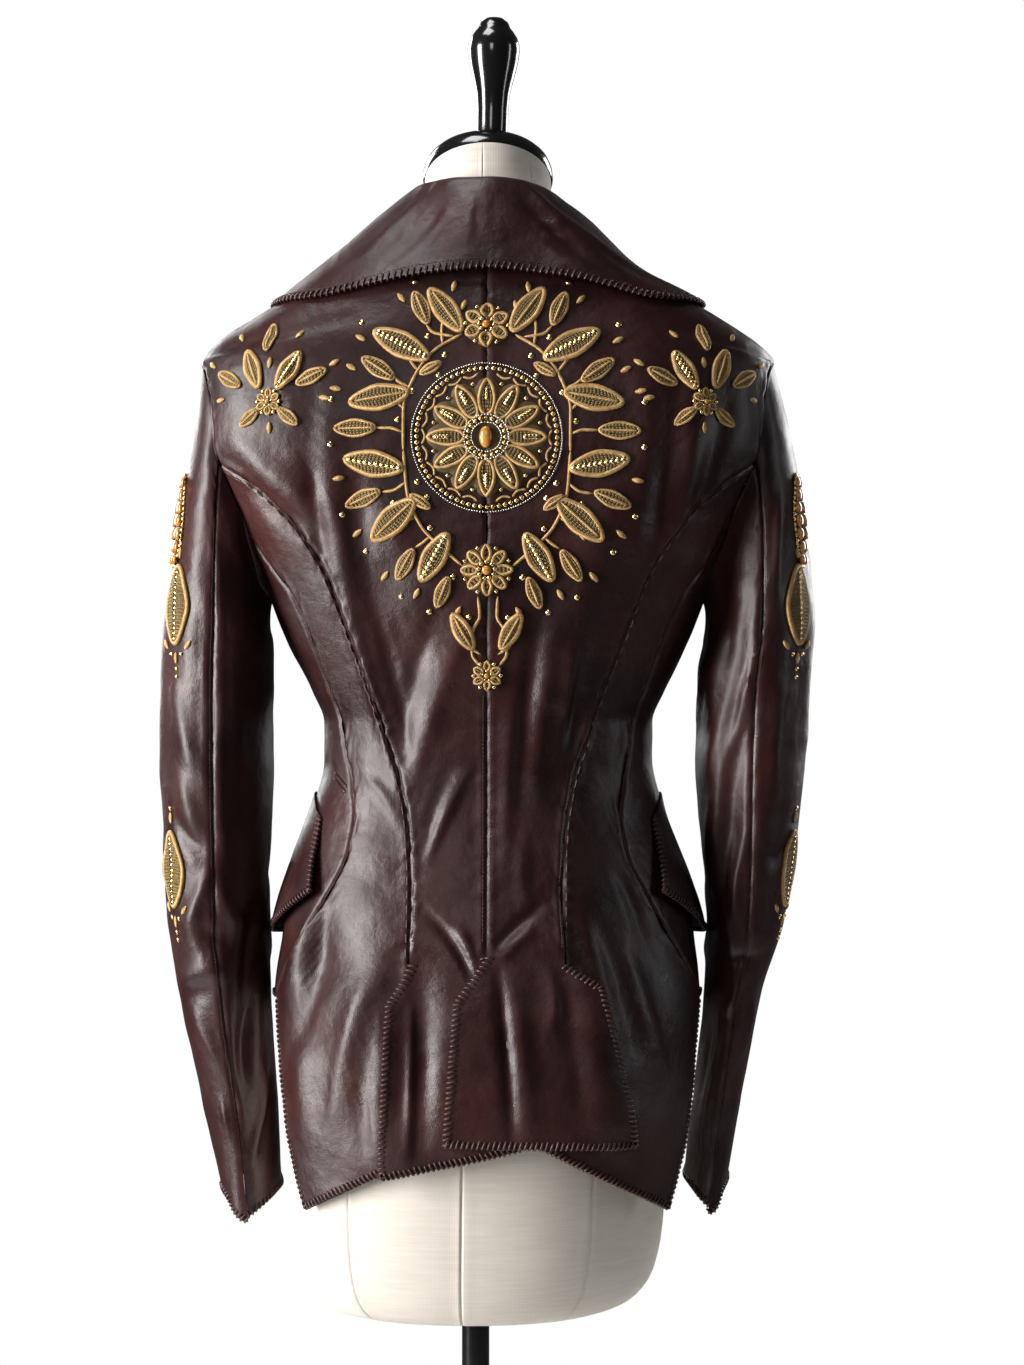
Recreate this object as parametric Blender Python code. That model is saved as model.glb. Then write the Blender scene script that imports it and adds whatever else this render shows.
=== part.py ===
"""A fitted leather jacket with a wide collar and a cut peplum, worn by a limbless dress form on a pole stand.

Metres, +Z up. The origin is under the middle of the stand's base plate. +Y is the side that the jacket's front
faces, and the jacket's back faces -Y. +X is to the right for someone who looks at the back.
The torso is a stack of rings. A place on it is (turn, ring): turn is the angle round the body in radians, 0 at
+X and a quarter turn at the middle of the back, and ring is the height of that ring at the middle of the back.
"""

import math

import bpy
import numpy as np
from mathutils import Vector
from mathutils.bvhtree import BVHTree

# Thickness of the leather, the gap where pieces meet, and how far the folded flaps of the peplum stand off.
LEATHER = 0.0014
SEAM_GAP = 0.0003
UNDER_FLAP_LIFT = 0.0035
UPPER_FLAP_LIFT = 0.0075
# The jacket hangs this far to the right of the pole, because the form leans a little on its stand.
JACKET_X = 0.0095
FORM_LEAN = 0.018
FORM_UPRIGHT_Z = 1.35

QUARTER = math.pi / 2
STEP = 1e-4

# Rings of the jacket's torso: height at the back, half width, depth behind and before the side line,
# squareness of the outline, and how much lower the ring lies over the shoulders and at the front.
TORSO_COLUMNS = ("ring", "half_width", "back", "front", "square", "drop", "fall")
TORSO = (
    (0.760, 0.1560, 0.1245, 0.1180, 2.40, 0.0, 0.0),
    (0.850, 0.1620, 0.1290, 0.1210, 2.40, 0.0, 0.0),
    (0.925, 0.1620, 0.1250, 0.1170, 2.40, 0.0, 0.0),
    (0.990, 0.1550, 0.1140, 0.1110, 2.30, 0.0, 0.0),
    (1.046, 0.1420, 0.1020, 0.1040, 2.25, 0.0, 0.0),
    (1.085, 0.1310, 0.0940, 0.0990, 2.20, 0.0, 0.0),
    (1.115, 0.1245, 0.0900, 0.0970, 2.20, 0.0, 0.0),
    (1.145, 0.1245, 0.0905, 0.1000, 2.20, 0.0, 0.0),
    (1.170, 0.1340, 0.0930, 0.1070, 2.25, 0.0, 0.0),
    (1.190, 0.1440, 0.0955, 0.1150, 2.30, 0.0, 0.0),
    (1.214, 0.1550, 0.0990, 0.1240, 2.40, 0.0, 0.0),
    (1.250, 0.1690, 0.1040, 0.1340, 2.50, 0.0, 0.0),
    (1.300, 0.1910, 0.1090, 0.1350, 2.70, 0.0, 0.0),
    (1.357, 0.2170, 0.1100, 0.1210, 3.00, 0.0, 0.0),
    (1.410, 0.2195, 0.1050, 0.1060, 3.00, 0.0100, 0.0),
    (1.440, 0.2190, 0.0980, 0.0960, 3.00, 0.0260, 0.0040),
    (1.462, 0.2165, 0.0910, 0.0870, 2.90, 0.0430, 0.0100),
    (1.485, 0.1840, 0.0830, 0.0780, 2.70, 0.0390, 0.0180),
    (1.500, 0.1580, 0.0770, 0.0710, 2.60, 0.0400, 0.0250),
    (1.512, 0.1250, 0.0715, 0.0655, 2.40, 0.0360, 0.0310),
    (1.522, 0.0920, 0.0670, 0.0605, 2.30, 0.0300, 0.0360),
    (1.530, 0.0720, 0.0635, 0.0565, 2.20, 0.0220, 0.0400),
    (1.545, 0.0600, 0.0605, 0.0530, 2.10, 0.0120, 0.0460),
)
# Rings of the dress form, with the same columns and how steeply the ring tips up towards the back.
FORM_COLUMNS = TORSO_COLUMNS + ("tip",)
FORM = (
    (0.7000, 0.0900, 0.0650, 0.0620, 2.20, 0.0, 0.0, 0.0),
    (0.7035, 0.1120, 0.0830, 0.0790, 2.20, 0.0, 0.0, 0.0),
    (0.7120, 0.1280, 0.0965, 0.0920, 2.20, 0.0, 0.0, 0.0),
    (0.7300, 0.1390, 0.1060, 0.1010, 2.25, 0.0, 0.0, 0.0),
    (0.7600, 0.1445, 0.1110, 0.1050, 2.30, 0.0, 0.0, 0.0),
    (0.8000, 0.1465, 0.1135, 0.1070, 2.30, 0.0, 0.0, 0.0),
    (0.8600, 0.1480, 0.1150, 0.1080, 2.30, 0.0, 0.0, 0.0),
    (0.9200, 0.1440, 0.1110, 0.1040, 2.30, 0.0, 0.0, 0.0),
    (0.9900, 0.1310, 0.0990, 0.0970, 2.20, 0.0, 0.0, 0.0),
    (1.0500, 0.1200, 0.0870, 0.0900, 2.20, 0.0, 0.0, 0.0),
    (1.1150, 0.1110, 0.0790, 0.0840, 2.15, 0.0, 0.0, 0.0),
    (1.1700, 0.1170, 0.0820, 0.0920, 2.20, 0.0, 0.0, 0.0),
    (1.2500, 0.1360, 0.0920, 0.1150, 2.30, 0.0, 0.0, 0.0),
    (1.3000, 0.1480, 0.0980, 0.1220, 2.40, 0.0, 0.0, 0.0),
    (1.3570, 0.1580, 0.1000, 0.1100, 2.50, 0.0, 0.0, 0.0),
    (1.4100, 0.1660, 0.0950, 0.0960, 2.60, 0.0050, 0.0, 0.0),
    (1.4620, 0.1720, 0.0840, 0.0810, 2.70, 0.0350, 0.0110, 0.0),
    (1.4850, 0.1640, 0.0785, 0.0735, 2.60, 0.0400, 0.0190, 0.0),
    (1.5000, 0.1480, 0.0740, 0.0680, 2.50, 0.0410, 0.0260, 0.0),
    (1.5120, 0.1180, 0.0680, 0.0625, 2.40, 0.0380, 0.0325, 0.0),
    (1.5220, 0.0875, 0.0640, 0.0580, 2.30, 0.0323, 0.0375, 0.0),
    (1.5300, 0.0692, 0.0608, 0.0538, 2.20, 0.0238, 0.0405, 0.0),
    (1.5400, 0.0530, 0.0535, 0.0500, 2.10, 0.0120, 0.0340, 0.10),
    (1.5500, 0.0487, 0.0492, 0.0487, 2.05, 0.0020, 0.0160, 0.30),
    (1.5600, 0.0485, 0.0485, 0.0485, 2.00, 0.0, 0.0, 0.45),
)

# The armhole is an oval in (turn, ring). Its clock angle is 0 at the shoulder tip and a quarter turn at the back.
ARMHOLE_RING = 1.3495
ARMHOLE_HALF_HEIGHT = 0.1125
ARMHOLE_BACK_TURN = math.radians(17.5)
ARMHOLE_FRONT_TURN = math.radians(17.0)
CLOCK_BACK_SEAM = math.radians(95)
CLOCK_SIDE_SEAM = math.radians(122)
CLOCK_FRONT_SEAM = math.radians(230)
CLOCK_SLEEVE_FRONT = math.radians(262.5)
CLOCK_TIP = math.radians(360)
NECK_RING = 1.530

# Seams down the back, as distance from the middle of the back and height.
BACK_SEAM_COLUMNS = ("z", "x")
BACK_SEAM = (
    (0.9735, 0.0555),
    (1.0000, 0.0550),
    (1.0325, 0.0550),
    (1.0692, 0.0570),
    (1.1060, 0.0635),
    (1.1428, 0.0750),
    (1.1795, 0.0880),
    (1.2236, 0.1050),
    (1.2604, 0.1200),
    (1.2900, 0.1390),
    (1.3118, 0.1600),
    (1.3265, 0.1780),
)
SIDE_SEAM = (
    (0.9400, 0.1590),
    (0.9800, 0.1400),
    (1.0218, 0.1160),
    (1.0510, 0.1020),
    (1.0736, 0.0980),
    (1.1036, 0.1005),
    (1.1300, 0.1060),
    (1.1636, 0.1140),
    (1.2090, 0.1300),
    (1.2410, 0.1440),
    (1.2650, 0.1620),
)
FRONT_SEAM = (
    (0.9150, 0.1180),
    (0.9700, 0.1120),
    (1.0500, 0.0960),
    (1.1150, 0.0840),
    (1.1700, 0.0900),
    (1.2200, 0.1080),
    (1.2550, 0.1380),
)
# Where the peplum's vents begin, and the corners of its flaps.
VENT_Z = 0.9785
VENT_FADE = 0.035
RIGHT_FLAP_INNER = ((-0.0297, 0.8466), (-0.0217, 0.9480))
RIGHT_FLAP_OUTER = ((0.1044, 0.8430), (0.0800, 0.9560))
LEFT_FLAP_INNER = ((-0.0250, 0.8430), (-0.0200, 0.9550))
LEFT_FLAP_OUTER = ((0.0747, 0.8212), (0.0715, 0.9450))
SIDE_BACK_POINT = (0.1330, 0.7890)
SIDE_BACK_HIDDEN = (0.0400, 0.8430)
FRONT_HEM_Z = 0.8800
BREAK_Z = 1.190
NECK_FRONT_TURN = math.radians(-58)
CENTRE_FRONT_TURN = math.radians(-89.2)

# The largest folds of the torso: turn and ring of each end in degrees and metres, half width and height.
FOLD_COLUMNS = ("turn_a", "ring_a", "turn_b", "ring_b", "half_width", "height")
TORSO_FOLDS = (
    (113, 0.975, 116, 0.850, 0.017, -0.0055),
    (126, 0.965, 121, 0.820, 0.018, 0.0050),
    (141, 0.985, 151, 0.905, 0.016, -0.0055),
    (58, 0.975, 50, 0.840, 0.018, 0.0045),
    (36, 1.000, 32, 0.870, 0.017, -0.0045),
    (136, 1.330, 121, 1.160, 0.018, -0.0045),
    (47, 1.320, 62, 1.150, 0.018, 0.0040),
    (-35, 1.270, -62, 1.140, 0.020, -0.0040),
    (215, 1.270, 242, 1.140, 0.020, -0.0040),
)
FOLD_RADIUS = 0.125

# Stations down each sleeve: height and distance from the middle of the jacket, half width, how far the ring
# tilts up on its outer side, place and half depth from back to front, and how far the hem dips at the vent.
SLEEVE_COLUMNS = ("z", "x", "half_width", "tilt", "y", "half_depth", "dip")
LEFT_SLEEVE = (
    (1.328, 0.1910, 0.0250, 0.091, -0.001, 0.0635, 0.0),
    (1.305, 0.1955, 0.0265, 0.078, 0.000, 0.0645, 0.0),
    (1.283, 0.1990, 0.0290, 0.062, 0.000, 0.0650, 0.0),
    (1.262, 0.2025, 0.0330, 0.045, 0.000, 0.0650, 0.0),
    (1.240, 0.2055, 0.0370, 0.027, 0.000, 0.0640, 0.0),
    (1.215, 0.2070, 0.0410, 0.010, 0.000, 0.0635, 0.0),
    (1.180, 0.2085, 0.0430, 0.0, 0.001, 0.0620, 0.0),
    (1.116, 0.2090, 0.0435, 0.0, 0.003, 0.0600, 0.0),
    (1.060, 0.2085, 0.0410, 0.0, 0.005, 0.0580, 0.0),
    (1.000, 0.2080, 0.0395, 0.0, 0.008, 0.0550, 0.0),
    (0.930, 0.2025, 0.0345, 0.0, 0.012, 0.0520, 0.0),
    (0.854, 0.1925, 0.0290, 0.0, 0.016, 0.0480, 0.002),
    (0.800, 0.1860, 0.0240, 0.0, 0.019, 0.0450, 0.014),
    (0.785, 0.1840, 0.0230, 0.0, 0.020, 0.0445, 0.018),
)
RIGHT_SLEEVE = (
    (1.328, 0.1910, 0.0250, 0.091, -0.001, 0.0635, 0.0),
    (1.307, 0.1985, 0.0295, 0.078, 0.000, 0.0650, 0.0),
    (1.286, 0.2035, 0.0335, 0.062, 0.000, 0.0660, 0.0),
    (1.264, 0.2070, 0.0375, 0.045, 0.000, 0.0655, 0.0),
    (1.240, 0.2085, 0.0405, 0.027, 0.000, 0.0645, 0.0),
    (1.215, 0.2080, 0.0420, 0.010, 0.000, 0.0635, 0.0),
    (1.180, 0.2045, 0.0430, 0.0, 0.001, 0.0620, 0.0),
    (1.116, 0.2020, 0.0420, 0.0, 0.004, 0.0600, 0.0),
    (1.046, 0.2010, 0.0360, 0.0, 0.008, 0.0580, 0.0),
    (0.990, 0.1985, 0.0290, 0.0, 0.012, 0.0550, 0.0),
    (0.930, 0.1890, 0.0215, 0.0, 0.018, 0.0520, 0.0),
    (0.865, 0.1800, 0.0185, 0.0, 0.023, 0.0500, 0.002),
    (0.810, 0.1720, 0.0170, 0.0, 0.026, 0.0480, 0.014),
    (0.790, 0.1695, 0.0160, 0.0, 0.027, 0.0475, 0.018),
)
SLEEVE_HEAD_ROWS = 6
ARMHOLE_EASE = 0.988
HEAD_NORMAL_DOWN = 0.045
HEAD_BOW = 0.013
SLEEVE_ROWS = 21
DIP_HALF_WIDTH = math.radians(38)
VENT_OPEN_UPPER = 0.004
VENT_OPEN_UNDER = -0.009
# The sleeves' largest folds: clock angle and height of each end, half width and height of the fold.
SLEEVE_FOLD_COLUMNS = ("clock_a", "z_a", "clock_b", "z_b", "half_width", "height")
LEFT_SLEEVE_FOLDS = (
    (150, 1.000, 112, 0.870, 0.013, -0.0100),
    (60, 1.010, 100, 0.950, 0.016, 0.0040),
    (120, 1.250, 118, 1.120, 0.015, 0.0040),
)
RIGHT_SLEEVE_FOLDS = (
    (128, 1.240, 140, 1.090, 0.015, 0.0045),
    (112, 1.180, 122, 1.030, 0.014, -0.0040),
    (140, 1.080, 112, 0.930, 0.015, 0.0040),
)
SLEEVE_FOLD_RADIUS = 0.052

# The collar: its fold round the neck and the ring of the torso that its outer edge lies over.
COLLAR_FOLD_HALF_WIDTH = 0.0545
COLLAR_FOLD_DEPTH = 0.0600
COLLAR_FOLD_FRONT = 0.0580
COLLAR_FOLD_Z = 1.5535
COLLAR_FOLD_FALL = 0.0480
# The right side of the collar has slipped a little lower than the left and hugs the shoulder.
COLLAR_RIGHT_SLIP = 0.0085
COLLAR_RIGHT_SAG = 0.0130
COLLAR_BASE_GAP = 0.0022
COLLAR_END_TURN = math.radians(-54)
COLLAR_POINT_TURN = math.radians(-41)
COLLAR_EDGE_COLUMNS = ("turn", "ring", "lift")
COLLAR_EDGE = (
    (-60, 1.4300, 0.0060),
    (-52, 1.4360, 0.0060),
    (-35, 1.4580, 0.0055),
    (-15, 1.4860, 0.0045),
    (0, 1.4990, 0.0040),
    (15, 1.4930, 0.0045),
    (35, 1.4790, 0.0065),
    (60, 1.4770, 0.0085),
    (90, 1.4790, 0.0095),
)

# The stand under the form and the fittings on its neck, as radius and height of each turned outline.
POLE_RADIUS = 0.0105
BASE_PLATE = ((0.0, 0.0), (0.188, 0.0), (0.190, 0.002), (0.190, 0.008), (0.187, 0.011), (0.0, 0.011))
POLE_FOOT = (
    (0.0, 0.0113),
    (0.034, 0.0113),
    (0.034, 0.019),
    (0.030, 0.0215),
    (0.018, 0.0235),
    (0.018, 0.052),
    (0.016, 0.0545),
    (0.0, 0.0545),
)
POLE_SPAN = (0.0548, 0.6837)
POLE_SOCKET = (
    (0.0, 0.6840),
    (0.0160, 0.6840),
    (0.0200, 0.6870),
    (0.0200, 0.6940),
    (0.0330, 0.6965),
    (0.0330, 0.6997),
    (0.0, 0.6997),
)
NECK_TIP = math.atan(0.45)
SLANT_HEIGHT = 0.030
NECK_CAP = (
    (0.0, 0.0),
    (0.0495, 0.0),
    (0.0500, 0.0020),
    (0.0495, 0.0080),
    (0.0475, 0.0135),
    (0.0445, 0.0170),
    (0.0380, 0.0185),
    (0.0, 0.0188),
)
NECK_CAP_Z = 1.5603
FINIAL_X = 0.0028
FINIAL_LEAN = math.radians(1.3)
FINIAL_Z = 1.5817
FINIAL = (
    (0.0, 0.0005),
    (0.0170, 0.0005),
    (0.0165, 0.0045),
    (0.0130, 0.0085),
    (0.0122, 0.0150),
    (0.0121, 0.0345),
    (0.0130, 0.0462),
    (0.0145, 0.0533),
    (0.0163, 0.0604),
    (0.0178, 0.0663),
    (0.0189, 0.0722),
    (0.0198, 0.0793),
    (0.0194, 0.0851),
    (0.0177, 0.0899),
    (0.0150, 0.0940),
    (0.0123, 0.0973),
    (0.0120, 0.0980),
    (0.0105, 0.1015),
    (0.0065, 0.1045),
    (0.0, 0.1054),
)

# Raised gold thread work, the same on both halves: middle, length, width and lean of each leaf on the back.
THREAD_THICK = 0.0016
THREAD_CLEAR = 0.0004
LEAF_COLUMNS = ("x", "z", "length", "width", "lean")
BACK_LEAVES = (
    (0.0300, 1.4500, 0.0440, 0.0200, 35),
    (0.0620, 1.4240, 0.0480, 0.0220, 62),
    (0.0780, 1.3850, 0.0460, 0.0220, 100),
    (0.0820, 1.3370, 0.0460, 0.0220, 80),
    (0.0680, 1.2960, 0.0460, 0.0220, 132),
    (0.0380, 1.2690, 0.0420, 0.0200, 150),
    (0.0175, 1.2150, 0.0320, 0.0150, 28),
)
# Flowers down the middle of the back: height, radius and number of petals.
BACK_FLOWERS = (
    (1.3560, 0.0440, 12),
    (1.4380, 0.0170, 6),
    (1.2600, 0.0190, 8),
    (1.1830, 0.0110, 6),
)
# Leaves on the shoulders and down the outside of each sleeve.
SHOULDER_LEAVES = (
    (0.1720, 1.4080, 0.0340, 0.0160, 25),
    (0.1450, 1.4060, 0.0340, 0.0160, -30),
)
# Motifs down the outside of a sleeve: angle from +X towards the back, height, length and width.
SLEEVE_LEAVES = (
    (62, 1.2350, 0.0620, 0.0320),
    (48, 1.0350, 0.0600, 0.0300),
)
BEAD_STRIP = (57, 1.2980, 0.0720, 0.0210)
BEAD_THICK = 0.0040

BUTTON_RADIUS = 0.0100
BUTTON_THICK = 0.0035
BUTTON_HEIGHTS = (1.155, 1.085)

COLOURS = {
    "leather": ((0.045, 0.018, 0.015, 1.0), 0.34, 0.0),
    "linen": ((0.62, 0.56, 0.48, 1.0), 0.85, 0.0),
    "black_paint": ((0.012, 0.012, 0.013, 1.0), 0.25, 0.0),
    "black_wood": ((0.012, 0.012, 0.013, 1.0), 0.20, 0.0),
    "gold_thread": ((0.42, 0.27, 0.09, 1.0), 0.45, 0.25),
    "horn": ((0.050, 0.030, 0.022, 1.0), 0.30, 0.0),
}


def monotone_curve(knots, values):
    """A smooth curve through a table that doesn't overshoot between its rows."""
    knots = np.asarray(knots, float)
    values = np.asarray(values, float)
    gaps = np.diff(knots)
    slopes = np.diff(values) / gaps
    tangents = np.zeros_like(values)
    same_way = slopes[:-1] * slopes[1:] > 0
    first = 2 * gaps[1:] + gaps[:-1]
    second = gaps[1:] + 2 * gaps[:-1]
    safe = np.where(same_way, slopes[:-1], 1.0), np.where(same_way, slopes[1:], 1.0)
    tangents[1:-1] = np.where(same_way, (first + second) / (first / safe[0] + second / safe[1]), 0.0)
    tangents[0], tangents[-1] = slopes[0], slopes[-1]

    def read(at):
        at = np.clip(np.asarray(at, float), knots[0], knots[-1])
        row = np.clip(np.searchsorted(knots, at) - 1, 0, len(gaps) - 1)
        gap = gaps[row]
        share = (at - knots[row]) / gap
        rest = 1 - share
        return (
            values[row] * (1 + 2 * share) * rest**2
            + tangents[row] * gap * share * rest**2
            + values[row + 1] * share**2 * (3 - 2 * share)
            - tangents[row + 1] * gap * share**2 * rest
        )

    return read


def table_curves(table, columns):
    """One curve for each column of a table after the first, by name."""
    rows = np.array(table, float)
    order = np.argsort(rows[:, 0])
    return {name: monotone_curve(rows[order, 0], rows[order, k]) for k, name in enumerate(columns) if k}


TORSO_CURVES = table_curves(TORSO, TORSO_COLUMNS)
FORM_CURVES = table_curves(FORM, FORM_COLUMNS)
EDGE_CURVES = table_curves(COLLAR_EDGE, COLLAR_EDGE_COLUMNS)


def smooth_step(value, start, end):
    share = np.clip((np.asarray(value, float) - start) / (end - start), 0.0, 1.0)
    return share * share * (3 - 2 * share)


def outline_radius(turn, half_width, depth, square):
    across = np.abs(np.cos(turn)) / half_width
    along = np.abs(np.sin(turn)) / depth
    return (across**square + along**square) ** (-1 / square)


def ring_point(turn, ring, curves):
    """A point of the torso or of the form, without folds."""
    depth = np.where(np.sin(turn) > 0, curves["back"](ring), curves["front"](ring))
    radius = outline_radius(turn, curves["half_width"](ring), depth, curves["square"](ring))
    height = ring - curves["drop"](ring) * np.cos(turn) ** 4
    height = height - curves["fall"](ring) * np.minimum(np.sin(turn), 0.0) ** 2
    if "tip" in curves:
        height = height + curves["tip"](ring) * radius * np.sin(turn)
    return np.stack([radius * np.cos(turn), -radius * np.sin(turn), height + 0 * radius], -1)


def normals(surface, u, v, sign=1.0):
    """Unit normals of surface(u, v), by small steps either way."""
    along_u = surface(u + STEP, v) - surface(u - STEP, v)
    along_v = surface(u, v + STEP) - surface(u, v - STEP)
    cross = np.cross(along_u, along_v) * sign
    return cross / np.maximum(np.linalg.norm(cross, axis=-1, keepdims=True), 1e-12)


def fold_heights(across, height, radius, folds):
    """The sum of soft folds at places given by an angle and a height. Each fades out at its ends and sides."""
    total = np.zeros(np.broadcast(across, height).shape)
    for turn_a, height_a, turn_b, height_b, half_width, depth in folds:
        start = np.array([math.radians(turn_a) * radius, height_a])
        way = np.array([math.radians(turn_b) * radius, height_b]) - start
        length = np.linalg.norm(way)
        way = way / length
        du, dv = across * radius - start[0], height - start[1]
        along = (du * way[0] + dv * way[1]) / length
        aside = du * way[1] - dv * way[0]
        fade = smooth_step(along, -0.15, 0.25) * (1 - smooth_step(along, 0.75, 1.15))
        total = total + depth * np.exp(-((aside / half_width) ** 2)) * fade
    return total


def plain_torso(turn, ring):
    return ring_point(turn, ring, TORSO_CURVES)


def torso(turn, ring):
    """The inside of the jacket's body, with its largest folds."""
    height = fold_heights(turn, ring, FOLD_RADIUS, TORSO_FOLDS)
    return plain_torso(turn, ring) + normals(plain_torso, turn, ring, -1) * height[..., None]


def off_torso(turn, ring, distance):
    return torso(turn, ring) + normals(torso, turn, ring, -1) * np.asarray(distance)[..., None]


def form_surface(turn, ring):
    point = ring_point(turn, ring, FORM_CURVES)
    point[..., 0] += FORM_LEAN * np.minimum(point[..., 2] - FORM_UPRIGHT_Z, 0.0)
    return point


def torso_place(x, z, front=False):
    """(turn, ring) of the place x to the right of the middle at height z, on the back or the front."""
    half_width = TORSO_CURVES["half_width"](z)
    square = TORSO_CURVES["square"](z)
    depth = TORSO_CURVES["front" if front else "back"](z)
    share = min(abs(x) / half_width, 1.0)
    y = depth * (1 - share**square) ** (1 / square)
    turn = math.atan2(y, x)
    return (-turn if front else turn, z)


def armhole_place(clock):
    reach = np.where(np.sin(clock) > 0, ARMHOLE_BACK_TURN, ARMHOLE_FRONT_TURN)
    return np.stack([reach * np.sin(clock), ARMHOLE_RING + ARMHOLE_HALF_HEIGHT * np.cos(clock)], -1)


def leg(places, cells, smooth=True):
    """cells + 1 places spread evenly along a line of (turn, ring) places."""
    places = np.array(places, float)
    steps = np.linalg.norm(np.diff(places * [FOLD_RADIUS, 1.0], axis=0), axis=1)
    along = np.concatenate([[0.0], np.cumsum(steps)])
    even = np.linspace(0, along[-1], cells + 1)
    if smooth and len(places) > 2:
        return np.stack([monotone_curve(along, places[:, k])(even) for k in (0, 1)], -1)
    return np.stack([np.interp(even, along, places[:, k]) for k in (0, 1)], -1)


def chain(*legs):
    """Legs joined end to end, each starting where the last one ended."""
    return np.concatenate([legs[0]] + [part[1:] for part in legs[1:]])


def armhole_leg(start, end, cells):
    return armhole_place(np.linspace(start, end, cells + 1))


def seam_leg(table, cells, clock, front=False):
    """A seam from its lowest row up to where it meets the armhole."""
    places = [torso_place(x, z, front) for z, x in table]
    return leg(places + [armhole_place(clock)], cells)


def coons(bottom, right, top, left, fade=1.0):
    """A grid of places inside four edges. Rows run up and columns run from left to right.

    A higher fade keeps the bends of the top and bottom edges closer to them.
    """
    v = np.linspace(0, 1, len(left))[:, None, None]
    u = np.linspace(0, 1, len(bottom))[None, :, None]
    across = (1 - u) * left[:, None] + u * right[:, None]
    bottom_bend = bottom[None] - (1 - u) * bottom[0] - u * bottom[-1]
    top_bend = top[None] - (1 - u) * top[0] - u * top[-1]
    return across + (1 - v) ** fade * bottom_bend + v**fade * top_bend


def ease_edges(grid, surface, ease=SEAM_GAP * 0.6):
    """Draws each edge of a grid in by a hair, so that pieces stay apart at their seams."""
    eased = grid.copy()
    edges = ((np.s_[0], np.s_[1]), (np.s_[-1], np.s_[-2]), (np.s_[:, 0], np.s_[:, 1]), (np.s_[:, -1], np.s_[:, -2]))
    for edge, inner in edges:
        here, there = eased[edge].copy(), eased[inner]
        rim = surface(*here.T)
        along = np.gradient(rim, axis=0)
        along = along / np.maximum(np.linalg.norm(along, axis=-1, keepdims=True), 1e-9)
        step = surface(*there.T) - rim
        aside = step - along * np.sum(step * along, axis=-1, keepdims=True)
        share = np.minimum(ease / np.maximum(np.linalg.norm(aside, axis=-1), 1e-6), 0.4)
        eased[edge] = here + (there - here) * share[:, None]
    return eased


def clear_scene():
    for obj in list(bpy.data.objects):
        bpy.data.objects.remove(obj)


def material(name):
    found = bpy.data.materials.get(name)
    if found:
        return found
    made = bpy.data.materials.new(name)
    made.use_nodes = True
    colour, roughness, metallic = COLOURS[name]
    shader = made.node_tree.nodes["Principled BSDF"]
    shader.inputs["Base Color"].default_value = colour
    shader.inputs["Roughness"].default_value = roughness
    shader.inputs["Metallic"].default_value = metallic
    made.diffuse_color = colour
    return made


def add_object(name, points, faces, finish, parent):
    """An object from points and faces, its faces turned so that they point out."""
    points = np.asarray([tuple(point) for point in points], float)
    corners = np.array([(face[0], face[k], face[k + 1]) for face in faces for k in range(1, len(face) - 1)])
    first, second, third = points[corners[:, 0]], points[corners[:, 1]], points[corners[:, 2]]
    if np.sum(first * np.cross(second, third)) < 0:
        faces = [tuple(reversed(face)) for face in faces]
    mesh = bpy.data.meshes.new(name)
    mesh.from_pydata([tuple(p) for p in points], [], faces)
    mesh.shade_smooth()
    mesh.set_sharp_from_angle(angle=math.radians(50))
    mesh.materials.append(material(finish))
    obj = bpy.data.objects.new(name, mesh)
    bpy.context.scene.collection.objects.link(obj)
    obj.parent = parent
    return obj


def wall(name, outer, inner, finish, parent):
    """A closed wall between two grids of points."""
    rows, columns = outer.shape[:2]
    count = rows * columns
    points = np.concatenate([outer.reshape(-1, 3), inner.reshape(-1, 3)])
    at = np.arange(count).reshape(rows, columns)
    faces = []
    for r in range(rows - 1):
        for c in range(columns - 1):
            quad = (at[r, c], at[r, c + 1], at[r + 1, c + 1], at[r + 1, c])
            faces.append(tuple(int(k) for k in quad))
            faces.append(tuple(int(k) + count for k in reversed(quad)))
    rim = list(at[0, :]) + list(at[1:, -1]) + list(at[-1, -2::-1]) + list(at[-2:0:-1, 0])
    for here, there in zip(rim, rim[1:] + rim[:1]):
        faces.append((int(there), int(here), int(here) + count, int(there) + count))
    return add_object(name, points, faces, finish, parent)


def turned(name, outline, finish, parent, steps=32, centre=(0.0, 0.0, 0.0), tip=0.0, slant=0.0):
    """A solid turned round an upright axis from (radius, height) pairs that start and end on the axis.

    tip leans the whole solid towards +Y. slant cuts only its foot to sit on a tilted top.
    """
    points, faces = [], []
    rings = []
    for radius, height in outline:
        cut = slant * max(0.0, 1.0 - height / SLANT_HEIGHT)
        if radius == 0.0:
            rings.append([len(points)])
            points.append((0.0, 0.0, height))
            continue
        rings.append(list(range(len(points), len(points) + steps)))
        for k in range(steps):
            angle = 2 * math.pi * k / steps
            y = radius * math.sin(angle)
            points.append((radius * math.cos(angle), y, height - cut * y))
    for low, high in zip(rings, rings[1:]):
        for k in range(steps):
            nxt = (k + 1) % steps
            corners = [low[k % len(low)], low[nxt % len(low)], high[nxt % len(high)], high[k % len(high)]]
            faces.append(tuple(dict.fromkeys(corners)))
    obj = add_object(name, points, faces, finish, parent)
    obj.location = centre
    obj.rotation_euler = (-tip, 0.0, 0.0)
    return obj


def on_side(grid, side):
    """The same places on the right half, side 1, or mirrored to the left half, side -1."""
    if side > 0:
        return grid
    mirrored = grid.copy()
    mirrored[..., 0] = math.pi - grid[..., 0]
    return mirrored


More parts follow.
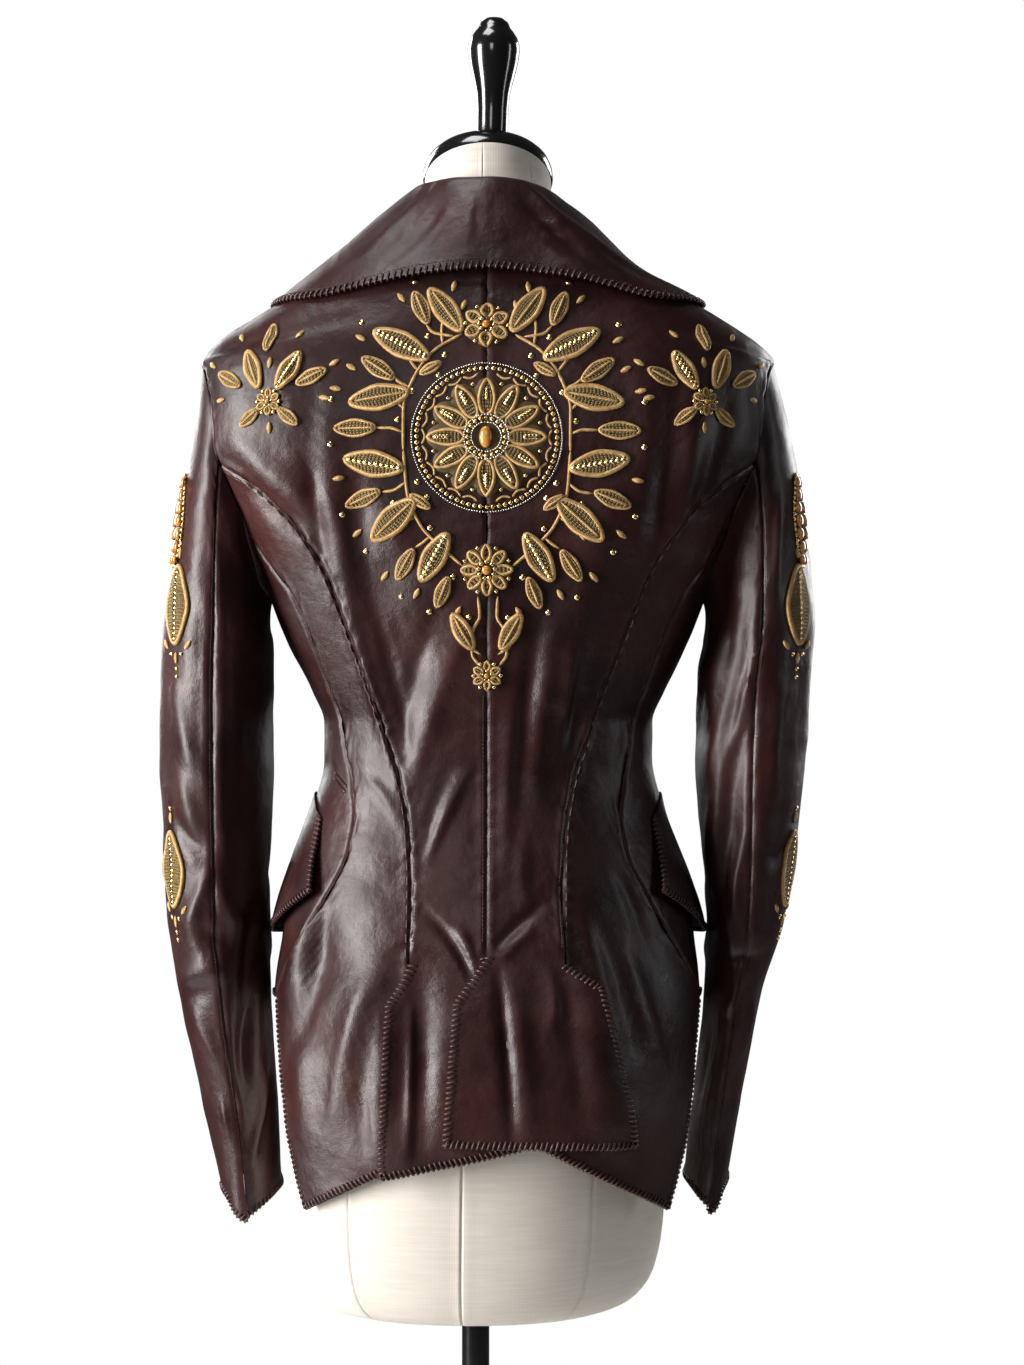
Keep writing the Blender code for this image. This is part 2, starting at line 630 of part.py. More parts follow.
def body_panel(name, grid, side, parent, lift=None, finish="leather"):
    """A panel of the jacket's body over a grid of places, lifted off the torso by lift(turn, ring)."""
    placed = ease_edges(on_side(grid, side), torso)
    turn, ring = placed[..., 0], placed[..., 1]
    base = np.zeros_like(ring) if lift is None else lift(grid)
    return wall(name, off_torso(turn, ring, base + LEATHER), off_torso(turn, ring, base), finish, parent)


def vent_lift(height):
    """A flap of the peplum stands off by height below the vent and lies flush above it."""
    return lambda grid: height * (1 - smooth_step(grid[..., 1], VENT_Z + 0.004, VENT_Z + VENT_FADE))


ROWS_FLAP, ROWS_CORNER, ROWS_SEAM, ROWS_SHOULDER = 5, 2, 14, 6
ROWS_PEPLUM = 6
COLUMNS_NECK, COLUMNS_SHOULDER = 6, 4
ROWS_ARMHOLE_FRONT = 8
TOP_FADE = 2.4


def back_seam():
    return seam_leg(BACK_SEAM, ROWS_SEAM, CLOCK_BACK_SEAM)


def side_seam():
    return seam_leg(SIDE_SEAM, ROWS_SEAM, CLOCK_SIDE_SEAM)


def front_seam():
    return seam_leg(FRONT_SEAM, ROWS_SEAM, CLOCK_FRONT_SEAM, front=True)


def shoulder_leg():
    """From the neck out to the shoulder tip, along the top of the shoulder."""
    tip = ARMHOLE_RING + ARMHOLE_HALF_HEIGHT
    return leg([(0.0, NECK_RING), (0.0, tip)], COLUMNS_SHOULDER, smooth=False)


def back_grid(inner_flap, outer_flap):
    seam = back_seam()
    places_in = [torso_place(*corner) for corner in inner_flap]
    places_out = [torso_place(*corner) for corner in outer_flap]
    left = chain(
        leg(places_in, ROWS_FLAP),
        leg([places_in[-1], (QUARTER, VENT_Z)], ROWS_CORNER),
        leg([(QUARTER, VENT_Z), (QUARTER, NECK_RING)], ROWS_SEAM + ROWS_SHOULDER),
    )
    right = chain(
        leg(places_out, ROWS_FLAP),
        leg([places_out[-1], seam[0]], ROWS_CORNER),
        seam,
        armhole_leg(CLOCK_BACK_SEAM, 0.0, ROWS_SHOULDER),
    )
    neck = leg([(QUARTER, NECK_RING), (0.0, NECK_RING)], COLUMNS_NECK)
    top = chain(neck, shoulder_leg())
    bottom = leg([places_in[0], places_out[0]], COLUMNS_NECK + COLUMNS_SHOULDER)
    return coons(bottom, right, top, left, TOP_FADE)


def side_back_grid():
    hidden = torso_place(*SIDE_BACK_HIDDEN)
    point = torso_place(*SIDE_BACK_POINT)
    seam, side = back_seam(), side_seam()
    left = chain(leg([hidden, seam[0]], ROWS_PEPLUM), seam)
    right = chain(leg([point, side[0]], ROWS_PEPLUM), side)
    top = armhole_leg(CLOCK_BACK_SEAM, CLOCK_SIDE_SEAM, 6)
    return coons(leg([hidden, point], 6), right, top, left)


def side_grid():
    side, front = side_seam(), front_seam()
    top = armhole_leg(CLOCK_SIDE_SEAM, CLOCK_FRONT_SEAM, 7)
    return coons(leg([side[0], front[0]], 7), front, top, side)


def front_grid():
    seam = front_seam()
    left = chain(seam, armhole_leg(CLOCK_FRONT_SEAM, CLOCK_TIP, ROWS_ARMHOLE_FRONT))
    rows = len(left) - 1
    below = rows // 2
    hem = (CENTRE_FRONT_TURN, FRONT_HEM_Z)
    rest = (CENTRE_FRONT_TURN, BREAK_Z)
    neck = (NECK_FRONT_TURN, NECK_RING)
    right = chain(leg([hem, rest], below), leg([rest, neck], rows - below))
    top = chain(shoulder_leg()[::-1], leg([(0.0, NECK_RING), neck], 4))
    return coons(leg([seam[0], hem], len(top) - 1), right, top, left, TOP_FADE)


def lapel_grid():
    """The lapel lies folded back over the front, between the roll line and its own peak."""
    roll = leg([(CENTRE_FRONT_TURN, BREAK_Z), (NECK_FRONT_TURN, NECK_RING - 0.004)], 10)
    peak = [(0.020, BREAK_Z - 0.004), (0.085, 1.300), (0.135, 1.405)]
    edge = leg([torso_place(x, z, True) for x, z in peak], 7)
    gorge = leg([edge[-1], (math.radians(-46), 1.442)], 3)
    outer = chain(edge, gorge)
    return coons(leg([roll[0], outer[0]], 4), outer, leg([roll[-1], outer[-1]], 4), roll)


def build_body(parent):
    flaps = {
        1: ("right", back_grid(RIGHT_FLAP_INNER, RIGHT_FLAP_OUTER), UPPER_FLAP_LIFT),
        -1: ("left", back_grid(LEFT_FLAP_INNER, LEFT_FLAP_OUTER), UNDER_FLAP_LIFT),
    }
    for side, (word, grid, height) in flaps.items():
        body_panel(f"back_{word}", grid, side, parent, vent_lift(height))
        body_panel(f"side_back_{word}", side_back_grid(), side, parent)
        body_panel(f"side_{word}", side_grid(), side, parent)
        body_panel(f"front_{word}", front_grid(), side, parent)
        body_panel(f"lapel_{word}", lapel_grid(), side, parent, lapel_lift)


def lapel_lift(grid):
    """The lapel touches the front at its roll line and stands off towards its outer edge."""
    out = np.linspace(0, 1, grid.shape[1])[None, :]
    return LEATHER + 0.0020 + 0.0050 * np.sin(out * QUARTER) + 0 * grid[..., 1]


def armhole_curves(side):
    """Where the sleeve is sewn on, flush with the outside of the body, and the body's normal there."""
    clocks = np.linspace(-math.pi, 3 * math.pi, 721)
    place = armhole_place(clocks)
    middle = np.array([0.0, ARMHOLE_RING])
    place = middle + (place - middle) * ARMHOLE_EASE
    turn = place[:, 0] if side > 0 else math.pi - place[:, 0]
    edge = off_torso(turn, place[:, 1], np.full(len(clocks), LEATHER))
    normal = normals(torso, turn, place[:, 1], -1)

    def read(table, clock):
        return np.stack([np.interp(clock, clocks, table[:, k]) for k in range(3)], -1)

    return lambda clock: read(edge, clock), lambda clock: read(normal, clock)


def sleeve_surface(side, stations, folds):
    """The sleeve's outside as a function of clock angle and share of the way down the sleeve."""
    rows = np.array(stations)
    shares = np.linspace(0, 1, len(rows))
    curves = {name: monotone_curve(shares, rows[:, k]) for k, name in enumerate(SLEEVE_COLUMNS)}
    edge, edge_normal = armhole_curves(side)
    head_end = (SLEEVE_HEAD_ROWS - 1) / (len(rows) - 1)

    def plain(clock, down):
        out, back = np.cos(clock), np.sin(clock)
        near_vent = np.exp(-(((clock - CLOCK_BACK_SEAM) / DIP_HALF_WIDTH) ** 2))
        bow = HEAD_BOW * (1 - smooth_step(down, 0.0, head_end)) * back**2
        x = curves["x"](down) + curves["half_width"](down) * out + bow
        y = curves["y"](down) - curves["half_depth"](down) * back
        z = curves["z"](down) + curves["tilt"](down) * out - curves["dip"](down) * near_vent
        tube = np.stack([side * x, y, z], -1)
        blend = smooth_step(down, 0.0, head_end)[..., None]
        return edge(clock) * (1 - blend) + tube * blend

    def folded(clock, down):
        height = fold_heights(clock, curves["z"](down), SLEEVE_FOLD_RADIUS, folds)
        return plain(clock, down) + normals(plain, clock, down, side) * height[..., None]

    def outward(clock, down):
        """The way out through the wall. At the armhole it turns to the body's normal where the two are alike."""
        own = normals(folded, clock, np.maximum(down, HEAD_NORMAL_DOWN), side)
        body = edge_normal(clock)
        alike = smooth_step(np.sum(own * body, axis=-1), 0.3, 0.8)
        share = (alike * (1 - smooth_step(down, 0.0, 0.12)))[..., None]
        mixed = body * share + own * (1 - share)
        return mixed / np.linalg.norm(mixed, axis=-1, keepdims=True)

    return folded, outward


def open_vent(points, normal, clock, down, reach):
    """Moves the edge next to the back seam in or out below the vent."""
    near = np.exp(-((np.abs(clock - CLOCK_BACK_SEAM) / math.radians(26)) ** 2))
    return points + normal * (near * smooth_step(down, 0.84, 1.0) * reach)[..., None]


def sleeve_part(name, sleeve, clocks, rows, reach, parent):
    """One of the two pieces of a sleeve, between two lengthwise seams."""
    surface, outward = sleeve
    down, clock = np.meshgrid(rows, clocks, indexing="ij")
    eased = ease_edges(np.stack([clock, down], -1), surface, SEAM_GAP)
    eased[0, :, 1], eased[-1, :, 1] = rows[0], rows[-1]
    normal = outward(clock, down)
    clock, down = eased[..., 0], eased[..., 1]
    outer = open_vent(surface(clock, down), normal, clock, down, reach)
    return wall(name, outer, outer - normal * LEATHER, "leather", parent)


def build_sleeves(parent):
    back_clocks = np.linspace(0.0, CLOCK_BACK_SEAM, ROWS_SHOULDER + 1)
    front_step = (CLOCK_TIP - CLOCK_SLEEVE_FRONT) / 6
    front_clocks = np.arange(CLOCK_SLEEVE_FRONT - CLOCK_TIP, -front_step / 2, front_step)
    upper = np.concatenate([front_clocks, back_clocks])
    under = np.linspace(CLOCK_BACK_SEAM, CLOCK_SLEEVE_FRONT, 11)
    rows = np.linspace(0, 1, SLEEVE_ROWS)
    sides = ((1, "right", RIGHT_SLEEVE, RIGHT_SLEEVE_FOLDS), (-1, "left", LEFT_SLEEVE, LEFT_SLEEVE_FOLDS))
    for side, word, stations, folds in sides:
        sleeve = sleeve_surface(side, stations, folds)
        sleeve_part(f"sleeve_upper_{word}", sleeve, upper, rows, VENT_OPEN_UPPER, parent)
        sleeve_part(f"sleeve_under_{word}", sleeve, under, rows, VENT_OPEN_UNDER, parent)


def collar_half(turn, share, right):
    """The middle of the collar's leather on one half: up the neck, over the fold and out to its edge."""
    degrees = np.degrees(turn)
    base_ring = np.full(np.shape(turn), NECK_RING + COLLAR_BASE_GAP)
    base = off_torso(turn, base_ring, np.full(np.shape(turn), LEATHER / 2))
    depth = np.where(np.sin(turn) > 0, COLLAR_FOLD_DEPTH, COLLAR_FOLD_FRONT)
    fold_radius = outline_radius(turn, COLLAR_FOLD_HALF_WIDTH, depth, 2.0)
    out = np.stack([np.cos(turn), -np.sin(turn), 0 * turn], -1)
    up = np.array([0.0, 0.0, 1.0])
    fold_z = COLLAR_FOLD_Z - COLLAR_FOLD_FALL * np.minimum(np.sin(turn), 0.0) ** 2
    fold_z = fold_z - right * COLLAR_RIGHT_SLIP * np.cos(turn) ** 2
    fold = out * fold_radius[..., None] + up * fold_z[..., None]
    edge = off_torso(turn, EDGE_CURVES["ring"](degrees), EDGE_CURVES["lift"](degrees))
    points = (base, fold - out * 0.0024 - up * 0.0045, fold, fold + out * 0.0055 - up * 0.0035, edge)
    stops = (0.0, 0.22, 0.30, 0.38, 1.0)
    tangents = []
    for k in range(5):
        low, high = max(k - 1, 0), min(k + 1, 4)
        tangents.append((points[high] - points[low]) / (stops[high] - stops[low]))
    fall = (points[4] - points[3]) / (stops[4] - stops[3])
    tangents[3] = fall * 0.9 + out * 0.010
    tangents[4] = fall
    result = np.zeros(np.shape(turn) + (3,))
    for k in range(4):
        gap = stops[k + 1] - stops[k]
        t = np.clip((share - stops[k]) / gap, 0, 1)[..., None]
        piece = (
            points[k] * (1 + 2 * t) * (1 - t) ** 2
            + tangents[k] * gap * t * (1 - t) ** 2
            + points[k + 1] * t**2 * (3 - 2 * t)
            - tangents[k + 1] * gap * t**2 * (1 - t)
        )
        result = np.where((share >= stops[k])[..., None], piece, result)
    sag = np.sin(math.pi * np.clip((share - 0.45) / 0.55, 0, 1)) ** 2
    sag = sag * np.cos(np.minimum(2.0 * np.abs(turn), QUARTER)) ** 2 * right * COLLAR_RIGHT_SAG
    return result - up * sag[..., None]


def collar_surface(turn, share):
    left = collar_half(math.pi - turn, share, 0.0)
    left[..., 0] = -left[..., 0]
    return np.where((turn > QUARTER)[..., None], left, collar_half(turn, share, 1.0))


def build_collar(parent):
    spread = np.linspace(-1.0, 1.0, 35)
    shares = np.array([0.0, 0.12, 0.22, 0.26, 0.30, 0.34, 0.40, 0.55, 0.70, 0.85, 1.0])
    share, spread = np.meshgrid(shares, spread, indexing="ij")
    share = np.clip(share, STEP, 1 - STEP)
    end = COLLAR_END_TURN + (COLLAR_POINT_TURN - COLLAR_END_TURN) * smooth_step(share, 0.3, 1.0)
    turn = QUARTER - spread * (QUARTER - end)
    middle = collar_surface(turn, share)
    normal = normals(collar_surface, turn, share)
    half = LEATHER / 2
    return wall("collar", middle + normal * half, middle - normal * half, "leather", parent)


def flap_grid():
    """A pocket flap on the hip, from its sewn top edge down to its slanted lower edge."""
    top = leg([torso_place(0.1230, 1.0750), (0.0, 1.0900), torso_place(0.0950, 1.0800, True)], 8)
    bottom = leg([torso_place(0.1230, 1.0200), (0.05, 0.9850), torso_place(0.1050, 0.9700, True)], 8)
    right = leg([bottom[-1], top[-1]], 5)
    left = leg([bottom[0], top[0]], 5)
    return coons(bottom, right, top, left)


def flap_lift(grid):
    """The flap lies close to the hip at its top and stands out at its lower edge."""
    down = 1 - np.linspace(0, 1, grid.shape[0])[:, None]
    return LEATHER + 0.0006 + 0.0075 * smooth_step(down, 0.0, 1.0) + 0 * grid[..., 1]


def leather_below(*starts):
    """The leather pieces built so far whose names start as given, as one tree to measure onto."""
    points, faces = [], []
    for obj in bpy.data.objects:
        if obj.type == "MESH" and obj.name.startswith(starts):
            first = len(points)
            points.extend(tuple(vertex.co) for vertex in obj.data.vertices)
            faces.extend(tuple(first + k for k in polygon.vertices) for polygon in obj.data.polygons)
    return BVHTree.FromPolygons(points, faces)


def plate_clearance(foot, centre, normal, on_leather):
    """How far a plate's flat-sided foot has to rise to lie a hair above the highest leather under it."""
    highest = 0.0
    steps = 6
    for here, there in zip(foot, foot[1:] + foot[:1]):
        for a in range(steps + 1):
            for b in range(steps + 1 - a):
                spot = centre + (here - centre) * (a / steps) + (there - centre) * (b / steps)
                highest = max(highest, (on_leather(spot) - spot).dot(normal))
    return highest + THREAD_CLEAR


def stamped_plate(name, tree, start, way, outline, finish, thick, parent):
    """A domed plate laid on the leather, round the place that a line from start along way meets first.

    The outline is in metres across and up, seen from outside.
    """
    way = Vector(way).normalized()
    centre, normal, _, _ = tree.ray_cast(Vector(start), way)
    if normal.dot(way) > 0:
        normal = -normal
    up = (Vector((0, 0, 1)) - normal * normal.z).normalized()
    across = up.cross(normal)

    def on_leather(point):
        return tree.ray_cast(point + normal * 0.03, -normal)[0]

    def laid(share, rise):
        spots = [centre + (across * aside + up * above) * share for aside, above in outline]
        return [on_leather(spot) + normal * rise for spot in spots]

    foot = laid(1.0, 0.0)
    clear = plate_clearance(foot, centre, normal, on_leather)
    count = len(outline)
    points = [point + normal * clear for point in foot]
    points += laid(0.97, clear + 0.65 * thick) + laid(0.55, clear + thick)
    points += [centre + normal * (clear + thick), centre + normal * clear]
    faces = []
    top, low = 3 * count, 3 * count + 1
    for k in range(count):
        nxt = (k + 1) % count
        for ring in (0, count):
            faces.append((ring + k, ring + nxt, ring + count + nxt, ring + count + k))
        faces.append((2 * count + k, 2 * count + nxt, top))
        faces.append((nxt, k, low))
    return add_object(name, points, faces, finish, parent)


def leaf_outline(length, width, lean, points=10):
    """A pointed leaf, leaning to the right of upright by lean degrees."""
    angle = math.radians(lean)
    outline = []
    for k in range(points):
        turn = 2 * math.pi * k / points
        along = math.cos(turn) * length / 2
        aside = math.sin(turn) * width / 2 * (1 - 0.35 * abs(math.cos(turn)))
        outline.append(
            (along * math.sin(angle) + aside * math.cos(angle), along * math.cos(angle) - aside * math.sin(angle))
        )
    return outline


def flower_outline(radius, petals):
    outline = []
    for k in range(petals * 2):
        angle = math.pi * k / petals
        reach = radius * (1.0 if k % 2 == 0 else 0.84)
        outline.append((reach * math.sin(angle), reach * math.cos(angle)))
    return outline


def turned_over(outline, side):
    return [(side * aside, above) for aside, above in outline]


def build_back_embroidery(parent):
    """Flowers down the middle of the back with a wreath of leaves round the largest."""
    back = leather_below("back_", "side_back_")
    for number, (height, radius, petals) in enumerate(BACK_FLOWERS, 1):
        outline = flower_outline(radius, petals)
        stamped_plate(
            f"flower_{number}", back, (0.0004, -0.3, height), (0, 1, 0), outline, "gold_thread", THREAD_THICK, parent
        )
    for side, word in ((1, "right"), (-1, "left")):
        rows = [("leaf", number, row) for number, row in enumerate(BACK_LEAVES, 1)]
        rows += [("shoulder_leaf", number, row) for number, row in enumerate(SHOULDER_LEAVES, 1)]
        for kind, number, (x, z, length, width, lean) in rows:
            outline = turned_over(leaf_outline(length, width, lean), side)
            start = (side * x, -0.3, z)
            name = f"{kind}_{number}_{word}"
            stamped_plate(name, back, start, (0, 1, 0), outline, "gold_thread", THREAD_THICK, parent)


def build_sleeve_trims(parent):
    """The gold leaves and the strip of large beads down the outside of each sleeve."""
    for side, word in ((1, "right"), (-1, "left")):
        sleeve = leather_below(f"sleeve_upper_{word}", f"sleeve_under_{word}")
        rows = [("sleeve_leaf", number, row, THREAD_THICK) for number, row in enumerate(SLEEVE_LEAVES, 1)]
        rows.append(("sleeve_beads", 1, BEAD_STRIP, BEAD_THICK))
        for kind, number, (degrees, height, length, width), thick in rows:
            angle = math.radians(degrees)
            way = (-side * math.cos(angle), math.sin(angle), 0.0)
            start = (side * 0.2065 - 0.3 * way[0], -0.3 * way[1], height)
            outline = leaf_outline(length, width, 0)
            stamped_plate(f"{kind}_{number}_{word}", sleeve, start, way, outline, "gold_thread", thick, parent)


def build_buttons(parent):
    fronts = leather_below("front_")
    angles = [math.pi * k / 7 for k in range(14)]
    disc = [(BUTTON_RADIUS * math.cos(a), BUTTON_RADIUS * math.sin(a)) for a in angles]
    for number, height in enumerate(BUTTON_HEIGHTS, 1):
        start = (0.0120, 0.3, height)
        stamped_plate(f"button_{number}", fronts, start, (0, -1, 0), disc, "horn", BUTTON_THICK, parent)


def build_form(parent):
    """The linen torso as one closed solid, flat under its base and cut at a slant at the neck."""
    turns = np.linspace(0, 2 * math.pi, 29)[:-1]
    low = [0.7000, 0.7035, 0.7120, 0.7300]
    middle = np.linspace(0.760, 1.462, 14)
    high = [1.478, 1.490, 1.501, 1.511, 1.520, 1.529, 1.536, 1.545, 1.560]
    rings = np.concatenate([low, middle, high])
    count = len(turns)
    points = [form_surface(turns, np.full(count, ring)) for ring in rings]
    faces = []
    for r in range(len(rings) - 1):
        for k in range(count):
            nxt = (k + 1) % count
            faces.append((r * count + k, r * count + nxt, (r + 1) * count + nxt, (r + 1) * count + k))
    bottom, top = points[0].mean(axis=0), points[-1].mean(axis=0)
    last = (len(rings) - 1) * count
    for k in range(count):
        nxt = (k + 1) % count
        faces.append((nxt, k, len(rings) * count))
        faces.append((last + k, last + nxt, len(rings) * count + 1))
    return add_object("form_torso", np.concatenate(points + [[bottom, top]]), faces, "linen", parent)


def build_stand(parent, jacket):
    """The base plate and pole stand on the floor. The neck cap and the turned finial sit on the form."""
    turned("base_plate", BASE_PLATE, "black_paint", parent, steps=32)
    turned("pole_foot", POLE_FOOT, "black_paint", parent, steps=20)
    low, high = POLE_SPAN
    pole = ((0.0, low), (POLE_RADIUS, low), (POLE_RADIUS, high), (0.0, high))
    turned("pole", pole, "black_paint", parent, steps=20)
    turned("pole_socket", POLE_SOCKET, "black_paint", parent, steps=20)
    turned("neck_cap", NECK_CAP, "black_wood", jacket, steps=32, centre=(0.0, 0.0, NECK_CAP_Z), tip=NECK_TIP)
    top = (FINIAL_X, 0.0, FINIAL_Z)
    finial = turned("finial", FINIAL, "black_wood", jacket, steps=16, centre=top, slant=math.tan(NECK_TIP))
    finial.rotation_euler = (0.0, FINIAL_LEAN, 0.0)


def main():
    clear_scene()
    jacket = bpy.data.objects.new("jacket_axis", None)
    bpy.context.scene.collection.objects.link(jacket)
    jacket.location = (JACKET_X, 0.0, 0.0)
    stand = bpy.data.objects.new("stand_axis", None)
    bpy.context.scene.collection.objects.link(stand)
    build_body(jacket)
    build_sleeves(jacket)
    build_collar(jacket)
    for side, word in ((1, "right"), (-1, "left")):
        body_panel(f"pocket_flap_{word}", flap_grid(), side, jacket, flap_lift)
    build_back_embroidery(jacket)
    build_sleeve_trims(jacket)
    build_buttons(jacket)
    build_form(jacket)
    build_stand(stand, jacket)


main()
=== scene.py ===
"""The looks of a leather jacket with gold thread flowers on a linen dress form.

Metres, +Z up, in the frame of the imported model. The shape tables and functions repeat the ones that the
solids are built from, so each fine shell lies where its solid is. A place on the torso is (turn, ring): turn
is the angle round the body in radians, 0 at +X and a quarter turn at the middle of the back, and ring is the
height of that ring at the middle of the back.
"""

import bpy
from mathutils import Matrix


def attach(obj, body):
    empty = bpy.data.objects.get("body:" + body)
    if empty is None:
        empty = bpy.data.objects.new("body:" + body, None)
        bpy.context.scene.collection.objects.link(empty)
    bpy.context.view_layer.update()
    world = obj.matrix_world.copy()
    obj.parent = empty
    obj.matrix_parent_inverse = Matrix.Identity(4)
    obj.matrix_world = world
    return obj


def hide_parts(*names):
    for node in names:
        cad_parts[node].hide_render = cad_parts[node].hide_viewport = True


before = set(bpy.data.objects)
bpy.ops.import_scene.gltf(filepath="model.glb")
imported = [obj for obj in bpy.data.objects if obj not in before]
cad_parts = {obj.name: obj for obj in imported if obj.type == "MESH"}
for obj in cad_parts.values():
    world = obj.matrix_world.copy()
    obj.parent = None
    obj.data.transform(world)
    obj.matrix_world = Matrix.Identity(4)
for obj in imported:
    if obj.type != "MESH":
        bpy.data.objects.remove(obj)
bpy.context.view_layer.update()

import copy
import math

import bmesh
import bpy
import numpy as np
from mathutils import Vector
from mathutils.bvhtree import BVHTree

# Thickness of the leather, the gap where pieces meet, and how far the folded flaps of the peplum stand off.
LEATHER = 0.0014
SEAM_GAP = 0.0003
UNDER_FLAP_LIFT = 0.0035
UPPER_FLAP_LIFT = 0.0075
# The jacket hangs this far to the right of the pole, because the form leans a little on its stand.
JACKET_X = 0.0095
FORM_LEAN = 0.018
FORM_UPRIGHT_Z = 1.35

QUARTER = math.pi / 2
STEP = 1e-4

# Rings of the jacket's torso: height at the back, half width, depth behind and before the side line,
# squareness of the outline, and how much lower the ring lies over the shoulders and at the front.
TORSO_COLUMNS = ("ring", "half_width", "back", "front", "square", "drop", "fall")
TORSO = (
    (0.760, 0.1560, 0.1245, 0.1180, 2.40, 0.0, 0.0),
    (0.850, 0.1620, 0.1290, 0.1210, 2.40, 0.0, 0.0),
    (0.925, 0.1620, 0.1250, 0.1170, 2.40, 0.0, 0.0),
    (0.990, 0.1550, 0.1140, 0.1110, 2.30, 0.0, 0.0),
    (1.046, 0.1420, 0.1020, 0.1040, 2.25, 0.0, 0.0),
    (1.085, 0.1310, 0.0940, 0.0990, 2.20, 0.0, 0.0),
    (1.115, 0.1245, 0.0900, 0.0970, 2.20, 0.0, 0.0),
    (1.145, 0.1245, 0.0905, 0.1000, 2.20, 0.0, 0.0),
    (1.170, 0.1340, 0.0930, 0.1070, 2.25, 0.0, 0.0),
    (1.190, 0.1440, 0.0955, 0.1150, 2.30, 0.0, 0.0),
    (1.214, 0.1550, 0.0990, 0.1240, 2.40, 0.0, 0.0),
    (1.250, 0.1690, 0.1040, 0.1340, 2.50, 0.0, 0.0),
    (1.300, 0.1910, 0.1090, 0.1350, 2.70, 0.0, 0.0),
    (1.357, 0.2170, 0.1100, 0.1210, 3.00, 0.0, 0.0),
    (1.410, 0.2195, 0.1050, 0.1060, 3.00, 0.0100, 0.0),
    (1.440, 0.2190, 0.0980, 0.0960, 3.00, 0.0260, 0.0040),
    (1.462, 0.2165, 0.0910, 0.0870, 2.90, 0.0430, 0.0100),
    (1.485, 0.1840, 0.0830, 0.0780, 2.70, 0.0390, 0.0180),
    (1.500, 0.1580, 0.0770, 0.0710, 2.60, 0.0400, 0.0250),
    (1.512, 0.1250, 0.0715, 0.0655, 2.40, 0.0360, 0.0310),
    (1.522, 0.0920, 0.0670, 0.0605, 2.30, 0.0300, 0.0360),
    (1.530, 0.0720, 0.0635, 0.0565, 2.20, 0.0220, 0.0400),
    (1.545, 0.0600, 0.0605, 0.0530, 2.10, 0.0120, 0.0460),
)
# Rings of the dress form, with the same columns and how steeply the ring tips up towards the back.
FORM_COLUMNS = TORSO_COLUMNS + ("tip",)
FORM = (
    (0.7000, 0.0900, 0.0650, 0.0620, 2.20, 0.0, 0.0, 0.0),
    (0.7035, 0.1120, 0.0830, 0.0790, 2.20, 0.0, 0.0, 0.0),
    (0.7120, 0.1280, 0.0965, 0.0920, 2.20, 0.0, 0.0, 0.0),
    (0.7300, 0.1390, 0.1060, 0.1010, 2.25, 0.0, 0.0, 0.0),
    (0.7600, 0.1445, 0.1110, 0.1050, 2.30, 0.0, 0.0, 0.0),
    (0.8000, 0.1465, 0.1135, 0.1070, 2.30, 0.0, 0.0, 0.0),
    (0.8600, 0.1480, 0.1150, 0.1080, 2.30, 0.0, 0.0, 0.0),
    (0.9200, 0.1440, 0.1110, 0.1040, 2.30, 0.0, 0.0, 0.0),
    (0.9900, 0.1310, 0.0990, 0.0970, 2.20, 0.0, 0.0, 0.0),
    (1.0500, 0.1200, 0.0870, 0.0900, 2.20, 0.0, 0.0, 0.0),
    (1.1150, 0.1110, 0.0790, 0.0840, 2.15, 0.0, 0.0, 0.0),
    (1.1700, 0.1170, 0.0820, 0.0920, 2.20, 0.0, 0.0, 0.0),
    (1.2500, 0.1360, 0.0920, 0.1150, 2.30, 0.0, 0.0, 0.0),
    (1.3000, 0.1480, 0.0980, 0.1220, 2.40, 0.0, 0.0, 0.0),
    (1.3570, 0.1580, 0.1000, 0.1100, 2.50, 0.0, 0.0, 0.0),
    (1.4100, 0.1660, 0.0950, 0.0960, 2.60, 0.0050, 0.0, 0.0),
    (1.4620, 0.1720, 0.0840, 0.0810, 2.70, 0.0350, 0.0110, 0.0),
    (1.4850, 0.1640, 0.0785, 0.0735, 2.60, 0.0400, 0.0190, 0.0),
    (1.5000, 0.1480, 0.0740, 0.0680, 2.50, 0.0410, 0.0260, 0.0),
    (1.5120, 0.1180, 0.0680, 0.0625, 2.40, 0.0380, 0.0325, 0.0),
    (1.5220, 0.0875, 0.0640, 0.0580, 2.30, 0.0323, 0.0375, 0.0),
    (1.5300, 0.0692, 0.0608, 0.0538, 2.20, 0.0238, 0.0405, 0.0),
    (1.5400, 0.0530, 0.0535, 0.0500, 2.10, 0.0120, 0.0340, 0.10),
    (1.5500, 0.0487, 0.0492, 0.0487, 2.05, 0.0020, 0.0160, 0.30),
    (1.5600, 0.0485, 0.0485, 0.0485, 2.00, 0.0, 0.0, 0.45),
)

# The armhole is an oval in (turn, ring). Its clock angle is 0 at the shoulder tip and a quarter turn at the
# back.
ARMHOLE_RING = 1.3495
ARMHOLE_HALF_HEIGHT = 0.1125
ARMHOLE_BACK_TURN = math.radians(17.5)
ARMHOLE_FRONT_TURN = math.radians(17.0)
CLOCK_BACK_SEAM = math.radians(95)
CLOCK_SIDE_SEAM = math.radians(122)
CLOCK_FRONT_SEAM = math.radians(230)
CLOCK_SLEEVE_FRONT = math.radians(262.5)
CLOCK_TIP = math.radians(360)
NECK_RING = 1.530

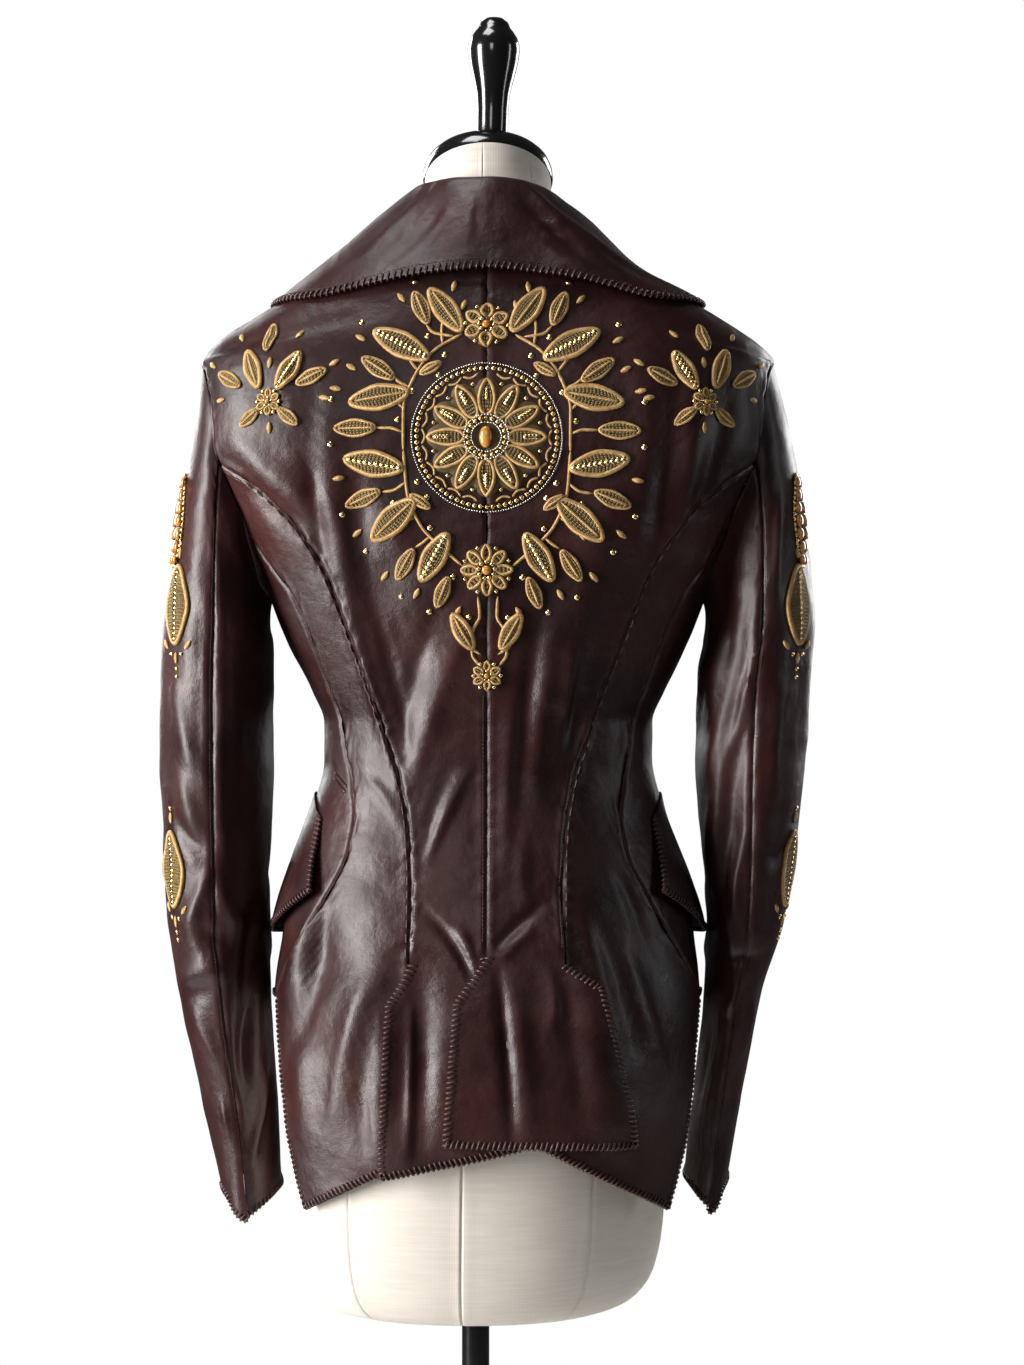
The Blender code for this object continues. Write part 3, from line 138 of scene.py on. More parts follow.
# Seams of the body, as height and distance from its middle, up to where each meets the armhole.
BACK_SEAM = (
    (0.9735, 0.0555),
    (1.0000, 0.0550),
    (1.0325, 0.0550),
    (1.0692, 0.0570),
    (1.1060, 0.0635),
    (1.1428, 0.0750),
    (1.1795, 0.0880),
    (1.2236, 0.1050),
    (1.2604, 0.1200),
    (1.2900, 0.1390),
    (1.3118, 0.1600),
    (1.3265, 0.1780),
)
SIDE_SEAM = (
    (0.9400, 0.1590),
    (0.9800, 0.1400),
    (1.0218, 0.1160),
    (1.0510, 0.1020),
    (1.0736, 0.0980),
    (1.1036, 0.1005),
    (1.1300, 0.1060),
    (1.1636, 0.1140),
    (1.2090, 0.1300),
    (1.2410, 0.1440),
    (1.2650, 0.1620),
)
FRONT_SEAM = (
    (0.9150, 0.1180),
    (0.9700, 0.1120),
    (1.0500, 0.0960),
    (1.1150, 0.0840),
    (1.1700, 0.0900),
    (1.2200, 0.1080),
    (1.2550, 0.1380),
)
# Where the peplum's vents begin, and the corners of its flaps.
VENT_Z = 0.9785
VENT_FADE = 0.035
RIGHT_FLAP_INNER = ((-0.0297, 0.8466), (-0.0217, 0.9480))
RIGHT_FLAP_OUTER = ((0.1044, 0.8430), (0.0800, 0.9560))
LEFT_FLAP_INNER = ((-0.0250, 0.8430), (-0.0200, 0.9550))
LEFT_FLAP_OUTER = ((0.0747, 0.8212), (0.0715, 0.9450))
SIDE_BACK_POINT = (0.1330, 0.7890)
SIDE_BACK_HIDDEN = (0.0400, 0.8430)
FRONT_HEM_Z = 0.8800
BREAK_Z = 1.190
NECK_FRONT_TURN = math.radians(-58)
CENTRE_FRONT_TURN = math.radians(-89.2)

# The largest folds of the torso: turn and ring of one end, turn and ring of the other, half width and height.
# Turns are in degrees.
TORSO_FOLDS = (
    (113, 0.975, 116, 0.850, 0.017, -0.0055),
    (126, 0.965, 121, 0.820, 0.018, 0.0050),
    (141, 0.985, 151, 0.905, 0.016, -0.0055),
    (58, 0.975, 50, 0.840, 0.018, 0.0045),
    (36, 1.000, 32, 0.870, 0.017, -0.0045),
    (136, 1.330, 121, 1.160, 0.018, -0.0045),
    (47, 1.320, 62, 1.150, 0.018, 0.0040),
    (-35, 1.270, -62, 1.140, 0.020, -0.0040),
    (215, 1.270, 242, 1.140, 0.020, -0.0040),
)
FOLD_RADIUS = 0.125

# Stations down each sleeve: height and distance from the middle of the jacket, half width, how far the ring
# tilts up on its outer side, place and half depth from back to front, and how far the hem dips at the vent.
SLEEVE_COLUMNS = ("z", "x", "half_width", "tilt", "y", "half_depth", "dip")
LEFT_SLEEVE = (
    (1.328, 0.1910, 0.0250, 0.091, -0.001, 0.0635, 0.0),
    (1.305, 0.1955, 0.0265, 0.078, 0.000, 0.0645, 0.0),
    (1.283, 0.1990, 0.0290, 0.062, 0.000, 0.0650, 0.0),
    (1.262, 0.2025, 0.0330, 0.045, 0.000, 0.0650, 0.0),
    (1.240, 0.2055, 0.0370, 0.027, 0.000, 0.0640, 0.0),
    (1.215, 0.2070, 0.0410, 0.010, 0.000, 0.0635, 0.0),
    (1.180, 0.2085, 0.0430, 0.0, 0.001, 0.0620, 0.0),
    (1.116, 0.2090, 0.0435, 0.0, 0.003, 0.0600, 0.0),
    (1.060, 0.2085, 0.0410, 0.0, 0.005, 0.0580, 0.0),
    (1.000, 0.2080, 0.0395, 0.0, 0.008, 0.0550, 0.0),
    (0.930, 0.2025, 0.0345, 0.0, 0.012, 0.0520, 0.0),
    (0.854, 0.1925, 0.0290, 0.0, 0.016, 0.0480, 0.002),
    (0.800, 0.1860, 0.0240, 0.0, 0.019, 0.0450, 0.014),
    (0.785, 0.1840, 0.0230, 0.0, 0.020, 0.0445, 0.018),
)
RIGHT_SLEEVE = (
    (1.328, 0.1910, 0.0250, 0.091, -0.001, 0.0635, 0.0),
    (1.307, 0.1985, 0.0295, 0.078, 0.000, 0.0650, 0.0),
    (1.286, 0.2035, 0.0335, 0.062, 0.000, 0.0660, 0.0),
    (1.264, 0.2070, 0.0375, 0.045, 0.000, 0.0655, 0.0),
    (1.240, 0.2085, 0.0405, 0.027, 0.000, 0.0645, 0.0),
    (1.215, 0.2080, 0.0420, 0.010, 0.000, 0.0635, 0.0),
    (1.180, 0.2045, 0.0430, 0.0, 0.001, 0.0620, 0.0),
    (1.116, 0.2020, 0.0420, 0.0, 0.004, 0.0600, 0.0),
    (1.046, 0.2010, 0.0360, 0.0, 0.008, 0.0580, 0.0),
    (0.990, 0.1985, 0.0290, 0.0, 0.012, 0.0550, 0.0),
    (0.930, 0.1890, 0.0215, 0.0, 0.018, 0.0520, 0.0),
    (0.865, 0.1800, 0.0185, 0.0, 0.023, 0.0500, 0.002),
    (0.810, 0.1720, 0.0170, 0.0, 0.026, 0.0480, 0.014),
    (0.790, 0.1695, 0.0160, 0.0, 0.027, 0.0475, 0.018),
)
SLEEVE_HEAD_ROWS = 6
ARMHOLE_EASE = 0.988
HEAD_NORMAL_DOWN = 0.045
HEAD_BOW = 0.013
DIP_HALF_WIDTH = math.radians(38)
VENT_OPEN_UPPER = 0.004
VENT_OPEN_UNDER = -0.009
# The sleeves' largest folds: clock angle and height of each end, half width and height of the fold.
LEFT_SLEEVE_FOLDS = (
    (150, 1.000, 112, 0.870, 0.013, -0.0100),
    (60, 1.010, 100, 0.950, 0.016, 0.0040),
    (120, 1.250, 118, 1.120, 0.015, 0.0040),
)
RIGHT_SLEEVE_FOLDS = (
    (128, 1.240, 140, 1.090, 0.015, 0.0045),
    (112, 1.180, 122, 1.030, 0.014, -0.0040),
    (140, 1.080, 112, 0.930, 0.015, 0.0040),
)
SLEEVE_FOLD_RADIUS = 0.052

# The collar: its fold round the neck and the ring of the torso that its outer edge lies over.
COLLAR_FOLD_HALF_WIDTH = 0.0545
COLLAR_FOLD_DEPTH = 0.0600
COLLAR_FOLD_FRONT = 0.0580
COLLAR_FOLD_Z = 1.5535
COLLAR_FOLD_FALL = 0.0480
# The right side of the collar has slipped a little lower than the left and hugs the shoulder.
COLLAR_RIGHT_SLIP = 0.0085
COLLAR_RIGHT_SAG = 0.0130
COLLAR_BASE_GAP = 0.0022
COLLAR_END_TURN = math.radians(-54)
COLLAR_POINT_TURN = math.radians(-41)
COLLAR_EDGE_COLUMNS = ("turn", "ring", "lift")
COLLAR_EDGE = (
    (-60, 1.4300, 0.0060),
    (-52, 1.4360, 0.0060),
    (-35, 1.4580, 0.0055),
    (-15, 1.4860, 0.0045),
    (0, 1.4990, 0.0040),
    (15, 1.4930, 0.0045),
    (35, 1.4790, 0.0065),
    (60, 1.4770, 0.0085),
    (90, 1.4790, 0.0095),
)

# The stand under the form and the fittings on its neck, as radius and height of each turned outline.
POLE_RADIUS = 0.0105
BASE_PLATE = ((0.0, 0.0), (0.188, 0.0), (0.190, 0.002), (0.190, 0.008), (0.187, 0.011), (0.0, 0.011))
POLE_FOOT = (
    (0.0, 0.0113),
    (0.034, 0.0113),
    (0.034, 0.019),
    (0.030, 0.0215),
    (0.018, 0.0235),
    (0.018, 0.052),
    (0.016, 0.0545),
    (0.0, 0.0545),
)
POLE_SPAN = (0.0548, 0.6837)
POLE_SOCKET = (
    (0.0, 0.6840),
    (0.0160, 0.6840),
    (0.0200, 0.6870),
    (0.0200, 0.6940),
    (0.0330, 0.6965),
    (0.0330, 0.6997),
    (0.0, 0.6997),
)
NECK_TIP = math.atan(0.45)
SLANT_HEIGHT = 0.030
NECK_CAP = (
    (0.0, 0.0),
    (0.0495, 0.0),
    (0.0500, 0.0020),
    (0.0495, 0.0080),
    (0.0475, 0.0135),
    (0.0445, 0.0170),
    (0.0380, 0.0185),
    (0.0, 0.0188),
)
NECK_CAP_Z = 1.5603
FINIAL_X = 0.0028
FINIAL_LEAN = math.radians(1.3)
FINIAL_Z = 1.5817
FINIAL = (
    (0.0, 0.0005),
    (0.0170, 0.0005),
    (0.0165, 0.0045),
    (0.0130, 0.0085),
    (0.0122, 0.0150),
    (0.0121, 0.0345),
    (0.0130, 0.0462),
    (0.0145, 0.0533),
    (0.0163, 0.0604),
    (0.0178, 0.0663),
    (0.0189, 0.0722),
    (0.0198, 0.0793),
    (0.0194, 0.0851),
    (0.0177, 0.0899),
    (0.0150, 0.0940),
    (0.0123, 0.0973),
    (0.0120, 0.0980),
    (0.0105, 0.1015),
    (0.0065, 0.1045),
    (0.0, 0.1054),
)

# Raised gold thread work, the same on both halves. Leaves on the back: place across and up, length, width and
# lean in degrees.
BACK_LEAVES = (
    (0.0300, 1.4500, 0.0440, 0.0200, 35),
    (0.0620, 1.4240, 0.0480, 0.0220, 62),
    (0.0780, 1.3850, 0.0460, 0.0220, 100),
    (0.0820, 1.3370, 0.0460, 0.0220, 80),
    (0.0680, 1.2960, 0.0460, 0.0220, 132),
    (0.0380, 1.2690, 0.0420, 0.0200, 150),
    (0.0175, 1.2150, 0.0320, 0.0150, 28),
)
# Flowers down the middle of the back: height, radius and number of petals.
BACK_FLOWERS = (
    (1.3560, 0.0440, 12),
    (1.4380, 0.0170, 6),
    (1.2600, 0.0190, 8),
    (1.1830, 0.0110, 6),
)
# Leaves on the shoulders, with the same columns.
SHOULDER_LEAVES = (
    (0.1720, 1.4080, 0.0340, 0.0160, 25),
    (0.1450, 1.4060, 0.0340, 0.0160, -30),
)
# Motifs down the outside of a sleeve: angle from +X towards the back, height, length and width.
SLEEVE_LEAVES = (
    (62, 1.2350, 0.0620, 0.0320),
    (48, 1.0350, 0.0600, 0.0300),
)
BEAD_STRIP = (57, 1.2980, 0.0720, 0.0210)
BUTTON_X = 0.0120
BUTTON_HEIGHTS = (1.155, 1.085)
# The middle line of the back's motifs, and the middle of a sleeve's outside, from the middle of the jacket.
MOTIF_X = 0.0004
SLEEVE_MIDDLE_X = 0.2065
# How far off the leather the lines start that find a motif's place on it.
AIM_FROM = 0.3


def monotone_curve(knots, values):
    """A smooth curve through a table that doesn't overshoot between its rows."""
    knots = np.asarray(knots, float)
    values = np.asarray(values, float)
    gaps = np.diff(knots)
    slopes = np.diff(values) / gaps
    tangents = np.zeros_like(values)
    same_way = slopes[:-1] * slopes[1:] > 0
    first = 2 * gaps[1:] + gaps[:-1]
    second = gaps[1:] + 2 * gaps[:-1]
    safe = np.where(same_way, slopes[:-1], 1.0), np.where(same_way, slopes[1:], 1.0)
    tangents[1:-1] = np.where(same_way, (first + second) / (first / safe[0] + second / safe[1]), 0.0)
    tangents[0], tangents[-1] = slopes[0], slopes[-1]

    def read(at):
        at = np.clip(np.asarray(at, float), knots[0], knots[-1])
        row = np.clip(np.searchsorted(knots, at) - 1, 0, len(gaps) - 1)
        gap = gaps[row]
        share = (at - knots[row]) / gap
        rest = 1 - share
        return (
            values[row] * (1 + 2 * share) * rest**2
            + tangents[row] * gap * share * rest**2
            + values[row + 1] * share**2 * (3 - 2 * share)
            - tangents[row + 1] * gap * share**2 * rest
        )

    return read


def table_curves(table, columns):
    """One curve for each column of a table after the first, by name."""
    rows = np.array(table, float)
    order = np.argsort(rows[:, 0])
    return {name: monotone_curve(rows[order, 0], rows[order, k]) for k, name in enumerate(columns) if k}


TORSO_CURVES = table_curves(TORSO, TORSO_COLUMNS)
FORM_CURVES = table_curves(FORM, FORM_COLUMNS)
EDGE_CURVES = table_curves(COLLAR_EDGE, COLLAR_EDGE_COLUMNS)


def lengths_along(points):
    """How far along a line each of its points lies."""
    return np.concatenate([[0.0], np.cumsum(np.linalg.norm(np.diff(points, axis=0), axis=1))])


def turns(count):
    """Even angles round a circle, from 0."""
    return np.linspace(0, 2 * math.pi, count + 1)[:-1]


def on_circle(turn):
    """Flat places on a circle of radius 1, where 0 is at its top."""
    return np.stack([np.sin(turn), np.cos(turn)], -1)


def tube_faces(rows, columns):
    """Four-sided faces between rings of points, each ring closed."""
    at = np.arange(rows * columns).reshape(rows, columns)
    nxt = np.roll(at, -1, axis=1)
    return np.stack([at[:-1], nxt[:-1], nxt[1:], at[1:]], -1).reshape(-1, 4)


def smooth_step(value, start, end):
    share = np.clip((np.asarray(value, float) - start) / (end - start), 0.0, 1.0)
    return share * share * (3 - 2 * share)


def outline_radius(turn, half_width, depth, square):
    across = np.abs(np.cos(turn)) / half_width
    along = np.abs(np.sin(turn)) / depth
    return (across**square + along**square) ** (-1 / square)


def ring_point(turn, ring, curves):
    """A point of the torso or of the form, without folds."""
    depth = np.where(np.sin(turn) > 0, curves["back"](ring), curves["front"](ring))
    radius = outline_radius(turn, curves["half_width"](ring), depth, curves["square"](ring))
    height = ring - curves["drop"](ring) * np.cos(turn) ** 4
    height = height - curves["fall"](ring) * np.minimum(np.sin(turn), 0.0) ** 2
    if "tip" in curves:
        height = height + curves["tip"](ring) * radius * np.sin(turn)
    return np.stack([radius * np.cos(turn), -radius * np.sin(turn), height + 0 * radius], -1)


def normals(surface, u, v, sign=1.0):
    """Unit normals of surface(u, v), by small steps either way."""
    along_u = surface(u + STEP, v) - surface(u - STEP, v)
    along_v = surface(u, v + STEP) - surface(u, v - STEP)
    cross = np.cross(along_u, along_v) * sign
    return cross / np.maximum(np.linalg.norm(cross, axis=-1, keepdims=True), 1e-12)


def fold_heights(across, height, radius, folds):
    """The sum of soft folds at places given by an angle and a height. Each fades at its ends and sides."""
    total = np.zeros(np.broadcast(across, height).shape)
    for turn_a, height_a, turn_b, height_b, half_width, depth in folds:
        start = np.array([math.radians(turn_a) * radius, height_a])
        way = np.array([math.radians(turn_b) * radius, height_b]) - start
        length = np.linalg.norm(way)
        way = way / length
        du, dv = across * radius - start[0], height - start[1]
        along = (du * way[0] + dv * way[1]) / length
        aside = du * way[1] - dv * way[0]
        fade = smooth_step(along, -0.15, 0.25) * (1 - smooth_step(along, 0.75, 1.15))
        total = total + depth * np.exp(-((aside / half_width) ** 2)) * fade
    return total


def plain_torso(turn, ring):
    return ring_point(turn, ring, TORSO_CURVES)


def torso(turn, ring):
    """The inside of the jacket's body, with its largest folds."""
    height = fold_heights(turn, ring, FOLD_RADIUS, TORSO_FOLDS)
    return plain_torso(turn, ring) + normals(plain_torso, turn, ring, -1) * height[..., None]


def off_torso(turn, ring, distance):
    return torso(turn, ring) + normals(torso, turn, ring, -1) * np.asarray(distance)[..., None]


def form_surface(turn, ring):
    point = ring_point(turn, ring, FORM_CURVES)
    point[..., 0] += FORM_LEAN * np.minimum(point[..., 2] - FORM_UPRIGHT_Z, 0.0)
    return point


def torso_place(x, z, front=False):
    """(turn, ring) of the place x to the right of the middle at height z, on the back or the front."""
    half_width = TORSO_CURVES["half_width"](z)
    square = TORSO_CURVES["square"](z)
    depth = TORSO_CURVES["front" if front else "back"](z)
    share = min(abs(x) / half_width, 1.0)
    y = depth * (1 - share**square) ** (1 / square)
    turn = math.atan2(y, x)
    return (-turn if front else turn, z)


def armhole_place(clock):
    reach = np.where(np.sin(clock) > 0, ARMHOLE_BACK_TURN, ARMHOLE_FRONT_TURN)
    return np.stack([reach * np.sin(clock), ARMHOLE_RING + ARMHOLE_HALF_HEIGHT * np.cos(clock)], -1)


def leg(places, cells, smooth=True):
    """cells + 1 places spread evenly along a line of (turn, ring) places."""
    places = np.array(places, float)
    along = lengths_along(places * [FOLD_RADIUS, 1.0])
    even = np.linspace(0, along[-1], cells + 1)
    if smooth and len(places) > 2:
        return np.stack([monotone_curve(along, places[:, k])(even) for k in (0, 1)], -1)
    return np.stack([np.interp(even, along, places[:, k]) for k in (0, 1)], -1)


def chain(*legs):
    """Legs joined end to end, each starting where the last one ended."""
    return np.concatenate([legs[0]] + [part[1:] for part in legs[1:]])


def armhole_leg(start, end, cells):
    return armhole_place(np.linspace(start, end, cells + 1))


def seam_leg(table, cells, clock, front=False):
    """A seam from its lowest row up to where it meets the armhole."""
    places = [torso_place(x, z, front) for z, x in table]
    return leg(places + [armhole_place(clock)], cells)


def coons(bottom, right, top, left, fade=1.0):
    """A grid of places inside four edges. Rows run up and columns run from left to right.

    A higher fade keeps the bends of the top and bottom edges closer to them.
    """
    v = np.linspace(0, 1, len(left))[:, None, None]
    u = np.linspace(0, 1, len(bottom))[None, :, None]
    across = (1 - u) * left[:, None] + u * right[:, None]
    bottom_bend = bottom[None] - (1 - u) * bottom[0] - u * bottom[-1]
    top_bend = top[None] - (1 - u) * top[0] - u * top[-1]
    return across + (1 - v) ** fade * bottom_bend + v**fade * top_bend


def ease_edges(grid, surface, ease=SEAM_GAP * 0.6):
    """Draws each edge of a grid in by a hair, so that pieces stay apart at their seams."""
    eased = grid.copy()
    rims = (np.s_[0], np.s_[-1], np.s_[:, 0], np.s_[:, -1])
    nexts = (np.s_[1], np.s_[-2], np.s_[:, 1], np.s_[:, -2])
    for edge, inner in zip(rims, nexts):
        here, there = eased[edge].copy(), eased[inner]
        rim = surface(*here.T)
        along = np.gradient(rim, axis=0)
        along = along / np.maximum(np.linalg.norm(along, axis=-1, keepdims=True), 1e-9)
        step = surface(*there.T) - rim
        aside = step - along * np.sum(step * along, axis=-1, keepdims=True)
        share = np.minimum(ease / np.maximum(np.linalg.norm(aside, axis=-1), 1e-6), 0.4)
        eased[edge] = here + (there - here) * share[:, None]
    return eased


# Cells along each stretch of a panel's edge.
ROWS_FLAP, ROWS_CORNER, ROWS_SEAM, ROWS_SHOULDER = 32, 8, 90, 30
ROWS_PEPLUM = 44
COLUMNS_NECK, COLUMNS_SHOULDER = 24, 22
ROWS_ARMHOLE_FRONT = 44
TOP_FADE = 2.4


def on_side(grid, side):
    """The same places on the right half, side 1, or mirrored to the left half, side -1."""
    if side > 0:
        return grid
    mirrored = grid.copy()
    mirrored[..., 0] = math.pi - grid[..., 0]
    return mirrored


def vent_lift(height):
    """A flap of the peplum stands off by height below the vent and lies flush above it."""
    return lambda grid: height * (1 - smooth_step(grid[..., 1], VENT_Z + 0.004, VENT_Z + VENT_FADE))


def back_seam():
    return seam_leg(BACK_SEAM, ROWS_SEAM, CLOCK_BACK_SEAM)


def side_seam():
    return seam_leg(SIDE_SEAM, ROWS_SEAM, CLOCK_SIDE_SEAM)


def front_seam():
    return seam_leg(FRONT_SEAM, ROWS_SEAM, CLOCK_FRONT_SEAM, front=True)


def shoulder_leg():
    """From the neck out to the shoulder tip, along the top of the shoulder."""
    tip = ARMHOLE_RING + ARMHOLE_HALF_HEIGHT
    return leg([(0.0, NECK_RING), (0.0, tip)], COLUMNS_SHOULDER, smooth=False)


def back_grid(inner_flap, outer_flap):
    seam = back_seam()
    places_in = [torso_place(*corner) for corner in inner_flap]
    places_out = [torso_place(*corner) for corner in outer_flap]
    left = chain(
        leg(places_in, ROWS_FLAP),
        leg([places_in[-1], (QUARTER, VENT_Z)], ROWS_CORNER),
        leg([(QUARTER, VENT_Z), (QUARTER, NECK_RING)], ROWS_SEAM + ROWS_SHOULDER),
    )
    right = chain(
        leg(places_out, ROWS_FLAP),
        leg([places_out[-1], seam[0]], ROWS_CORNER),
        seam,
        armhole_leg(CLOCK_BACK_SEAM, 0.0, ROWS_SHOULDER),
    )
    neck = leg([(QUARTER, NECK_RING), (0.0, NECK_RING)], COLUMNS_NECK)
    top = chain(neck, shoulder_leg())
    bottom = leg([places_in[0], places_out[0]], COLUMNS_NECK + COLUMNS_SHOULDER)
    return coons(bottom, right, top, left, TOP_FADE)


def side_back_grid():
    hidden = torso_place(*SIDE_BACK_HIDDEN)
    point = torso_place(*SIDE_BACK_POINT)
    seam, side = back_seam(), side_seam()
    left = chain(leg([hidden, seam[0]], ROWS_PEPLUM), seam)
    right = chain(leg([point, side[0]], ROWS_PEPLUM), side)
    top = armhole_leg(CLOCK_BACK_SEAM, CLOCK_SIDE_SEAM, 20)
    return coons(leg([hidden, point], 20), right, top, left)


def side_grid():
    side, front = side_seam(), front_seam()
    top = armhole_leg(CLOCK_SIDE_SEAM, CLOCK_FRONT_SEAM, 34)
    return coons(leg([side[0], front[0]], 34), front, top, side)


def front_grid():
    seam = front_seam()
    left = chain(seam, armhole_leg(CLOCK_FRONT_SEAM, CLOCK_TIP, ROWS_ARMHOLE_FRONT))
    rows = len(left) - 1
    below = rows // 2
    hem = (CENTRE_FRONT_TURN, FRONT_HEM_Z)
    rest = (CENTRE_FRONT_TURN, BREAK_Z)
    neck = (NECK_FRONT_TURN, NECK_RING)
    right = chain(leg([hem, rest], below), leg([rest, neck], rows - below))
    top = chain(shoulder_leg()[::-1], leg([(0.0, NECK_RING), neck], 22))
    return coons(leg([seam[0], hem], len(top) - 1), right, top, left, TOP_FADE)


def lapel_grid():
    """The lapel lies folded back over the front, between the roll line and its own peak."""
    roll = leg([(CENTRE_FRONT_TURN, BREAK_Z), (NECK_FRONT_TURN, NECK_RING - 0.004)], 88)
    peak = [(0.020, BREAK_Z - 0.004), (0.085, 1.300), (0.135, 1.405)]
    edge = leg([torso_place(x, z, True) for x, z in peak], 60)
    gorge = leg([edge[-1], (math.radians(-46), 1.442)], 28)
    outer = chain(edge, gorge)
    return coons(leg([roll[0], outer[0]], 18), outer, leg([roll[-1], outer[-1]], 18), roll)


def armhole_curves(side):
    """Where the sleeve is sewn on, flush with the outside of the body, and the body's normal there."""
    clocks = np.linspace(-math.pi, 3 * math.pi, 721)
    place = armhole_place(clocks)
    middle = np.array([0.0, ARMHOLE_RING])
    place = middle + (place - middle) * ARMHOLE_EASE
    turn = place[:, 0] if side > 0 else math.pi - place[:, 0]
    edge = off_torso(turn, place[:, 1], np.full(len(clocks), LEATHER))
    normal = normals(torso, turn, place[:, 1], -1)

    def read(table, clock):
        return np.stack([np.interp(clock, clocks, table[:, k]) for k in range(3)], -1)

    return lambda clock: read(edge, clock), lambda clock: read(normal, clock)


def sleeve_surface(side, stations, folds):
    """The sleeve's outside as a function of clock angle and share of the way down the sleeve."""
    rows = np.array(stations)
    shares = np.linspace(0, 1, len(rows))
    curves = {name: monotone_curve(shares, rows[:, k]) for k, name in enumerate(SLEEVE_COLUMNS)}
    edge, edge_normal = armhole_curves(side)
    head_end = (SLEEVE_HEAD_ROWS - 1) / (len(rows) - 1)

    def plain(clock, down):
        out, back = np.cos(clock), np.sin(clock)
        near_vent = np.exp(-(((clock - CLOCK_BACK_SEAM) / DIP_HALF_WIDTH) ** 2))
        bow = HEAD_BOW * (1 - smooth_step(down, 0.0, head_end)) * back**2
        x = curves["x"](down) + curves["half_width"](down) * out + bow
        y = curves["y"](down) - curves["half_depth"](down) * back
        z = curves["z"](down) + curves["tilt"](down) * out - curves["dip"](down) * near_vent
        tube = np.stack([side * x, y, z], -1)
        blend = smooth_step(down, 0.0, head_end)[..., None]
        return edge(clock) * (1 - blend) + tube * blend

    def folded(clock, down):
        height = fold_heights(clock, curves["z"](down), SLEEVE_FOLD_RADIUS, folds)
        return plain(clock, down) + normals(plain, clock, down, side) * height[..., None]

    def outward(clock, down):
        """The way out through the wall. At the armhole it turns to the body's, where the two are alike."""
        own = normals(folded, clock, np.maximum(down, HEAD_NORMAL_DOWN), side)
        body = edge_normal(clock)
        alike = smooth_step(np.sum(own * body, axis=-1), 0.3, 0.8)
        share = (alike * (1 - smooth_step(down, 0.0, 0.12)))[..., None]
        mixed = body * share + own * (1 - share)
        return mixed / np.linalg.norm(mixed, axis=-1, keepdims=True)

    return folded, outward


def open_vent(points, normal, clock, down, reach):
    """Moves the edge next to the back seam in or out below the vent."""
    near = np.exp(-((np.abs(clock - CLOCK_BACK_SEAM) / math.radians(26)) ** 2))
    return points + normal * (near * smooth_step(down, 0.84, 1.0) * reach)[..., None]


def collar_half(turn, share, right):
    """The middle of the collar's leather on one half: up the neck, over the fold and out to its edge."""
    degrees = np.degrees(turn)
    base_ring = np.full(np.shape(turn), NECK_RING + COLLAR_BASE_GAP)
    base = off_torso(turn, base_ring, np.full(np.shape(turn), LEATHER / 2))
    depth = np.where(np.sin(turn) > 0, COLLAR_FOLD_DEPTH, COLLAR_FOLD_FRONT)
    fold_radius = outline_radius(turn, COLLAR_FOLD_HALF_WIDTH, depth, 2.0)
    out = np.stack([np.cos(turn), -np.sin(turn), 0 * turn], -1)
    up = np.array([0.0, 0.0, 1.0])
    fold_z = COLLAR_FOLD_Z - COLLAR_FOLD_FALL * np.minimum(np.sin(turn), 0.0) ** 2
    fold_z = fold_z - right * COLLAR_RIGHT_SLIP * np.cos(turn) ** 2
    fold = out * fold_radius[..., None] + up * fold_z[..., None]
    edge = off_torso(turn, EDGE_CURVES["ring"](degrees), EDGE_CURVES["lift"](degrees))
    points = (base, fold - out * 0.0024 - up * 0.0045, fold, fold + out * 0.0055 - up * 0.0035, edge)
    stops = (0.0, 0.22, 0.30, 0.38, 1.0)
    tangents = []
    for k in range(5):
        low, high = max(k - 1, 0), min(k + 1, 4)
        tangents.append((points[high] - points[low]) / (stops[high] - stops[low]))
    fall = (points[4] - points[3]) / (stops[4] - stops[3])
    tangents[3] = fall * 0.9 + out * 0.010
    tangents[4] = fall
    result = np.zeros(np.shape(turn) + (3,))
    for k in range(4):
        gap = stops[k + 1] - stops[k]
        t = np.clip((share - stops[k]) / gap, 0, 1)[..., None]
        piece = (
            points[k] * (1 + 2 * t) * (1 - t) ** 2
            + tangents[k] * gap * t * (1 - t) ** 2
            + points[k + 1] * t**2 * (3 - 2 * t)
            - tangents[k + 1] * gap * t**2 * (1 - t)
        )
        result = np.where((share >= stops[k])[..., None], piece, result)
    sag = np.sin(math.pi * np.clip((share - 0.45) / 0.55, 0, 1)) ** 2
    sag = sag * np.cos(np.minimum(2.0 * np.abs(turn), QUARTER)) ** 2 * right * COLLAR_RIGHT_SAG
    return result - up * sag[..., None]


def collar_surface(turn, share):
    left = collar_half(math.pi - turn, share, 0.0)
    left[..., 0] = -left[..., 0]
    return np.where((turn > QUARTER)[..., None], left, collar_half(turn, share, 1.0))


def flap_grid():
    """A pocket flap on the hip, from its sewn top edge down to its slanted lower edge."""
    top = leg([torso_place(0.1230, 1.0750), (0.0, 1.0900), torso_place(0.0950, 1.0800, True)], 36)
    bottom = leg([torso_place(0.1230, 1.0200), (0.05, 0.9850), torso_place(0.1050, 0.9700, True)], 36)
    right = leg([bottom[-1], top[-1]], 24)
    left = leg([bottom[0], top[0]], 24)
    return coons(bottom, right, top, left)


# Fine cells close to a panel's edges, where its leather rolls over.
RIM_STEPS = (0.0008, 0.0018, 0.0030)
# Soft uneven waves all over the leather: size across and height, in metres.
RIPPLES = ((0.038, 0.0010), (0.016, 0.00042))
PUCKER_LENGTH = 0.0048
PUCKER_HEIGHT = 0.00075
PUCKER_REACH = 0.0095

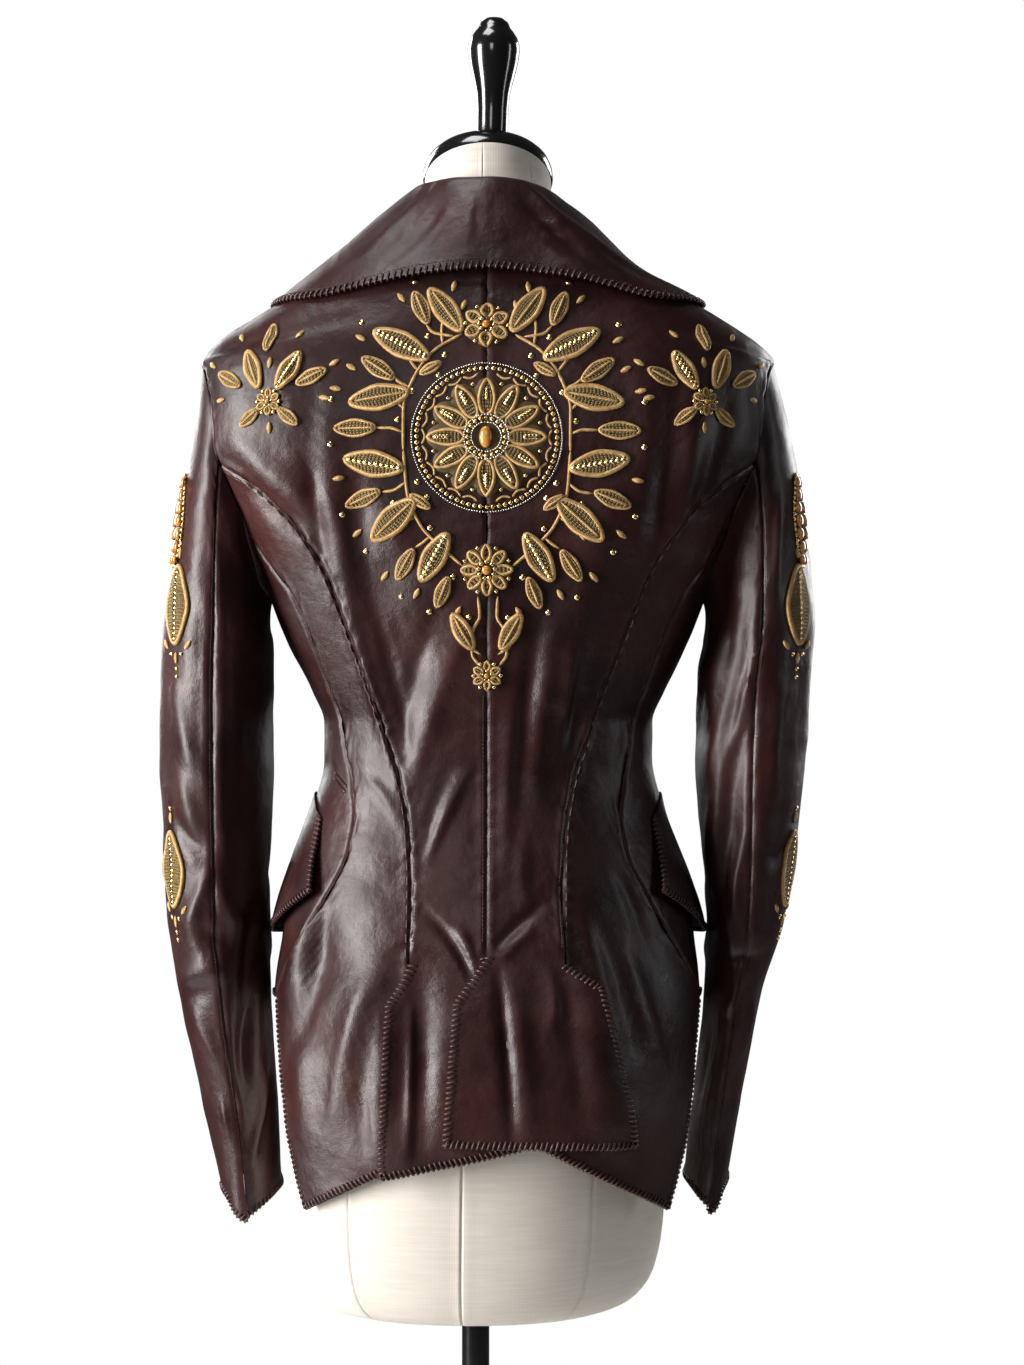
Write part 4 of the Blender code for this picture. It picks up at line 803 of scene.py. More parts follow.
# Creases on the back: place across and up of the start, of the middle and of the end, half width, height, and
# how much sharper one side is than the other.
BACK_CREASES = (
    (-0.1159, 1.0050, -0.1289, 0.9670, -0.1389, 0.9050, 0.0090, -0.0060, -0.5),
    (-0.1229, 1.0200, -0.1369, 0.9790, -0.1529, 0.9400, 0.0070, 0.0035, 0.3),
    (-0.0780, 0.9500, -0.0870, 0.8870, -0.0850, 0.8250, 0.0070, -0.0046, 0.2),
    (-0.0790, 0.9650, -0.1010, 0.9150, -0.1130, 0.8400, 0.0076, 0.0034, 0.0),
    (-0.0629, 0.9860, -0.0659, 0.9670, -0.0709, 0.9470, 0.0040, -0.0028, 0.0),
    (-0.1200, 0.9450, -0.1360, 0.9070, -0.1300, 0.8400, 0.0110, 0.0034, 0.0),
    (-0.0559, 0.9480, -0.0545, 0.8870, -0.0569, 0.8300, 0.0045, 0.0028, 0.3),
    (-0.0440, 0.9600, -0.0430, 0.9000, -0.0460, 0.8350, 0.0080, -0.0026, 0.0),
    (-0.0490, 1.0160, -0.0229, 0.9890, -0.0095, 0.9600, 0.0036, -0.0030, 0.3),
    (-0.0230, 1.0020, -0.0150, 0.9900, -0.0080, 0.9720, 0.0034, 0.0018, 0.0),
    (0.0060, 0.9850, 0.0211, 1.0000, 0.0440, 1.0180, 0.0042, -0.0028, -0.3),
    (0.0100, 0.9760, 0.0211, 0.9890, 0.0360, 0.9990, 0.0042, 0.0020, 0.0),
    (0.0085, 0.9750, 0.0151, 0.9070, 0.0195, 0.8450, 0.0042, -0.0036, 0.4),
    (0.0180, 0.9650, 0.0250, 0.9150, 0.0290, 0.8500, 0.0060, 0.0026, -0.3),
    (0.0411, 0.9720, 0.0491, 0.9470, 0.0405, 0.9220, 0.0050, 0.0018, 0.0),
    (0.0560, 0.9700, 0.0620, 0.9200, 0.0700, 0.8600, 0.0080, -0.0024, 0.0),
    (-0.0100, 1.1180, -0.0300, 1.0810, -0.0460, 1.0400, 0.0052, 0.0024, 0.3),
    (-0.0250, 1.1200, -0.0400, 1.0750, -0.0500, 1.0300, 0.0060, -0.0020, 0.0),
    (-0.0910, 1.1080, -0.0729, 1.0910, -0.0610, 1.0660, 0.0042, 0.0020, 0.2),
    (0.0671, 1.0120, 0.0771, 0.9790, 0.0891, 0.9400, 0.0060, 0.0026, 0.3),
    (0.0831, 1.0020, 0.0991, 0.9470, 0.1071, 0.8900, 0.0072, -0.0034, 0.0),
    (0.1011, 0.9850, 0.1211, 0.9270, 0.1371, 0.8800, 0.0080, 0.0030, 0.2),
    (0.0930, 1.0400, 0.1060, 1.0150, 0.1180, 0.9850, 0.0050, -0.0022, 0.0),
    (-0.1917, 1.3620, -0.1450, 1.3220, -0.1080, 1.3080, 0.0120, 0.0030, 0.3),
    (-0.1850, 1.3380, -0.1500, 1.3020, -0.1200, 1.2850, 0.0080, -0.0026, 0.0),
    (-0.1152, 1.3950, -0.1115, 1.3100, -0.0990, 1.2330, 0.0085, 0.0030, 0.3),
    (-0.1290, 1.3850, -0.1260, 1.3100, -0.1160, 1.2500, 0.0070, -0.0026, 0.0),
    (-0.0980, 1.3700, -0.0930, 1.3000, -0.0860, 1.2350, 0.0080, -0.0020, 0.0),
    (-0.1042, 1.2450, -0.0824, 1.1700, -0.0650, 1.0990, 0.0060, 0.0026, 0.4),
    (-0.0880, 1.2450, -0.0690, 1.1800, -0.0560, 1.1150, 0.0065, -0.0024, 0.0),
    (-0.0058, 1.2450, -0.0350, 1.1650, -0.0600, 1.0920, 0.0095, 0.0030, 0.2),
    (-0.0330, 1.2400, -0.0520, 1.1850, -0.0640, 1.1300, 0.0070, -0.0022, 0.0),
    (0.0817, 1.1850, 0.0760, 1.1550, 0.0700, 1.1250, 0.0050, 0.0022, 0.3),
    (0.0634, 1.2050, 0.0580, 1.1650, 0.0520, 1.1300, 0.0048, 0.0022, 0.3),
    (0.0720, 1.2100, 0.0660, 1.1650, 0.0600, 1.1250, 0.0050, -0.0022, 0.0),
    (-0.1500, 1.4250, -0.1420, 1.3900, -0.1330, 1.3600, 0.0062, 0.0024, 0.2),
    (-0.1380, 1.4200, -0.1300, 1.3850, -0.1240, 1.3500, 0.0060, -0.0020, 0.0),
    (0.1108, 1.4350, 0.1180, 1.3690, 0.1035, 1.2670, 0.0100, 0.0026, 0.2),
    (0.1300, 1.4300, 0.1330, 1.3600, 0.1180, 1.2700, 0.0080, -0.0026, 0.0),
    (0.1545, 1.4300, 0.1500, 1.3470, 0.1300, 1.2500, 0.0095, 0.0028, 0.2),
    (0.1780, 1.3900, 0.1650, 1.3400, 0.1480, 1.2900, 0.0070, -0.0024, 0.0),
    (0.0525, 1.2380, 0.0416, 1.1650, 0.0360, 1.0850, 0.0070, 0.0022, 0.2),
    (0.0380, 1.2300, 0.0300, 1.1650, 0.0240, 1.0900, 0.0065, -0.0022, 0.0),
    (0.0180, 1.1750, 0.0150, 1.1100, 0.0130, 1.0400, 0.0060, 0.0016, 0.0),
    (0.0300, 1.0700, 0.0250, 1.0400, 0.0300, 1.0100, 0.0060, 0.0014, 0.0),
)
# Creases of the fronts, the same on both halves.
FRONT_CREASES = (
    (0.1300, 1.2600, 0.0850, 1.2150, 0.0350, 1.1700, 0.0110, -0.0030, 0.2),
    (0.1250, 1.2400, 0.0840, 1.1950, 0.0330, 1.1600, 0.0070, 0.0024, 0.0),
    (0.1200, 1.2200, 0.0800, 1.1750, 0.0300, 1.1450, 0.0080, -0.0020, 0.0),
    (0.0300, 1.0800, 0.0700, 1.0500, 0.1100, 1.0000, 0.0120, 0.0024, 0.0),
    (0.0350, 1.0600, 0.0720, 1.0250, 0.1000, 0.9700, 0.0080, -0.0024, 0.3),
    (0.1000, 1.1400, 0.0600, 1.1200, 0.0250, 1.1100, 0.0060, -0.0020, 0.0),
    (0.0950, 1.1200, 0.0600, 1.1050, 0.0300, 1.0950, 0.0055, 0.0018, 0.0),
    (0.0500, 0.9900, 0.0600, 0.9400, 0.0550, 0.8900, 0.0100, 0.0030, 0.0),
    (0.0850, 0.9800, 0.0920, 0.9300, 0.0900, 0.8900, 0.0090, -0.0026, 0.0),
    (0.1400, 1.4000, 0.1200, 1.3500, 0.1150, 1.3000, 0.0100, -0.0022, 0.0),
)


def axis_stops(cells, length, split):
    """Where to read a grid along one way: split times in a cell, and at extra lines close to both ends."""
    cell = length / cells
    rim = [step / cell for step in RIM_STEPS]
    inner = [k / split for k in range(1, cells * split)]
    stops = sorted([0.0, cells] + rim + [cells - stop for stop in rim] + inner)
    kept = [stops[0]]
    for stop in stops[1:]:
        if stop - kept[-1] > 0.12 or stop == cells:
            kept.append(stop)
    return np.array(kept)


def resample(grid, rows, columns):
    """A grid read at fractional rows and columns."""
    low = np.minimum(rows.astype(int), grid.shape[0] - 2)
    part = (rows - low)[:, None, None]
    grid = grid[low] * (1 - part) + grid[low + 1] * part
    low = np.minimum(columns.astype(int), grid.shape[1] - 2)
    part = (columns - low)[None, :, None]
    return grid[:, low] * (1 - part) + grid[:, low + 1] * part


def grid_steps(points, axis):
    return np.linalg.norm(np.diff(points, axis=axis), axis=-1)


def refined(grid, surface, split=1):
    """A grid with split times as many rows and extra lines close to its four edges."""
    points = surface(grid[..., 0], grid[..., 1])
    tall = grid_steps(points, 0).sum(axis=0).mean()
    wide = grid_steps(points, 1).sum(axis=1).mean()
    rows = axis_stops(grid.shape[0] - 1, tall, split)
    return resample(grid, rows, axis_stops(grid.shape[1] - 1, wide, 1))


def edge_distances(points):
    """How far each point of a grid lies from its four edges, measured along the grid."""
    up = np.cumsum(np.pad(grid_steps(points, 0), ((1, 0), (0, 0))), axis=0)
    across = np.cumsum(np.pad(grid_steps(points, 1), ((0, 0), (1, 0))), axis=1)
    return {"bottom": up, "top": up[-1:] - up, "left": across, "right": across[:, -1:] - across}


def value_noise(u, v, size, seed):
    """Smooth noise from -1 to 1 over a plane, its bumps about size across."""
    table = np.random.default_rng(seed).uniform(-1, 1, (64, 64))
    a, b = np.asarray(u) / size, np.asarray(v) / size
    i, j = np.floor(a).astype(int), np.floor(b).astype(int)
    s, t = a - i, b - j
    s, t = s * s * (3 - 2 * s), t * t * (3 - 2 * t)

    def pick(rows, columns):
        return table[rows % 64, columns % 64]

    low = pick(i, j) * (1 - s) + pick(i + 1, j) * s
    high = pick(i, j + 1) * (1 - s) + pick(i + 1, j + 1) * s
    return low * (1 - t) + high * t


def ripple(u, v, seed):
    return sum(height * value_noise(u, v, size, seed + k) for k, (size, height) in enumerate(RIPPLES))


def bend(start, middle, end, steps=12):
    t = np.linspace(0, 1, steps)[:, None]
    start, middle, end = (np.array(point, float) for point in (start, middle, end))
    via = 2 * middle - (start + end) / 2
    return start * (1 - t) ** 2 + 2 * via * t * (1 - t) + end * t**2


def crease_heights(u, v, creases):
    """The sum of curved creases over a plane. Each fades out at its ends and is rounder on one side."""
    total = np.zeros(np.shape(u))
    for line, half_width, height, skew in creases:
        reach = half_width * 3.2
        low, high = line.min(axis=0) - reach, line.max(axis=0) + reach
        near = (u > low[0]) & (u < high[0]) & (v > low[1]) & (v < high[1])
        if not near.any():
            continue
        spots = np.stack([u[near], v[near]], -1)
        best = np.full(len(spots), 1e9)
        aside, along = np.zeros(len(spots)), np.zeros(len(spots))
        count = len(line) - 1
        for k in range(count):
            way = line[k + 1] - line[k]
            length = np.linalg.norm(way)
            way = way / length
            off = spots - line[k]
            share = np.clip(off @ way / length, 0, 1)
            gap = off - share[:, None] * way * length
            distance = np.linalg.norm(gap, axis=-1)
            closer = distance < best
            best = np.where(closer, distance, best)
            signed = distance * np.sign(off[:, 0] * way[1] - off[:, 1] * way[0])
            aside = np.where(closer, signed, aside)
            along = np.where(closer, (k + share) / count, along)
        fade = np.sin(math.pi * np.clip(along * 0.94 + 0.03, 0, 1)) ** 0.8
        width = half_width * (1 + 0.6 * skew * np.sign(aside))
        total[near] += height * fade * np.exp(-((aside / width) ** 2))
    return total


ARC_RINGS = np.linspace(0.760, 1.545, 158)
ARC_TURNS = np.linspace(-QUARTER, 3 * QUARTER, 721)


def arc_table():
    """How far round the torso each place lies from the middle of the back, positive to the right."""
    turn, ring = np.meshgrid(ARC_TURNS, ARC_RINGS)
    arc = np.cumsum(np.pad(grid_steps(plain_torso(turn, ring), 1), ((0, 0), (1, 0))), axis=1)
    middle = (len(ARC_TURNS) - 1) // 2
    return arc[:, middle:middle + 1] - arc


ARC = arc_table()


def unrolled(turn, ring):
    """A place on the torso as distances on the flat: round from the middle of the back, and up."""
    i = np.clip((ring - ARC_RINGS[0]) / (ARC_RINGS[1] - ARC_RINGS[0]), 0, len(ARC_RINGS) - 1.001)
    j = np.clip((turn - ARC_TURNS[0]) / (ARC_TURNS[1] - ARC_TURNS[0]), 0, len(ARC_TURNS) - 1.001)
    a, b = i.astype(int), j.astype(int)
    s, t = i - a, j - b
    low = ARC[a, b] * (1 - t) + ARC[a, b + 1] * t
    high = ARC[a + 1, b] * (1 - t) + ARC[a + 1, b + 1] * t
    return low * (1 - s) + high * s, ring


def body_creases():
    lines = []
    for row in BACK_CREASES:
        lines.append(crease_line(row, 1, False))
    for row in FRONT_CREASES:
        lines.append(crease_line(row, 1, True))
        lines.append(crease_line(row, -1, True))
    return lines


def crease_line(row, side, front):
    """One row of a crease table as a line on the flat, with its half width, height and skew."""
    spots = []
    for x, z in (row[0:2], row[2:4], row[4:6]):
        turn, ring = torso_place(side * x, z, front)
        turn = turn + 2 * math.pi if turn < -QUARTER - 1e-6 else turn
        u, v = unrolled(np.array(turn), np.array(float(ring)))
        spots.append((float(u), float(v)))
    return bend(*spots), row[6], row[7], row[8]


CREASES = body_creases()


# Meshes.


class Pile:
    """Points and faces gathered for one joined mesh."""

    def __init__(self):
        self.points, self.faces, self.count = [], {3: [], 4: []}, 0
        self.marks = []

    def add(self, points, quads=(), tris=(), mark=None):
        points = np.asarray(points, float).reshape(-1, 3)
        for size, faces in ((4, quads), (3, tris)):
            if len(faces):
                self.faces[size].append(np.asarray(faces, int).reshape(-1, size) + self.count)
        self.points.append(points)
        self.marks.append(np.zeros(len(points)) if mark is None else np.asarray(mark, float).ravel())
        self.count += len(points)

    def made(self, name, finish, slot="leather"):
        points = np.concatenate(self.points)
        faces = [row for size in (4, 3) for batch in self.faces[size] for row in batch.tolist()]
        mesh = bpy.data.meshes.new(name)
        mesh.from_pydata(points.tolist(), [], faces)
        mesh.shade_smooth()
        mark = mesh.attributes.new("mark", "FLOAT", "POINT")
        mark.data.foreach_set("value", np.concatenate(self.marks).astype(np.float32))
        mesh.materials.append(finish)
        obj = bpy.data.objects.new(name, mesh)
        bpy.context.scene.collection.objects.link(obj)
        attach(obj, "root")
        return obj


def grid_faces(rows, columns, flip):
    at = np.arange(rows * columns).reshape(rows, columns)
    quads = np.stack([at[:-1, :-1], at[:-1, 1:], at[1:, 1:], at[1:, :-1]], -1).reshape(-1, 4)
    return quads[:, ::-1] if flip else quads


def grid_normals(points, like):
    """Unit normals of a grid of points, on the side that like points to."""
    cross = np.cross(np.gradient(points, axis=1), np.gradient(points, axis=0))
    cross = cross / np.maximum(np.linalg.norm(cross, axis=-1, keepdims=True), 1e-12)
    return cross * np.sign(np.sum(cross * like, axis=-1, keepdims=True))


# The outside points of each panel and the ways out of it, by name.
PANELS = {}


def shell(name, outer, like, finish):
    """A thin closed wall of leather under a fine grid of points."""
    normal = grid_normals(outer, like)
    inner = outer - normal * LEATHER
    rows, columns = outer.shape[:2]
    along = np.cross(np.gradient(outer, axis=1), np.gradient(outer, axis=0))
    flip = float(np.sum(along * like)) < 0
    quads = grid_faces(rows, columns, flip)
    count = rows * columns
    at = np.arange(count).reshape(rows, columns)
    rim = np.concatenate([at[0, :], at[1:, -1], at[-1, -2::-1], at[-2:0:-1, 0]])
    following = np.roll(rim, -1)
    sides = np.stack([following, rim, rim + count, following + count], -1)
    sides = sides[:, ::-1] if flip else sides
    distances = np.min(list(edge_distances(outer).values()), axis=0)
    wear = np.exp(-distances / 0.0035).ravel()
    pile = Pile()
    pile.add(np.concatenate([outer.reshape(-1, 3), inner.reshape(-1, 3)]),
             np.concatenate([quads, quads[:, ::-1] + count, sides]), mark=np.concatenate([wear, wear]))
    obj = pile.made(name + "_leather", finish)
    obj.data.set_sharp_from_angle(angle=math.radians(48))
    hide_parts(name)
    declare_sheet(outer)
    PANELS[name] = (outer, normal)


def declare_sheet(outer):
    """Works out the cut of a piece, the longest row and column of its grid and its area laid flat, and keeps
    none of it.
    """
    wide = float(grid_steps(outer, 1).sum(axis=1).max())
    tall = float(grid_steps(outer, 0).sum(axis=0).max())
    cross = np.cross(np.diff(outer, axis=1)[:-1], np.diff(outer, axis=0)[:, :-1])
    area = float(np.linalg.norm(cross, axis=-1).sum())
    area = min(max(area, 0.31 * wide * tall), wide * tall)


def seam_roll(distance, sewn):
    """Leather dips where it is sewn to the next piece, with a soft ridge beside the seam."""
    dip = -0.0009 * np.exp(-((distance / 0.0014) ** 2))
    ridge = 0.00045 * np.exp(-(((distance - 0.0040) / 0.0022) ** 2))
    return sewn * (dip + ridge)


def pucker(distance, along, seed):
    """Small uneven puckers that a sewn seam pulls into the leather beside it."""
    waves = value_noise(along, distance * 0.35, PUCKER_LENGTH, seed)
    return PUCKER_HEIGHT * waves * np.exp(-((distance / PUCKER_REACH) ** 2))


def body_piece(name, grid, side, finish, lift=None, seams=(), free_below=VENT_Z, seed=1, split=1):
    """A panel of the body with its creases, its edges rolled in at the named seams above free_below."""
    grid = refined(grid, plain_torso, split)
    places = ease_edges(on_side(grid, side), torso)
    turn, ring = places[..., 0], places[..., 1]
    base = np.zeros_like(ring) if lift is None else lift(grid)
    normal = normals(torso, turn, ring, -1)
    points = torso(turn, ring) + normal * (base + LEATHER)[..., None]
    u, v = unrolled(turn, ring)
    height = crease_heights(u, v, CREASES) + ripple(u, v, seed)
    distances = edge_distances(points)
    for seam in seams:
        sewn = smooth_step(ring, free_below - 0.004, free_below + 0.012) if seam in BOTH_SIDES else 1.0
        height = height + seam_roll(distances[seam], sewn)
        height = height + sewn * pucker(distances[seam], distances["bottom"], seed + len(seam))
    outer = points + normal * height[..., None]
    outer[..., 0] += JACKET_X
    shell(name, outer, normal, finish)


# The height that each panel's side seams end at, and that its edges hang free below.
SIDE_BACK_FREE_Z = 0.950
SIDE_FREE_Z = 0.940
FRONT_FREE_Z = 0.900
BOTH_SIDES = ("left", "right")


def build_body(finish):
    backs = (
        (1, "right", back_grid(RIGHT_FLAP_INNER, RIGHT_FLAP_OUTER), UPPER_FLAP_LIFT),
        (-1, "left", back_grid(LEFT_FLAP_INNER, LEFT_FLAP_OUTER), UNDER_FLAP_LIFT),
    )
    for side, word, grid, height in backs:
        fine = {"seams": BOTH_SIDES, "split": 2}
        lift = vent_lift(height)
        body_piece(f"back_{word}", grid, side, finish, lift, seed=3 + side, **fine)
        fine["free_below"] = SIDE_BACK_FREE_Z
        body_piece(f"side_back_{word}", side_back_grid(), side, finish, seed=6 + side, **fine)
        body_piece(f"side_{word}", side_grid(), side, finish, seams=BOTH_SIDES, free_below=SIDE_FREE_Z)
        body_piece(f"front_{word}", front_grid(), side, finish, seams=("left",), free_below=FRONT_FREE_Z)
        body_piece(f"lapel_{word}", lapel_grid(), side, finish, lapel_lift)
        body_piece(f"pocket_flap_{word}", flap_grid(), side, finish, flap_lift)


def lapel_lift(grid):
    """The lapel touches the front at its roll line and stands off towards its outer edge."""
    out = edge_distances(plain_torso(grid[..., 0], grid[..., 1]))["left"]
    out = out / out[:, -1:]
    return LEATHER + 0.0020 + 0.0050 * np.sin(out * QUARTER)


def flap_lift(grid):
    """The flap lies close to the hip at its top and stands out at its lower edge."""
    rise = edge_distances(plain_torso(grid[..., 0], grid[..., 1]))["top"]
    return LEATHER + 0.0006 + 0.0075 * smooth_step(rise / rise[:1], 0.0, 1.0)


# Creases down each sleeve, with the same columns, but for clock angles in degrees in place of distances
# across.
LEFT_SLEEVE_CREASES = (
    (104, 1.315, 112, 1.285, 126, 1.258, 0.0060, 0.0030, 0.2),
    (122, 1.295, 148, 1.262, 150, 1.230, 0.0090, -0.0045, 0.0),
    (101, 1.255, 102, 1.150, 101, 1.060, 0.0040, 0.0014, 0.0),
    (86, 1.240, 87, 1.150, 86, 1.070, 0.0036, 0.0012, 0.0),
    (48, 1.180, 65, 1.140, 82, 1.105, 0.0085, 0.0026, 0.2),
    (56, 1.110, 68, 1.088, 76, 1.060, 0.0075, 0.0024, 0.0),
    (106, 1.072, 107, 1.055, 108, 1.035, 0.0060, 0.0018, 0.0),
    (45, 1.080, 68, 1.058, 90, 1.052, 0.0065, -0.0034, 0.0),
    (92, 1.038, 82, 1.020, 66, 0.990, 0.0055, 0.0034, 0.3),
    (74, 0.990, 92, 0.984, 116, 0.978, 0.0095, -0.0046, 0.0),
    (102, 1.022, 115, 1.001, 132, 0.987, 0.0065, 0.0034, 0.2),
    (38, 0.950, 68, 0.958, 96, 0.961, 0.0055, 0.0032, 0.3),
    (40, 0.938, 66, 0.942, 90, 0.944, 0.0060, -0.0024, 0.0),
    (52, 0.924, 68, 0.907, 82, 0.888, 0.0050, 0.0028, 0.0),
    (166, 1.000, 143, 0.960, 114, 0.895, 0.0075, 0.0040, 0.4),
    (152, 0.880, 134, 0.848, 112, 0.812, 0.0048, 0.0034, 0.2),
    (166, 0.880, 150, 0.850, 128, 0.810, 0.0070, -0.0040, 0.0),
    (72, 0.858, 76, 0.845, 76, 0.828, 0.0045, 0.0020, 0.0),
    (20, 1.260, 30, 1.180, 20, 1.100, 0.0090, 0.0022, 0.0),
    (5, 1.060, 35, 1.030, 50, 1.000, 0.0080, 0.0024, 0.0),
    (200, 1.200, 230, 1.150, 215, 1.080, 0.0090, 0.0028, 0.0),
    (240, 1.080, 200, 1.040, 175, 1.020, 0.0085, -0.0034, 0.0),
)
RIGHT_SLEEVE_CREASES = (
    (120, 1.305, 148, 1.250, 158, 1.185, 0.0060, 0.0040, 0.3),
    (158, 1.195, 163, 1.172, 176, 1.140, 0.0060, 0.0034, 0.0),
    (140, 1.245, 128, 1.190, 146, 1.130, 0.0080, -0.0036, 0.0),
    (64, 1.320, 78, 1.280, 84, 1.225, 0.0065, 0.0028, 0.3),
    (101, 1.260, 101, 1.225, 100, 1.190, 0.0045, 0.0018, 0.0),
    (97, 1.208, 107, 1.160, 126, 1.116, 0.0056, 0.0036, 0.3),
    (125, 1.120, 132, 1.085, 138, 1.050, 0.0056, 0.0032, 0.2),
    (135, 1.100, 149, 1.045, 129, 1.012, 0.0056, 0.0040, 0.3),
    (130, 1.018, 119, 0.994, 111, 0.970, 0.0050, 0.0034, 0.0),
    (102, 1.070, 112, 1.020, 107, 0.992, 0.0050, 0.0030, 0.2),
    (121, 1.075, 128, 1.030, 118, 0.998, 0.0058, -0.0036, 0.0),
    (132, 0.964, 96, 0.968, 58, 0.963, 0.0042, -0.0028, 0.3),
    (109, 0.962, 102, 0.937, 126, 0.924, 0.0044, 0.0030, 0.2),
    (126, 0.926, 119, 0.901, 129, 0.878, 0.0042, 0.0030, 0.2),
    (140, 0.920, 148, 0.890, 150, 0.850, 0.0070, -0.0036, 0.0),
    (118, 0.878, 122, 0.850, 120, 0.806, 0.0048, 0.0026, 0.0),
    (60, 1.180, 72, 1.140, 66, 1.090, 0.0090, 0.0024, 0.0),
    (40, 1.060, 62, 1.045, 84, 1.050, 0.0060, -0.0026, 0.0),
    (20, 1.260, 30, 1.180, 20, 1.100, 0.0090, 0.0024, 0.0),
    (45, 0.930, 60, 0.905, 72, 0.885, 0.0060, 0.0022, 0.0),
    (200, 1.200, 230, 1.150, 215, 1.080, 0.0090, 0.0030, 0.0),
    (240, 1.080, 200, 1.040, 178, 1.020, 0.0085, -0.0034, 0.0),
)
# Creases that both sleeves have on their hidden side.
HIDDEN_SLEEVE_CREASES = (
    (180, 0.985, 215, 0.960, 245, 0.950, 0.0080, 0.0028, 0.0),
    (-70, 1.240, -60, 1.160, -75, 1.080, 0.0090, 0.0028, 0.0),
    (-30, 1.060, -55, 1.030, -85, 1.020, 0.0080, -0.0030, 0.0),
    (-40, 0.980, -60, 0.940, -70, 0.880, 0.0080, 0.0026, 0.0),
)
SLEEVE_CELLS = 165
# The vent opens between these shares of the way down the sleeve.
VENT_SHARES = (0.84, 0.88)


def crease_lines(table, across, up=1.0):
    """Rows of a crease table as lines on the flat, one radian across wide and heights up times as large."""
    lines = []
    for *spots, half_width, height, skew in table:
        turned_spots = [(math.radians(spots[k]) * across, spots[k + 1] * up) for k in (0, 2, 4)]
        lines.append((bend(*turned_spots), half_width, height, skew))
    return lines


def sleeve_piece(name, sleeve, clocks, reach, creases, finish, seed):
    surface, outward = sleeve
    rows = np.linspace(0, 1, SLEEVE_CELLS + 1)
    grid = np.stack(np.meshgrid(clocks, rows, indexing="xy"), -1)
    grid = refined(grid, surface)
    eased = ease_edges(grid, surface, SEAM_GAP)
    eased[0, :, 1], eased[-1, :, 1] = 0.0, 1.0
    clock, down = eased[..., 0], eased[..., 1]
    normal = outward(clock, down)
    points = open_vent(surface(clock, down), normal, clock, down, reach)
    u, v = clock * SLEEVE_FOLD_RADIUS, points[..., 2]
    height = (crease_heights(u, v, creases) + ripple(u, v, seed)) * smooth_step(down, 0.0, 0.06)
    distances = edge_distances(points)
    sewn = 1 - smooth_step(down, *VENT_SHARES)
    for seam in BOTH_SIDES:
        height = height + seam_roll(distances[seam], sewn)
        height = height + 0.6 * sewn * pucker(distances[seam], distances["bottom"], seed + len(seam))
    outer = points + normal * height[..., None]
    outer[..., 0] += JACKET_X
    shell(name, outer, normal, finish)


def build_sleeves(finish):
    upper = np.linspace(CLOCK_SLEEVE_FRONT - CLOCK_TIP, CLOCK_BACK_SEAM, 56)
    under = np.linspace(CLOCK_BACK_SEAM, CLOCK_SLEEVE_FRONT, 50)
    sides = (
        (1, "right", RIGHT_SLEEVE, RIGHT_SLEEVE_FOLDS, RIGHT_SLEEVE_CREASES),
        (-1, "left", LEFT_SLEEVE, LEFT_SLEEVE_FOLDS, LEFT_SLEEVE_CREASES),
    )
    for side, word, stations, folds, creases in sides:
        sleeve = sleeve_surface(side, stations, folds)
        lines = crease_lines(creases + HIDDEN_SLEEVE_CREASES, SLEEVE_FOLD_RADIUS)
        sleeve_piece(f"sleeve_upper_{word}", sleeve, upper, VENT_OPEN_UPPER, lines, finish, 20 + side)
        sleeve_piece(f"sleeve_under_{word}", sleeve, under, VENT_OPEN_UNDER, lines, finish, 20 + side)


# Creases of the collar, with the same columns, but for turns in degrees and shares of the way out to its
# edge.
COLLAR_CREASES = (
    (62, 0.42, 45, 0.62, 25, 0.80, 0.0090, 0.0045, 0.4),
    (70, 0.50, 55, 0.70, 40, 0.92, 0.0070, -0.0028, 0.0),
    (48, 0.60, 36, 0.74, 20, 0.95, 0.0060, -0.0024, 0.0),
    (66, 0.62, 58, 0.66, 50, 0.64, 0.0036, 0.0018, 0.0),
    (62, 0.70, 55, 0.74, 48, 0.72, 0.0034, 0.0016, 0.0),
    (57, 0.80, 52, 0.84, 46, 0.83, 0.0034, -0.0014, 0.0),
    (96, 0.52, 100, 0.66, 98, 0.86, 0.0080, 0.0014, 0.0),
    (116, 0.50, 122, 0.66, 132, 0.88, 0.0090, -0.0016, 0.0),
    (130, 0.45, 140, 0.65, 150, 0.90, 0.0110, 0.0022, 0.2),
    (158, 0.50, 168, 0.70, 176, 0.92, 0.0090, -0.0020, 0.0),
    (200, 0.50, 210, 0.70, 214, 0.90, 0.0100, 0.0020, 0.0),
    (-10, 0.50, -20, 0.70, -26, 0.90, 0.0100, 0.0020, 0.0),
)
# How far round the neck a radian reaches, and how wide the collar is, for its creases.
COLLAR_REACH = (0.130, 0.125)


def build_collar(finish):
    shares = np.concatenate([np.linspace(0, 0.40, 26), np.linspace(0.42, 1.0, 36)])
    share, spread = np.meshgrid(shares, np.linspace(-1.0, 1.0, 181), indexing="ij")
    share = np.clip(share, STEP, 1 - STEP)
    end = COLLAR_END_TURN + (COLLAR_POINT_TURN - COLLAR_END_TURN) * smooth_step(share, 0.3, 1.0)
    turn = QUARTER - spread * (QUARTER - end)
    middle = collar_surface(turn, share)
    normal = normals(collar_surface, turn, share)
    u, v = turn * COLLAR_REACH[0], share * COLLAR_REACH[1]
    creased = crease_heights(u, v, crease_lines(COLLAR_CREASES, *COLLAR_REACH))
    height = creased + ripple(u, v, 40) * smooth_step(share, 0.25, 0.45)
    outer = middle + normal * (LEATHER / 2 + height)[..., None]
    outer[..., 0] += JACKET_X
    shell("collar", outer, normal, finish)


# Materials.


